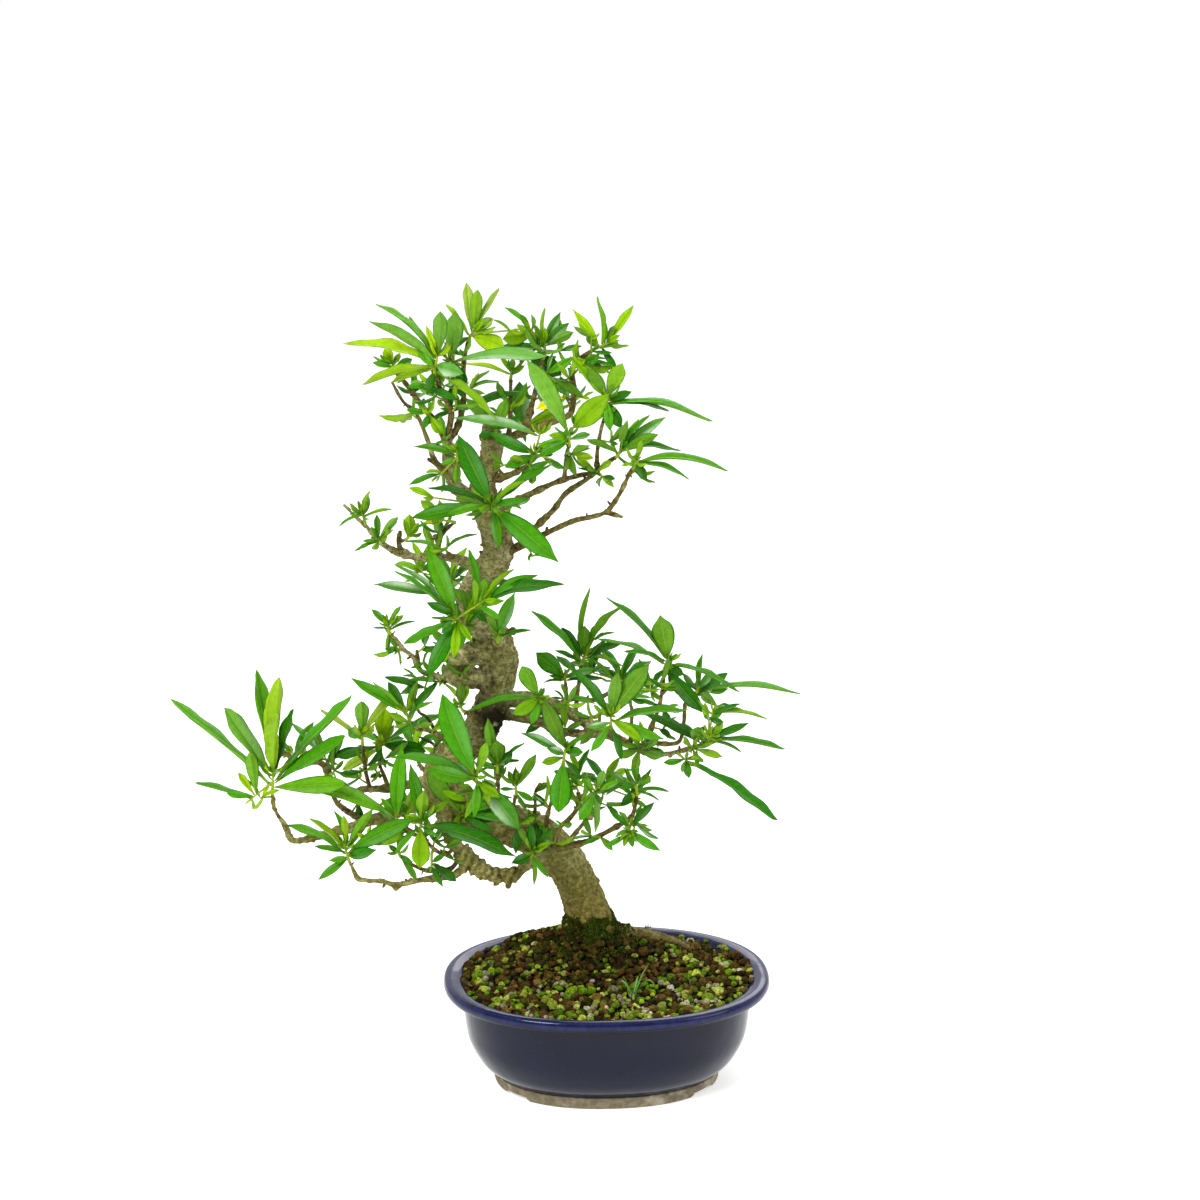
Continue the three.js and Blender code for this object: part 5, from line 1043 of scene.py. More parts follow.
def build_notch(bm, place):
    size = Matrix.Diagonal((NOTCH_WIDTH * MM, 200 * MM, 2 * NOTCH_HEIGHT * MM, 1))
    bmesh.ops.create_cube(bm, size=1, matrix=place @ size)
    bmesh.ops.bevel(bm, geom=bm.edges, offset=NOTCH_ROUND * MM, segments=3, affect="EDGES")


def make_pot():
    shell = oval_shell(rounded_profile(POT_PROFILE), POT_SIDES)
    pot = new_piece("pot_body", shell, pot_material, "pot")
    cutters = [make_cutter(build_drain, x, 8) for x in (-DRAIN_X, DRAIN_X)]
    cutters += [make_cutter(build_notch, x, 0) for x in (-NOTCH_X, NOTCH_X)]
    cut(pot, cutters)
    mesh = pot.data
    mesh.set_sharp_from_angle(angle=SHARP_FROM)
    glazed = []
    for x, y, z in places_on(mesh):
        half_length = math.hypot(x, y / DEPTH_TO_LENGTH) / oval_factor(math.atan2(y / DEPTH_TO_LENGTH, x))
        is_inside = FLOOR_TOP - 1 < z < BARE_INSIDE_BELOW and half_length < np.interp(z, *INNER_WALL) + 1
        is_under = z < BARE_FOOT_HEIGHT and half_length < BARE_FOOT_LENGTH
        glazed.append(0.0 if is_inside or is_under else 1.0)
    layer = mesh.attributes.new("glazed", "FLOAT", "POINT")
    layer.data.foreach_set("value", np.asarray(glazed, dtype=np.float32))


NET_HALF, NET_PITCH, NET_BARS, BAR_RADIUS, BAR_SIDES = 13, 2.9, 9, 0.42, 10
NET_HEIGHT = FLOOR_TOP + GAP + 0.45


def make_drainage_mesh(x, name):
    """A square of plastic netting: round bars both ways."""
    net = Shape()
    for i in range(NET_BARS):
        at = -NET_HALF + BAR_RADIUS + i * NET_PITCH
        for ends in (((x + at, -NET_HALF), (x + at, NET_HALF)), ((x - NET_HALF, at), (x + NET_HALF, at))):
            bar = [Vector((*end, NET_HEIGHT)) for end in ends]
            net.add(*sweep(bar, [BAR_RADIUS] * 2, BAR_SIDES))
    new_piece(name + "_net", net, plastic_material, name)


make_pot()
make_drainage_mesh(-DRAIN_X, "drainage_mesh_left")
make_drainage_mesh(DRAIN_X, "drainage_mesh_right")


# Wood

# The callus that nearly closes the burl's hole, and a bar of old wood far back on the left: places with depth
FINER_LIMBS = [
    ("burl_callus", [(-90, 257.5, 14), (-80, 256.6, 14), (-68, 256.8, 14)], 3.1, 3),
    ("burl_callus_right", [(-66, 264, 14), (-71, 260, 14), (-72, 255, 14)], 3.4, 2.9),
    ("old_bar", [(-166.5, 190, 58), (-168, 196, 57), (-172, 200, 56), (-180, 200.5, 55), (-188, 203, 54),
                 (-196, 208.5, 53)], 2.2, 1.3),
]
# The low bar's thick stretch
SWELLING = [(-89, 144), (-80, 136), (-70, 131), (-61, 129), (-55, 129)]
SWELLING_RADII = (6, 4.2)
LIMB_TAPER = 1.4
# A limb that starts at least this thick becomes one surface with the trunk
THICK = 2.9
WOOD_VOXEL = 0.9
TRUNK_STEP, TRUNK_SIDES = 2.0, 28
LIMB_STEP, LIMB_SIDES = 1.6, 14
TWIG_STEP, TWIG_SIDES = 1.1, 10
STUB_SIDES = 8
STUB_SKIPPED = 0.35
RIDGE_PITCH, RIDGE_REACH = 4.4, 10
BURL_REACH = 34
# How far from the recess under the burl its painted shadow reaches
HOLLOW_SHADOW_REACH = 21
# The bark's forms: how far each stands out in millimetres, and how much lighter its colour is painted on top
# of it and darker in its dips, as painted light and shadow
FORM_HEIGHTS = {"broad": 0.6, "wrinkle": 0.3, "knob": 4.2, "wart": 1.8, "fine": 0.28, "ridge": 1,
                "gnarl": 2.0}
FORM_PAINTED_LIGHTING = {"wrinkle": 0.3, "fine": 0.2, "ridge": 0.7, "gnarl": 0.8}
# Heights where the bark is greyer above, browner below, and has earth and pale roots on it
HIGH_BARK, LOW_BARK, ROOT_TOP, EARTH_TOP = 190, 135, 97, 88

# The bark's colours: the pale one also carries painted light on upward faces, and the near-black one is
# painted shadow in the recess under the burl
BARK, BARK_HIGH, BARK_PALE_AND_TOP_LIT, BARK_GREEN, BARK_DARK, BARK_FOOT, BARK_HOLLOW_SHADOW, BARK_LOW = palette(
    (151, 147, 88), (162, 158, 115), (187, 183, 125), (126, 126, 56), (86, 76, 38), (66, 60, 26),
    (32, 29, 12), (138, 128, 68),
)
# Earth on the left root, the pale right root, which also gets painted light on its upper faces, and the
# twigs' colours
ROOT_EARTH, ROOT_PALE_AND_TOP_LIT, TWIG, TWIG_DARK = palette((72, 54, 32), (150, 136, 92), (140, 130, 76), (84, 62, 36))

limbs = {}


def lay_limb(name, line, start_radius, end_radius):
    points = [seen(*place) for place in line]
    lengths = [0.0]
    for point, after in zip(points, points[1:]):
        lengths.append(lengths[-1] + (after - point).length)
    thickness = [(1 - length / lengths[-1]) ** LIMB_TAPER for length in lengths]
    radii = [end_radius + (start_radius - end_radius) * share for share in thickness]
    limbs[name] = {"line": line, "points": points, "radii": radii}


def nearest_places(limb, x, z):
    """The place nearest to (x, z) as seen on each stretch of a limb, its radius and how far off it is."""
    line, radii = limb["line"], limb["radii"]
    for i, ((ax, az, a_depth), (bx, bz, b_depth)) in enumerate(zip(line, line[1:])):
        squared = (bx - ax) ** 2 + (bz - az) ** 2
        t = clamp(((x - ax) * (bx - ax) + (z - az) * (bz - az)) / squared)
        place = (ax + t * (bx - ax), az + t * (bz - az), a_depth + t * (b_depth - a_depth))
        yield place, radii[i] + (radii[i + 1] - radii[i]) * t, math.hypot(place[0] - x, place[1] - z)


def nearest_on(parent, x, z):
    return min(nearest_places(limbs[parent], x, z), key=lambda found: found[2])[0]


def nearest_wood(x, z):
    """The place on any limb nearest to (x, z) as seen, the limb's radius there and the gap to its side."""
    stretches = (stretch for limb in limbs.values() for stretch in nearest_places(limb, x, z))
    place, radius, distance = min(stretches, key=lambda stretch: stretch[2] - stretch[1])
    return place, radius, distance - radius


def lay_out_wood():
    lay_limb("trunk", [row[:3] for row in TRUNK], 1, 1)
    limbs["trunk"]["radii"] = [row[3] for row in TRUNK]
    for name, parent, start_radius, end_radius, end_depth, route in LIMBS:
        start = nearest_on(parent, *route[0])
        to_depth = float if name.startswith("root_") else spread_depth
        end = to_depth(end_depth)
        line = [start]
        for i, row in enumerate(route[1:], start=1):
            even = start[2] + (end - start[2]) * i / (len(route) - 1)
            line.append((row[0], row[1], to_depth(row[2]) if len(row) > 2 else even))
        lay_limb(name, line, start_radius, end_radius)
    for row in FINER_LIMBS:
        lay_limb(*row)
    lay_limb("k_swelling", [nearest_on("left_k", x, z) for x, z in SWELLING], *SWELLING_RADII)


def trunk_tube():
    points, radii = limbs["trunk"]["points"], limbs["trunk"]["radii"]
    foot = Vector((points[0].x, points[0].y, PEG_FOOT[0]))
    line, widths, places = smooth_line([foot] + points, [PEG_FOOT[1]] + radii, TRUNK_STEP)

    def relief(angle, i):
        place = places[i]
        if place < 1.5:
            return 1
        return 1 + 0.07 * math.sin(3 * angle + 0.9 * place) + 0.04 * math.sin(5 * angle - 1.7 * place)

    return sweep(line, widths, TRUNK_SIDES, relief)


def thick_tube(name):
    line, widths, places = smooth_line(limbs[name]["points"], limbs[name]["radii"], LIMB_STEP)
    turn = len(name) * 1.3
    for i, place in enumerate(places):
        widths[i] *= 1 + 0.18 * noise.noise(Vector((turn, 0.45 * place, 3.1)))

    def relief(angle, i):
        return 1 + 0.05 * math.sin(3 * angle + turn + 0.8 * places[i])

    return sweep(line, widths, LIMB_SIDES, relief)


def ridges(p):
    """Old growth rings that stand out round one low limb, from RIDGES[0] to RIDGES[1]."""
    start, end = RIDGES
    along = (end - start).normalized()
    place = (p - start).dot(along)
    aside = (p - start - along * place).length
    if aside > RIDGE_REACH or not 0 < place < (end - start).length:
        return 0.0
    strength = 0.5 + 0.5 * noise.noise(p * 0.15)
    return strength * math.sin(2 * math.pi * (place + 1.1 * noise.noise(p * 0.25)) / RIDGE_PITCH)


def bark_colour(p, normal, broad):
    """Greener low down and on the shaded side, paler in patches and with painted light on top of the bends
    and on the pale right root, and painted shadow in the recess under the burl.
    """
    patch = noise.noise(p * 0.055 + Vector((1.7, 4.1, 9.3)))
    # Painted shadow: the bark turns near black in the recess under the burl, in patches
    hollow_shadow = clamp(1.4 - (p - SHADOWED_HOLLOW_CENTRE).length / HOLLOW_SHADOW_REACH) * (0.95 + 0.9 * patch)
    layers = [
        (BARK_HIGH, (p.z - HIGH_BARK) / 50),
        # Pale patches, plus painted light on upward-facing bark
        (BARK_PALE_AND_TOP_LIT, 0.55 * patch + 0.35 * normal[2] + 0.1),
        (BARK_GREEN, 0.65 * noise.noise(p * 0.08) + 0.25 - 0.3 * normal[2]),
        (BARK_DARK, 1.5 * (noise.noise(p * 0.13 + Vector((2, 8, 5))) - 0.25)),
        (BARK_LOW, 0.75 * (LOW_BARK - p.z) / 30),
        (BARK_HOLLOW_SHADOW, 0.85 * hollow_shadow),
    ]
    if p.z < ROOT_TOP:
        layers.append((ROOT_EARTH, 0.9 * clamp((-22 - p.x) / 8)))
        # The right root is pale, and paler on its upper faces as painted light
        layers.append((ROOT_PALE_AND_TOP_LIT, clamp((p.x - 6) / 10) * (0.4 + 0.6 * normal[2])))
    foot = clamp((EARTH_TOP + 7 * broad - p.z) / 7)
    layers.append((BARK_FOOT, 0.9 * foot * (1 - 0.7 * clamp((p.x - 8) / 8))))
    colour = BARK
    for layer, share in layers:
        colour = blend(colour, layer, share)
    return colour


def carve(p, normal):
    """How far out in millimetres the bark stands there, and its colour, painted lighter where the bark stands
    out and darker where it sinks in, as light and shadow.
    """
    broad = noise.noise(p * 0.11)
    near_burl = clamp(1.25 - (p - BURL_CENTRE).length / BURL_REACH)
    forms = {
        "broad": broad,
        "wrinkle": noise.noise(Vector((p.x * 0.2, p.y * 0.2, p.z * 0.6 + 2.0 * broad))),
        "knob": max(noise.noise(p * 0.2 + Vector((7, 3, 1))) - 0.34, 0),
        "wart": max(noise.noise(p * 0.46 + Vector((1, 9, 4))) - 0.3, 0),
        "fine": noise.noise(p * 0.85),
        "ridge": ridges(p),
        "gnarl": near_burl * (noise.noise(p * 0.17) + 0.7 * noise.noise(p * 0.42)),
    }
    height = sum(FORM_HEIGHTS[name] * form for name, form in forms.items())
    # Painted light and shadow on the relief: the colour is lighter where a form stands out and darker where
    # it sinks in
    light = 1 + sum(FORM_PAINTED_LIGHTING.get(name, 0) * form for name, form in forms.items())
    return height, bark_colour(p, normal, broad) * light


def make_trunk():
    shape = Shape()
    shape.add(*trunk_tube())
    for name, limb in limbs.items():
        if name != "trunk" and limb["radii"][0] >= THICK:
            shape.add(*thick_tube(name))
    trunk = new_piece("wood_trunk", shape, bark_material, "wood")
    remesh = trunk.modifiers.new("remesh", "REMESH")
    remesh.mode = "VOXEL"
    remesh.voxel_size = WOOD_VOXEL * MM
    smooth = trunk.modifiers.new("smooth", "SMOOTH")
    smooth.iterations = 3
    smooth.factor = 0.5
    bake_modifiers(trunk)
    mesh = trunk.data
    places, normals = places_on(mesh), vertices_of(mesh, "normal")
    tints = []
    for i, normal in enumerate(normals):
        height, tint = carve(Vector(places[i]), normal)
        places[i] += normal * height
        tints.append(tint)
    mesh.vertices.foreach_set("co", ((places + POT_CENTRE) * MM).ravel())
    mesh.update()
    paint(trunk, tints)
    return trunk


def without_roots():
    return {name: limb for name, limb in limbs.items() if not name.startswith("root_")}


def add_stubs(shape):
    """Short dead stubs and leaf scars along the limbs."""
    rng = random.Random(3)
    for limb in without_roots().values():
        points, radii = limb["points"], limb["radii"]
        for i in range(1, len(points) - 1):
            if rng.random() < STUB_SKIPPED:
                continue
            share = rng.random()
            place = points[i].lerp(points[i + 1], share)
            radius = radii[i] + (radii[i + 1] - radii[i]) * share
            along = (points[i + 1] - points[i]).normalized()
            out = any_way_out(along, rng)
            heading = (out + along * rng.uniform(-0.1, 0.7)).normalized()
            length = rng.uniform(0.8, 2.6)
            width = clamp(radius * 0.45, 0.45, 1.3) * rng.uniform(0.7, 1.1)
            start = place + out * (radius * 0.6)
            end = place + out * radius + heading * length
            line, widths = [start, start.lerp(end, 0.7), end], [width * 1.3, width, width * 0.7]
            verts, faces = sweep(line, widths, STUB_SIDES)
            shape.add(verts, faces, [blend(TWIG, TWIG_DARK, rng.uniform(0.2, 1))] * len(verts))


def add_twig(shape, limb, seed):
    line, widths, _ = smooth_line(limb["points"], limb["radii"], TWIG_STEP)
    for i in range(len(line)):
        near_base = math.exp(-i / 2.5)
        knot = max(noise.noise(Vector((seed, i * 0.31, 0.5))) - 0.1, 0)
        widths[i] *= 1 + 0.35 * near_base + 0.7 * knot + 0.1 * noise.noise(Vector((seed, i * 0.9, 4.5)))

    def relief(angle, i):
        return 1 + 0.07 * math.sin(2 * angle + seed + 0.6 * i)

    points, faces = sweep(line, widths, TWIG_SIDES, relief)
    tints = []
    for p in points:
        patch = noise.noise(p * 0.12 + Vector((seed, 0, 0)))
        tint = blend(TWIG, TWIG_DARK, 0.9 * patch + 0.3)
        ring = max(noise.noise(p * 0.7) - 0.05, 0)
        tints.append(blend(tint, BARK_GREEN, 0.8 * noise.noise(p * 0.2) + 0.1) * (1 - 1.3 * ring))
    shape.add(points, faces, tints)


def make_twigs():
    shape = Shape()
    for name, limb in limbs.items():
        if name != "trunk" and limb["radii"][0] < THICK:
            add_twig(shape, limb, len(name) + 3.7 * limb["points"][-1].x)
    add_stubs(shape)
    new_piece("wood_twigs", shape, twig_material, "wood")


lay_out_wood()
RIDGES = [seen(x, z, nearest_on("left_k", x, z)[2]) for x, z in ((-88, 142), (-54, 127))]
BURL_CENTRE = seen(-76, 262, 10)
# The middle of the recess under the burl, where shadow is painted into the bark
SHADOWED_HOLLOW_CENTRE = seen(-71, 227, 8)
trunk_piece = make_trunk()
make_twigs()


# Leafy shoots

LEAF_ARCH = 0.07
# Least width of a leaf for its length, where the table gives it narrower
LEAST_WIDTH, LEAST_THIN_WIDTH = 0.2, 0.16
LEAST_SOLID_WIDTH = 2.2
LEAF_SPACING = 1.1
LONGEST_FEET_SPAN = 9
FEET_BELOW = 0.4
TIP_DEPTHS = [0.22, -0.3, 0.05, 0.35, -0.12]
BENDS = [0, 0.12, -0.12, 0.24, -0.24, 0.36, -0.36, 0.5, -0.5, 0.65, -0.65]
# A solid's corner this near to a leaf's tip is its tip
TIP_MATCH = 0.5
GOLDEN_ANGLE = math.radians(137.5)
STEM_RADIUS = 0.95
MAIN_RADII = [STEM_RADIUS * 1.05, STEM_RADIUS, 0.6]
BRANCHLET_RADII = [0.7, 0.5]
TUFT_RADII = [0.7, 0.65, 0.5]
STEM_STEP, STEM_SIDES = 0.9, 8
SHOULDER = 1.3
# A bud's stem beyond the last leaf, then its two leaves: lengths, spreads, seat on the stem and width
BUD_LENGTH = 1.2
BUD_LENGTHS, BUD_SPREADS, BUD_SEAT, BUD_WIDTH = (3.5, 6.5), (0.25, 0.6), 0.8, 0.28
WHORL_OPENING = 0.95
WHORL_WIDTH = 0.26
WHORL_SHORTENING = 0.06
WHORL_TURN = 0.7
# Reach from the crown, leaves, and their length as a share of the middle whorl's
SIDE_FORKS = [((-19, -5, 7), 4, 0.82), ((17, -9, -4), 4, 0.74)]
FORK_MATCH = 4
# A side tuft grows from a limb within this reach of a crown, if the limb is thin enough
TUFT_NEAR, TUFT_FAR, TUFT_THICKEST = 5, 30, 7
# More leaves grow from wood within this reach, and stay in front of a limb thicker than this
REACH_TO_WOOD = 8
HIDING_RADIUS = 5
# Leaves round a stem's end: how far below it, their length, their spread and their width for their length,
# tones, how much they turn up, and whether they are small
SMALL_LEAVES = (0.4, 3.2), (6, 13.5), (0.5, 1.7), (0.26, 0.36), "yymmg", 0.15, True
TUFT_LEAVES = (0, 1.5), (9, 21), (0.6, 1.8), (0.24, 0.33), "yymmddg", 0, False

# Rows of a leaf that is small, long or neither, and its points across
SMALL_ROWS, LONG_ROWS, ROWS = 7, 18, 13
LONG_LEAF = 30
ACROSS = [-1, -0.72, -0.4, -0.13, 0, 0.13, 0.4, 0.72, 1]
FOLD, YOUNG_FOLD = (0.1, 0.28), (0.2, 0.5)
PETIOLE_WIDTH = 1.15
PETIOLE_END = 0.07
BLADE_RISE = 1.12

TONES = {
    "y": palette((142, 186, 10), (108, 164, 10)),
    "m": palette((46, 128, 4), (76, 150, 12)),
    "d": palette((14, 92, 3), (28, 116, 6)),
    "g": palette((86, 150, 62), (56, 132, 34)),
    "x": palette((216, 204, 30), (226, 220, 60)),
    "p": palette((124, 168, 58), (140, 176, 60)),
}
# How strongly each tone gets a painted highlight: a pale streak on one half of the blade, strongest mid-leaf
PAINTED_SHEEN_SHARES = {"g": 0.72, "d": 0.1, "m": 0.08}
# The leaves' back, the pale colour of the painted highlight, and the stems' green
LEAF_BACK, PAINTED_SHEEN_COLOUR, STEM_GREEN = palette((128, 172, 52), (188, 216, 180), (136, 158, 36))
# Where the leaves are paler or deeper than elsewhere: centre, radius, factors of the colour
LEAF_CASTS = [
    (seen(-96, 442, 0), 75, (1.45, 1.25, 1.5)),
    (seen(-190, 200, -10), 80, (1.6, 1.25, 0.7)),
    (seen(-140, 185, 0), 40, (1.2, 1.15, 0.8)),
    (seen(-8, 420, 8), 75, (1.25, 1.18, 0.75)),
    (seen(-72, 350, -15), 50, (0.75, 0.87, 0.45)),
    (seen(-70, 200, -15), 58, (0.7, 0.85, 0.35)),
    (seen(-85, 285, -15), 48, (0.84, 0.97, 0.35)),
]
# Shoots whose grown leaves are paler and more olive
OLIVE_SHOOTS = ("shoot_q1", "shoot_q2", "shoot_top")
# Where along them the leaves of these shoots are widest
FULL_TIPPED = {"shoot_l": 0.68, "shoot_q1": 0.66, "shoot_q2": 0.64, "shoot_top": 0.64}
# Side tufts: none on the shoots at the end of a long bare twig, few on the low right limb's, whose names
# start with e
BARE_SHOOTS = ("l", "n1", "crown_far", "yellow", "right_low", "mid_s", "far_s", "w_low")
SIDE_TUFTS, FEW_TUFTS = 2, 1


def seat_on(crown):
    """The nearest point of any limb's line, and the straight way out of the wood from there."""
    best, least = None, math.inf
    for limb in limbs.values():
        for i, point in enumerate(limb["points"]):
            distance = (point - crown).length - limb["radii"][i]
            if distance < least:
                best, least = (limb["points"], limb["radii"], i), distance
    points, radii, i = best
    is_end = i == len(points) - 1
    along = ((points[i] if is_end else points[i + 1]) - points[max(i - 1, 0)]).normalized()
    if is_end:
        return points[i] + along * GAP, along
    towards = crown - points[i]
    out = (towards - along * towards.dot(along)).normalized()
    return points[i] + out * (radii[i] + GAP), out


def feet_span(count):
    return min(LEAF_SPACING * max(count - 1, 1), LONGEST_FEET_SPAN)


def feet_below(count, free_length):
    return min(FEET_BELOW * feet_span(count), max(free_length - BUD_LENGTH / 2, 0))


def foot_on(crown, heading, below, i, count):
    share = i / (count - 1) if count > 1 else 0
    return crown + heading * (feet_span(count) * share - below)


def lean_of(leaf, i):
    return leaf[4] if len(leaf) > 4 else TIP_DEPTHS[i % len(TIP_DEPTHS)]


def tip_of(leaf, foot, depth, lean):
    """A leaf's tip, behind that depth by its lean's share of its length."""
    reach = (seen(leaf[0], leaf[1], depth) - foot).length
    return seen(leaf[0], leaf[1], depth + lean * reach)


def blade_side(foot, tip, seen_width, width):
    """Turns the blade round its own length until the viewer sees it seen_width wide, upper face up."""
    along = (tip - foot).normalized()
    to_eye = (EYE_IN_POT_FRAME - (foot + tip) / 2).normalized()
    across = along.cross(to_eye).normalized()
    facing = across.cross(along)
    cosine = min(seen_width / width, 1)
    sine = math.sqrt(1 - cosine * cosine)
    sides = [across * cosine + facing * (sign * sine) for sign in (1, -1)]
    side = max(sides, key=lambda side: abs(side.cross(along).z))
    normal = side.cross(along)
    return (-side, -normal) if normal.z < 0 else (side, normal)


def leaf_width(s, widest):
    """The blade's width for its place from foot to tip, with a drawn-out point."""
    fall = BLADE_RISE * (1 - widest) / widest
    full = widest**BLADE_RISE * (1 - widest) ** fall
    drawn_out = 1 - 0.3 * clamp((s - 0.8) / 0.12) * clamp((1.02 - s) / 0.06)
    return s**BLADE_RISE * (1 - s) ** fall / full * drawn_out


def leaf_cast(place):
    cast = np.ones(3)
    for centre, radius, factors in LEAF_CASTS:
        share = clamp(2.2 * (1 - (place - centre).length / radius))
        cast *= 1 + (np.array(factors) - 1) * share
    return cast


class Shoot(Shape):
    """One shoot's stems and leaves. Its name also starts its random draws."""

    def __init__(self, name):
        super().__init__()
        self.name = name
        self.rng = random.Random(name)
        self.corners = places_on(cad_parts[name].data)
        self.uvs = []

    def add(self, points, faces, tints, uvs=None):
        super().add(points, faces, tints)
        self.uvs.extend(uvs or [(0.5, 0.5)] * len(points))

    def stem(self, points, radii):
        line, widths, _ = smooth_line(points, radii, STEM_STEP)
        verts, faces = sweep(line, widths, STEM_SIDES)
        self.add(verts, faces, [STEM_GREEN * (0.85 + 0.3 * noise.noise(p * 0.6)) for p in verts])

    def leaf(self, foot, tip, side, normal, width, tone, is_small=False, widest=None):
        rng = self.rng
        length = (tip - foot).length
        rows = SMALL_ROWS if is_small else (LONG_ROWS if length > LONG_LEAF else ROWS)
        fold = rng.uniform(*(YOUNG_FOLD if tone == "y" else FOLD))
        arch = LEAF_ARCH * rng.uniform(0.7, 1.5)
        sway = rng.uniform(-0.035, 0.035) * length
        if widest:
            arch, sway, width = 0.25 * arch, 0, 1.2 * width
        else:
            widest = rng.uniform(0.48, 0.64)
        twist = rng.uniform(-0.25, 0.25)
        wave = rng.uniform(0.02, 0.07) * width
        waves = rng.uniform(1.6, 3.2)
        phase = rng.uniform(*ANY_TURN)
        tip_roll = rng.uniform(-0.02, 0.07) * length
        share = rng.uniform(0, 1)
        tint = TONES[tone][0] * (1 - share) + TONES[tone][1] * share
        tint = tint * rng.uniform(0.78, 1.16) * leaf_cast((foot + tip) / 2)
        back = tint * 0.55 + LEAF_BACK * 0.45
        painted_sheen = PAINTED_SHEEN_SHARES.get(tone, 0) * rng.uniform(0.3, 1.3)
        petiole = min(PETIOLE_WIDTH, 0.5 * width)
        points, tints, uvs = [], [], []
        for row in range(1, rows):
            s = row / rows
            s = s - 0.02 * math.sin(2 * math.pi * s)
            middle = math.sin(math.pi * s)
            stalk = clamp((PETIOLE_END * 2 - s) / PETIOLE_END)
            full_width = max(width * leaf_width(s, widest), petiole * stalk, 0.12)
            rise = arch * length * middle - tip_roll * s**4 * (1 - s) * 4
            centre = foot.lerp(tip, s) + normal * rise + side * (sway * middle)
            turn = twist * (s - 0.5)
            row_side = side * math.cos(turn) + normal * math.sin(turn)
            row_normal = normal * math.cos(turn) - side * math.sin(turn)
            upper, lower = [], []
            for t in ACROSS:
                half = t * full_width / 2
                lift = abs(half) * fold - 0.05 * full_width * math.exp(-((t / 0.12) ** 2))
                lift += wave * t * t * math.sin(2 * math.pi * waves * s + phase + (1.1 if t > 0 else 0))
                lift += 0.045 * full_width * math.sin(math.pi * abs(t)) * (1 - stalk)
                thick = (0.42 + 0.75 * math.exp(-((t / 0.16) ** 2)) * (1 - 0.7 * s)) * (1 - 0.75 * abs(t))
                upper.append(centre + row_side * half + row_normal * lift)
                lower.append(centre + row_side * half + row_normal * (lift - thick))
            points.extend(upper + lower[-2:0:-1])
            green = STEM_GREEN * stalk + tint * (1 - stalk)
            # Painted highlight: one half of the blade blends towards a pale green-white, most in the middle
            # of its length
            painted_shine = painted_sheen * middle**2
            tints.extend([blend(green, PAINTED_SHEEN_COLOUR, painted_shine * clamp(1.5 * t + 0.2)) for t in ACROSS])
            tints.extend([back] * (len(ACROSS) - 2))
            uvs.extend(((t + 1) / 2, s) for t in ACROSS + ACROSS[-2:0:-1])
        faces = tube_faces(rows - 1, 2 * (len(ACROSS) - 1), inside_out=True)
        self.add(points + [foot, tip], faces, tints + [STEM_GREEN, tint], uvs + [(0.5, 0.0), (0.5, 1.0)])

    def seen_leaf(self, leaf, foot, tip, tone, least_width=LEAST_WIDTH, widest=None):
        """A leaf of the tables, as wide as the viewer sees it."""
        width = max(leaf[2], least_width * (tip - foot).length)
        side, normal = blade_side(foot, tip, leaf[2], width)
        self.leaf(foot, tip, side, normal, width, tone, widest=widest)

    def table_leaf(self, leaf, foot, tip, least_width):
        """A leaf of SHOOTS, with the tone and the form of its shoot."""
        tone = "p" if leaf[3] == "m" and self.name in OLIVE_SHOOTS else leaf[3]
        self.seen_leaf(leaf, foot, tip, tone, least_width, FULL_TIPPED.get(self.name))

    def bud(self, place, heading):
        """A pair of small folded new leaves round the growing point."""
        rng = self.rng
        side = heading.orthogonal().normalized()
        start = rng.uniform(*ANY_TURN)
        for i in range(2):
            out = Matrix.Rotation(start + i * math.pi, 3, heading) @ side
            length = rng.uniform(*BUD_LENGTHS)
            tip = place + (heading + out * rng.uniform(*BUD_SPREADS)).normalized() * length
            across = heading.cross(out).normalized()
            normal = across.cross((tip - place).normalized())
            self.leaf(place - heading * BUD_SEAT, tip, across, normal, length * BUD_WIDTH, "y", True)

    def leaves_round(self, top, heading, start, count, kind):
        """Leaves of a kind round the upper end of a stem."""
        rng = self.rng
        below, lengths, spreads, widths, tones, lift, is_small = kind
        side = heading.orthogonal().normalized()
        for i in range(count):
            out = Matrix.Rotation(start + i * GOLDEN_ANGLE, 3, heading) @ side
            foot = top - heading * rng.uniform(*below)
            length = rng.uniform(*lengths)
            tip = foot + (heading + out * rng.uniform(*spreads) + UP * lift).normalized() * length
            across = heading.cross(out).normalized()
            normal = across.cross((tip - foot).normalized())
            width = length * rng.uniform(*widths)
            self.leaf(foot, tip, across, normal, width, rng.choice(tones), is_small)

    def small_leaves(self, top, heading, count):
        """Leaves too small for the solids."""
        self.leaves_round(top, heading, self.rng.uniform(*ANY_TURN), count, SMALL_LEAVES)

    def end_stem(self, points, radii, heading, leaves):
        """A stem with a bud and small leaves at its end."""
        self.stem(points, radii)
        self.bud(points[-1], heading)
        self.small_leaves(points[-1], heading, leaves)

    def main_stem(self, crown, count, leaves):
        """The stem from the wood to the crown. Gives its heading and how far below the crown leaves start."""
        seat, out = seat_on(crown)
        shoulder = seat + out * SHOULDER
        heading = (crown - shoulder).normalized()
        below = feet_below(count, (crown - shoulder).length)
        end = crown + heading * (feet_span(count) - below + BUD_LENGTH)
        self.end_stem([seat - out * 0.2, shoulder, end], MAIN_RADII, heading, leaves)
        return heading, below

    def gap_to_solid(self, place):
        return np.min(np.linalg.norm(self.corners - np.array(place), axis=1))

    def solid_tip(self, leaf, foot, depth, lean):
        """The tip where the leaf's solid has it."""
        tips = [tip_of(leaf, foot, depth, lean + bend) for bend in BENDS]
        gaps = [self.gap_to_solid(tip) for tip in tips]
        best = int(np.argmin(gaps))
        return tips[best] if gaps[best] < TIP_MATCH else tips[0]

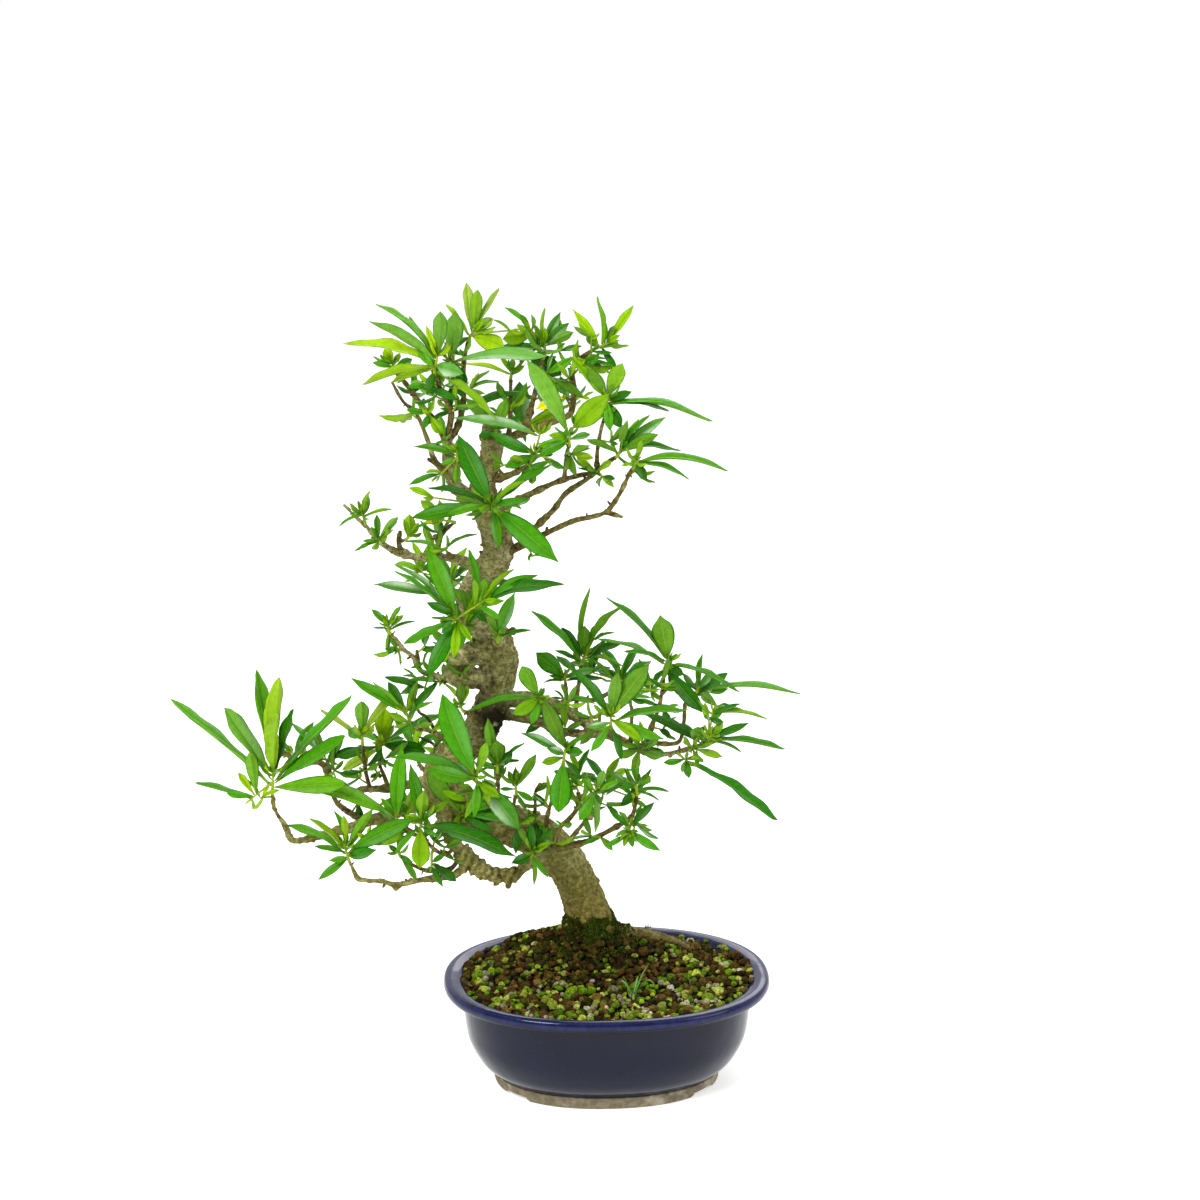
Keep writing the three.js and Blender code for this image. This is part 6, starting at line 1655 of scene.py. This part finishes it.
    def more_leaves(self, crown, depth, foot_x, foot_z, leaves):
        """A few leaves on a fine branchlet from the wood near them, or else from the shoot's crown."""
        wood, radius, gap = nearest_wood(foot_x, foot_z)
        start, foot_depth = crown, depth
        if gap < REACH_TO_WOOD:
            start = seen(*wood)
            foot_depth = wood[2] - math.sqrt(max(radius**2 - (gap + radius) ** 2, 0)) - 0.8
        foot = seen(foot_x, foot_z, foot_depth)
        heading = (foot - start).normalized() if (foot - start).length > 0.5 else UP
        end = foot + heading * 1.6
        self.stem([start, end], BRANCHLET_RADII)
        self.small_leaves(end, heading, 2)
        for i, leaf in enumerate(leaves):
            lean = lean_of(leaf, i + 1)
            if gap < 0 and radius > HIDING_RADIUS:
                lean = -0.12 - abs(lean)
            leaf_foot = foot + heading * self.rng.uniform(-0.4, 1.2)
            self.seen_leaf(leaf, leaf_foot, tip_of(leaf, leaf_foot, foot_depth, lean), leaf[3])

    def side_tufts(self, crown, count):
        """Small shoots with a few leaves each, on the twigs near a crown."""
        rng = self.rng
        places = []
        for limb in without_roots().values():
            points, radii = limb["points"], limb["radii"]
            for point, after, radius in zip(points, points[1:], radii):
                if TUFT_NEAR < (point - crown).length < TUFT_FAR and radius < TUFT_THICKEST:
                    places.append((point.lerp(after, rng.random()), after - point, radius))
        rng.shuffle(places)
        for place, along, radius in places[:count]:
            along = along.normalized()
            out = any_way_out(along, rng)
            heading = (out + along * 0.4 + UP * 0.6).normalized()
            end = place + out * radius + heading * rng.uniform(2, 6)
            self.stem([place, place + out * radius, end], TUFT_RADII)
            start = rng.uniform(*ANY_TURN)
            self.leaves_round(end, heading, start, rng.choice((3, 4, 5)), TUFT_LEAVES)

    def whorl(self, foot, count, length, first_angle):
        """Leaves that open away from the viewer, those that the solid has."""
        outward = Vector((0, 1, 0.35)).normalized()
        level = Vector((1, 0, 0))
        rise = level.cross(outward)
        width = WHORL_WIDTH * length
        for i in range(count):
            angle = first_angle + i * GOLDEN_ANGLE
            spread = level * math.cos(angle) + rise * math.sin(angle)
            reach = length * (1 - WHORL_SHORTENING * i)
            tip = foot + (outward + spread * WHORL_OPENING).normalized() * reach
            if self.gap_to_solid(tip) > TIP_MATCH:
                continue
            side, normal = blade_side(foot, tip, width * WHORL_TURN, width)
            self.leaf(foot, tip, side, normal, width, self.rng.choice("mmdy"))

    def finish(self):
        mesh = new_piece(self.name + "_leaves", self, leaf_material, self.name).data
        corner_of = np.empty(len(mesh.loops), dtype=np.int32)
        mesh.loops.foreach_get("vertex_index", corner_of)
        layer = mesh.uv_layers.new(name="leaf_map")
        layer.data.foreach_set("uv", np.array(self.uvs, dtype=np.float32)[corner_of].ravel())


def make_shoot(name, crown_place, leaves):
    shoot = Shoot("shoot_" + name)
    x, z, given_depth = crown_place
    depth = spread_depth(given_depth)
    crown = seen(x, z, depth)
    groups = {}
    for leaf in leaves:
        groups.setdefault(tuple(leaf[5:]), []).append(leaf)
    solid = {foot: [leaf for leaf in group if leaf[2] > LEAST_SOLID_WIDTH] for foot, group in groups.items()}
    count = len(solid.get((), [])) or 1
    heading, below = shoot.main_stem(crown, count, min(3 + count // 2, 7))
    for own_foot, group in groups.items():
        size = len(solid[own_foot])
        tuft = crown, heading, below
        if own_foot:
            middle = seen(*own_foot, depth)
            way = (middle - crown).normalized()
            tuft = middle, way, feet_below(size, (middle - crown).length)
            end = middle + way * (feet_span(size) - tuft[2] + BUD_LENGTH)
            shoot.end_stem([crown, end], BRANCHLET_RADII, way, 2)
        placed = []
        for i, leaf in enumerate(solid[own_foot]):
            lean = lean_of(leaf, i)
            way = (tip_of(leaf, tuft[0], depth, lean) - tuft[0]).normalized()
            placed.append((way.dot(tuft[1]), i, leaf, lean))
        placed.sort(key=lambda row: row[:2])
        for i, (_, _, leaf, lean) in enumerate(placed):
            foot = foot_on(*tuft, i, size)
            shoot.table_leaf(leaf, foot, shoot.solid_tip(leaf, foot, depth, lean), LEAST_WIDTH)
        for i, leaf in enumerate(leaf for leaf in group if leaf[2] <= LEAST_SOLID_WIDTH):
            foot = foot_on(*tuft, i + 0.5, max(size, 3))
            shoot.table_leaf(leaf, foot, tip_of(leaf, foot, depth, lean_of(leaf, i)), LEAST_THIN_WIDTH)
    for row in MORE_LEAVES.get(name, ()):
        shoot.more_leaves(crown, depth, *row)
    tufts = FEW_TUFTS if name.startswith("e") else (0 if name in BARE_SHOOTS else SIDE_TUFTS)
    shoot.side_tufts(crown, tufts)
    shoot.finish()


def make_back_shoot(name, crown_place, count, length):
    shoot = Shoot("shoot_" + name)
    x, z, given_depth = crown_place
    crown = seen(x, z, spread_depth(given_depth))
    shoot.main_stem(crown, 1, 5)
    shoot.whorl(crown, count, length, 0)
    for i, (reach, leaves, share) in enumerate(SIDE_FORKS, start=1):
        foot = crown + Vector(reach)
        if shoot.gap_to_solid(foot) > FORK_MATCH:
            continue
        outward = Vector(reach).normalized()
        shoot.end_stem([crown, foot + outward * BUD_LENGTH], BRANCHLET_RADII, outward, 4)
        shoot.whorl(foot, leaves, share * length, i)
    shoot.finish()


for row in SHOOTS:
    make_shoot(*row)
for row in BACK_SHOOTS:
    make_back_shoot(*row)


# Soil

SOIL_EDGE = 62.5
MOUND_HEIGHT = 15.5
MOUND_X, MOUND_Y, MOUND_WIDE, MOUND_DEEP = -6, 28, 46, 30
COLLAR_HEIGHT, COLLAR_X, COLLAR_Y, COLLAR_WIDE, COLLAR_DEEP = 4.5, 2, 17, 24, 9
HELD_HALF_LENGTH = 86
SOIL_HALF_LENGTH = 85.6
GRAIN_HALF_LENGTH = 89.5
SOIL_BOTTOM = FLOOR_TOP + 0.4
BASE_SIDES, BASE_RINGS, BASE_DEPTH = 180, 56, 1.6
# The filling's half length and height down the wall
SOIL_WALL = [(81.4, 34), (77, 18), (66, SOIL_BOTTOM)]
# The lip's inner side: half lengths and heights
LIP_INSIDE = [84, 89, 95], [58, 64.5, 66]
# Round the trunk's foot, within this reach along and across the pot, granules are brown and dark
TRUNK_FOOT, TRUNK_AROUND = (-2, 14), (34, 30)
# Only wood below this height carries granules and moss
LOW_WOOD = 110
GRAIN_RADII = [1.4, 1.7, 2.0, 2.4, 2.8, 3.2, 3.6]
COARSE_GRAIN = 2.4
# Neighbours are looked for in square cells of this size
GRAIN_CELL = 7.0
# How near two granules come, as a share of their radii, and how near the wood they are checked against it
GRAIN_CLOSENESS = 0.72
WOOD_CLOSENESS = 12
# How many places are tried and how deep a granule sinks there
GRAIN_LAYERS = (5200, 0.9), (5200, -0.6)
# Where the kinds start, on a scale from 0 to about 1
GREEN_FROM, PALE_FROM = 0.6, 1.08
# Granules on the roots: how many are tried, between which heights and how far from the trunk's middle
ROOT_GRAIN_TRIES = 2600
ROOT_HEIGHTS, ROOT_START = (70, 94), 14
STEEPEST_ROOT = 0.15
# How often a granule is left out on the left root and on the right one
LEFT_SKIPPED, RIGHT_SKIPPED = 0.45, 0.84
PALETTES = {
    "brown": palette((104, 72, 32), (78, 52, 24), (134, 100, 50), (52, 38, 20), (96, 58, 28)),
    "green": palette((192, 210, 72), (150, 190, 36), (214, 224, 112), (112, 154, 24)),
    "pale": palette((224, 222, 176), (210, 208, 156), (188, 182, 150), (232, 230, 208)),
}
ALGAE, EARTH, DAMP_EARTH = palette((96, 150, 12), (56, 38, 20), (40, 46, 12))
MOSSES = palette((50, 82, 8), (74, 108, 12), (34, 54, 8), (100, 122, 18), (70, 62, 24))
MOSS_SIDES = 3
MOSS_TRIES = 15000
# Moss is thickest in an oval round the trunk's foot: its half axes, and how fast it thins out beyond it
MOSS_OVAL, MOSS_THINNING = (11, 10), (13, 12)
MOSS_SHIFT = 5
MOSS_END = 0.97
# How near the wood moss climbs on it, and how high
MOSS_CLIMB, MOSS_TOP, MOSS_TOP_WANDER = 7, 94, 14
MOSS_PATCH_SCALE = 0.16
MOSS_LENGTHS, MOSS_WIDTHS = (0.7, 1.9), (0.3, 0.55)


def flat_noise(x, y, scale, layer):
    return noise.noise(Vector((x * scale, y * scale, layer)))


def soil_height(x, y):
    across, deep = (x - MOUND_X) / MOUND_WIDE, (y - MOUND_Y) / MOUND_DEEP
    held = max(1 - math.hypot(x / HELD_HALF_LENGTH, y / (HELD_HALF_LENGTH * DEPTH_TO_LENGTH)) ** 4, 0)
    mound = MOUND_HEIGHT * held * math.exp(-0.5 * (across * across + deep * deep))
    from_collar = math.hypot((x - COLLAR_X) / COLLAR_WIDE, (y - COLLAR_Y) / COLLAR_DEEP)
    return SOIL_EDGE + mound + COLLAR_HEIGHT * math.exp(-0.5 * from_collar**2)


def to_wall(x, y):
    """How far out a place is, from 0 at the middle to 1 at the lip's inner edge."""
    angle = math.atan2(y / DEPTH_TO_LENGTH, x)
    return math.hypot(x, y / DEPTH_TO_LENGTH) / (GRAIN_HALF_LENGTH * oval_factor(angle))


def make_soil_base():
    """The filling, whose top is the fine crumb between the granules."""
    base = Shape()
    for i in range(1, BASE_RINGS + 1):
        for x, y in oval_ring(SOIL_HALF_LENGTH * i / BASE_RINGS, BASE_SIDES):
            crumb = flat_noise(x, y, 0.75, 1) + 0.6 * flat_noise(x, y, 1.7, 5)
            base.points.append((x, y, soil_height(x, y) - BASE_DEPTH + 0.9 * crumb))
    for half_length, z in SOIL_WALL:
        base.points.extend((x, y, z) for x, y in oval_ring(half_length, BASE_SIDES))
    base.points.extend([(0, 0, soil_height(0, 0) - BASE_DEPTH), (0, 0, SOIL_BOTTOM)])
    base.faces = tube_faces(BASE_RINGS + len(SOIL_WALL), BASE_SIDES)
    base.tints = [blend(EARTH, DAMP_EARTH, flat_noise(x, y, 0.3, 3) + 0.1) for x, y, _ in base.points]
    new_piece("soil_base", base, grain_material, "soil")


def ball():
    bm = bmesh.new()
    bmesh.ops.create_icosphere(bm, subdivisions=2, radius=1)
    points = np.array([v.co[:] for v in bm.verts])
    faces = [tuple(v.index for v in f.verts) for f in bm.faces]
    bm.free()
    return points, faces


BALL_POINTS, BALL_FACES = ball()


def grain_points(radius, rng):
    """A lumpy, slightly flat granule turned any way."""
    offset = Vector([rng.uniform(0, 90) for _ in range(3)])
    scale = np.array([rng.uniform(0.85, 1.25), rng.uniform(0.8, 1.05), rng.uniform(0.6, 0.9)])
    lumps = np.array([1 + 0.5 * noise.noise(Vector(p) * 1.3 + offset) for p in BALL_POINTS])
    turn = Matrix.Rotation(rng.uniform(*ANY_TURN), 3, "Z") @ Matrix.Rotation(rng.uniform(-0.7, 0.7), 3, "X")
    return (BALL_POINTS * lumps[:, None] * scale * radius) @ np.array(turn).T


def pick_grain(x, y, radius, rng):
    """Which kind a granule is, in clusters of a kind, and its colour, darkened in broad patches of painted
    shadow.
    """
    mix = flat_noise(x, y, 0.06, 2) + 0.7 * flat_noise(x, y, 0.17, 6)
    pick = rng.random() + 0.75 * mix + 0.3 * clamp(-y / 60)
    if radius > COARSE_GRAIN and rng.random() < 0.5:
        pick -= 0.5
    from_trunk = math.hypot((x - TRUNK_FOOT[0]) / TRUNK_AROUND[0], (y - TRUNK_FOOT[1]) / TRUNK_AROUND[1])
    pick -= 0.7 * clamp(1.25 - from_trunk)
    kind = "brown" if pick < GREEN_FROM else ("green" if pick < PALE_FROM else "pale")
    # Painted shadow: granules are darkened in broad patches across the soil
    painted_shadow_patches = clamp(1.6 * flat_noise(x, y, 0.09, 11) + 0.2)
    tone_and_painted_shadow = rng.uniform(0.5, 1.3) * (1 - 0.4 * clamp(1.3 - from_trunk)) * (1 - 0.45 * painted_shadow_patches)
    return kind, rng.choice(PALETTES[kind]) * tone_and_painted_shadow


def add_grain(shapes, place, radius, rng):
    kind, colour = pick_grain(place.x, place.y, radius, rng)
    most = 0.8 if kind == "green" else 0.5
    points = [Vector(p) for p in grain_points(radius, rng)]
    tints = []
    for p in points:
        mossy = noise.noise(p * 0.6 + place * 0.4) + 0.25 * p.z / radius
        tints.append(blend(colour, ALGAE, most * (mossy - 0.1)))
    shapes[kind].add([place + p for p in points], BALL_FACES, tints)


def make_granules(wood, wood_places):
    rng = random.Random(11)
    shapes = {kind: Shape() for kind in PALETTES}
    taken = {}
    for tries, sink in GRAIN_LAYERS:
        for _ in range(tries):
            x = rng.uniform(-GRAIN_HALF_LENGTH, GRAIN_HALF_LENGTH)
            y = rng.uniform(-GRAIN_HALF_LENGTH, GRAIN_HALF_LENGTH) * DEPTH_TO_LENGTH
            radius = rng.choice(GRAIN_RADII) * rng.uniform(0.88, 1.12)
            out = to_wall(x, y)
            if out > 1 - radius * 0.5 / GRAIN_HALF_LENGTH:
                continue
            rise = 1.2 * clamp(flat_noise(x, y, 0.05, 7) + 0.3)
            z = soil_height(x, y) - sink + rise + rng.uniform(-0.3, 0.5)
            on_lip = float(np.interp(out * GRAIN_HALF_LENGTH, *LIP_INSIDE)) + 0.45 * radius
            place = Vector((x, y, max(z, on_lip)))
            column, row = int(x // GRAIN_CELL), int(y // GRAIN_CELL)
            cells = [(column + dx, row + dy) for dx in (-1, 0, 1) for dy in (-1, 0, 1)]
            others = [grain for cell in cells for grain in taken.get(cell, ())]
            if any((place - other).length < GRAIN_CLOSENESS * (radius + size) for other, size in others):
                continue
            found, normal, _, distance = wood.find_nearest(place)
            is_near_wood = found is not None and distance < WOOD_CLOSENESS
            if is_near_wood and (place - found).dot(normal) < 0.15 * radius:
                continue
            taken.setdefault((column, row), []).append((place, radius))
            add_grain(shapes, place, radius, rng)
    cover_roots(wood, wood_places, shapes, rng)
    for kind, shape in shapes.items():
        new_piece("soil_grains_" + kind, shape, grain_material, "soil")


def cover_roots(wood, wood_places, shapes, rng):
    """Granules that lie on the roots: thick on the left one, thin on the right one."""
    lowest, highest = ROOT_HEIGHTS
    roots = [p for p in wood_places if lowest < p[2] < highest and abs(p[0]) > ROOT_START]
    for _ in range(ROOT_GRAIN_TRIES):
        place = Vector(rng.choice(roots))
        _, normal, _, _ = wood.find_nearest(place)
        if normal is None or normal.z < STEEPEST_ROOT:
            continue
        bare = clamp((place.x - 5) / 12) * clamp((normal.z - 0.3) / 0.3)
        if rng.random() < (LEFT_SKIPPED if place.x < 0 else RIGHT_SKIPPED) + 0.4 * bare:
            continue
        radius = rng.uniform(0.7, 2.0)
        add_grain(shapes, place + normal * (0.2 * radius), radius, rng)


def make_moss(wood):
    """Short shoots of moss on the trunk's foot and on the soil round it."""
    rng = random.Random(5)
    shape = Shape()
    foot = seen(-9, 92, 28)
    for _ in range(MOSS_TRIES):
        angle, reach = rng.uniform(*ANY_TURN), abs(rng.gauss(0, 1))
        x = foot.x - MOSS_SHIFT + math.cos(angle) * (MOSS_OVAL[0] + MOSS_THINNING[0] * reach)
        y = foot.y + math.sin(angle) * (MOSS_OVAL[1] + MOSS_THINNING[1] * reach)
        if to_wall(x, y) > MOSS_END:
            continue
        ground = soil_height(x, y)
        found, normal, _, distance = wood.find_nearest(Vector((x, y, ground + rng.uniform(0, 16))))
        base, out = Vector((x, y, ground - 0.4)), UP
        if found is not None and distance < MOSS_CLIMB:
            if found.z < MOSS_TOP + MOSS_TOP_WANDER * noise.noise(found * MOSS_PATCH_SCALE):
                base, out = found, normal
        if noise.noise(base * MOSS_PATCH_SCALE) < -0.12 - 0.25 * clamp(1.6 - reach):
            continue
        axis = (out + Vector((rng.gauss(0, 0.5), rng.gauss(0, 0.5), 0.7))).normalized()
        length, width = rng.uniform(*MOSS_LENGTHS), rng.uniform(*MOSS_WIDTHS)
        side = axis.orthogonal().normalized()
        other = axis.cross(side)
        points = []
        for k in range(MOSS_SIDES):
            turn = k * 2 * math.pi / MOSS_SIDES + angle
            out = side * math.cos(turn) + other * math.sin(turn)
            points.append(base + out * width + axis * length * 0.4)
        points.extend([base - axis * 0.3, base + axis * length])
        tint = rng.choice(MOSSES) * rng.uniform(0.7, 1.25)
        tints = [tint * 0.6] * (MOSS_SIDES + 1) + [tint * 1.3]
        shape.add(points, tube_faces(1, MOSS_SIDES, inside_out=True), tints)
    new_piece("moss", shape, moss_material, "soil", smooth=False)


make_soil_base()
trunk_places = places_on(trunk_piece.data)
low_faces = [p.vertices[:] for p in trunk_piece.data.polygons if trunk_places[p.vertices[0]][2] < LOW_WOOD]
wood_tree = BVHTree.FromPolygons([Vector(p) for p in trunk_places], low_faces)
make_granules(wood_tree, trunk_places)
make_moss(wood_tree)


# Grass seedling

GRASS_FOOT = Vector((13.3, -39.7, 65))
GRASS_TIPS = [(9.5, 4, 20), (-6, -2, 15), (15, -5, 6), (4, 9, 11), (-10, 5, 6)]
GRASS_WIDTH = 1.7
GRASS_ROWS = 14
UPRIGHT_BLADE, UPRIGHT_BOW, FLAT_BOW = 10, 0.28, 0.75
GRASS_GREEN, SHEATH_GREEN = palette((88, 168, 40), (170, 190, 110))


def add_blade(shape, dx, dy, dz):
    flat = math.hypot(dx, dy)
    out = Vector((dx, dy, 0)) / flat
    across = UP.cross(out)
    up = UP - out * 0.3
    bow = UPRIGHT_BOW if dz > UPRIGHT_BLADE else FLAT_BOW
    points, tints = [], []
    for row in range(GRASS_ROWS + 1):
        t = row / GRASS_ROWS
        rise = dz * t + bow * flat * math.sin(math.pi * t) * (0.6 + 0.4 * t)
        centre = GRASS_FOOT + out * (flat * t) + Vector((0, 0, rise - 0.5))
        share = (0.55 + 0.6 * math.sin(math.pi * min(t * 0.9 + 0.1, 1))) * (1 - t**3)
        half = GRASS_WIDTH * share / 2 + 0.05
        points.extend([centre - across * half + up * 0.22, centre - up * 0.1,
                       centre + across * half + up * 0.22, centre + up * 0.06])
        tints.extend([GRASS_GREEN * (0.75 + 0.5 * t)] * 4)
    ends = [(3, 2, 1, 0), tuple(4 * GRASS_ROWS + k for k in range(4))]
    shape.add(points, ends + ring_faces(GRASS_ROWS + 1, 4, inside_out=True), tints)


def make_grass():
    shape = Shape()
    for tip in GRASS_TIPS:
        add_blade(shape, *tip)
    ends = [GRASS_FOOT - Vector((0, 0, 4)), GRASS_FOOT + Vector((0.2, 0, 2.2))]
    sheath, faces = sweep(ends, [0.95, 0.7], 10)
    shape.add(sheath, faces, [SHEATH_GREEN] * len(sheath))
    new_piece("grass_blades", shape, stem_material, "grass_seedling")


make_grass()


# Floor and light

FLOOR_HALF = 6.0
LIGHT_TARGET = Vector((0, 0, 0.25))


def make_floor():
    mesh = bpy.data.meshes.new("floor")
    corners = [(x * FLOOR_HALF, y * FLOOR_HALF, 0) for x, y in ((-1, -1), (1, -1), (1, 1), (-1, 1))]
    mesh.from_pydata(corners, [], [(0, 1, 2, 3)])
    floor = bpy.data.objects.new("floor", mesh)
    scene.collection.objects.link(floor)
    mesh.materials.append(make_floor_material())


def make_sky():
    """Brighter behind the tree and overhead."""
    world = bpy.data.worlds.new("studio")
    scene.world = world
    world.use_nodes = True
    sky = Nodes(world.node_tree)
    direction = sky.split(sky.coordinates("Generated"))
    behind = sky.ramp(direction["Y"], -0.5, 0.35, 0.27, 1.0)
    above = sky.ramp(direction["Z"], 0.35, 0.9, 0.0, 0.75)
    background = sky.tree.nodes["Background"].inputs
    sky.feed(background["Strength"], sky.math("MAXIMUM", behind, above))
    sky.feed(background["Color"], (1, 1, 1))


def add_light(name, place, size, power):
    data = bpy.data.lights.new(name, "AREA")
    data.shape = "DISK"
    data.size = size
    data.energy = power
    light = bpy.data.objects.new(name, data)
    scene.collection.objects.link(light)
    light.location = place
    light.rotation_euler = (LIGHT_TARGET - Vector(place)).to_track_quat("-Z", "Y").to_euler()


make_floor()
make_sky()
add_light("key", (-0.9, -1.3, 1.5), 0.8, 30)
add_light("fill", (1.4, -0.9, 0.9), 1.1, 9)
add_light("back", (0.4, 1.5, 1.3), 1.2, 12)
scene.view_settings.view_transform = "Standard"
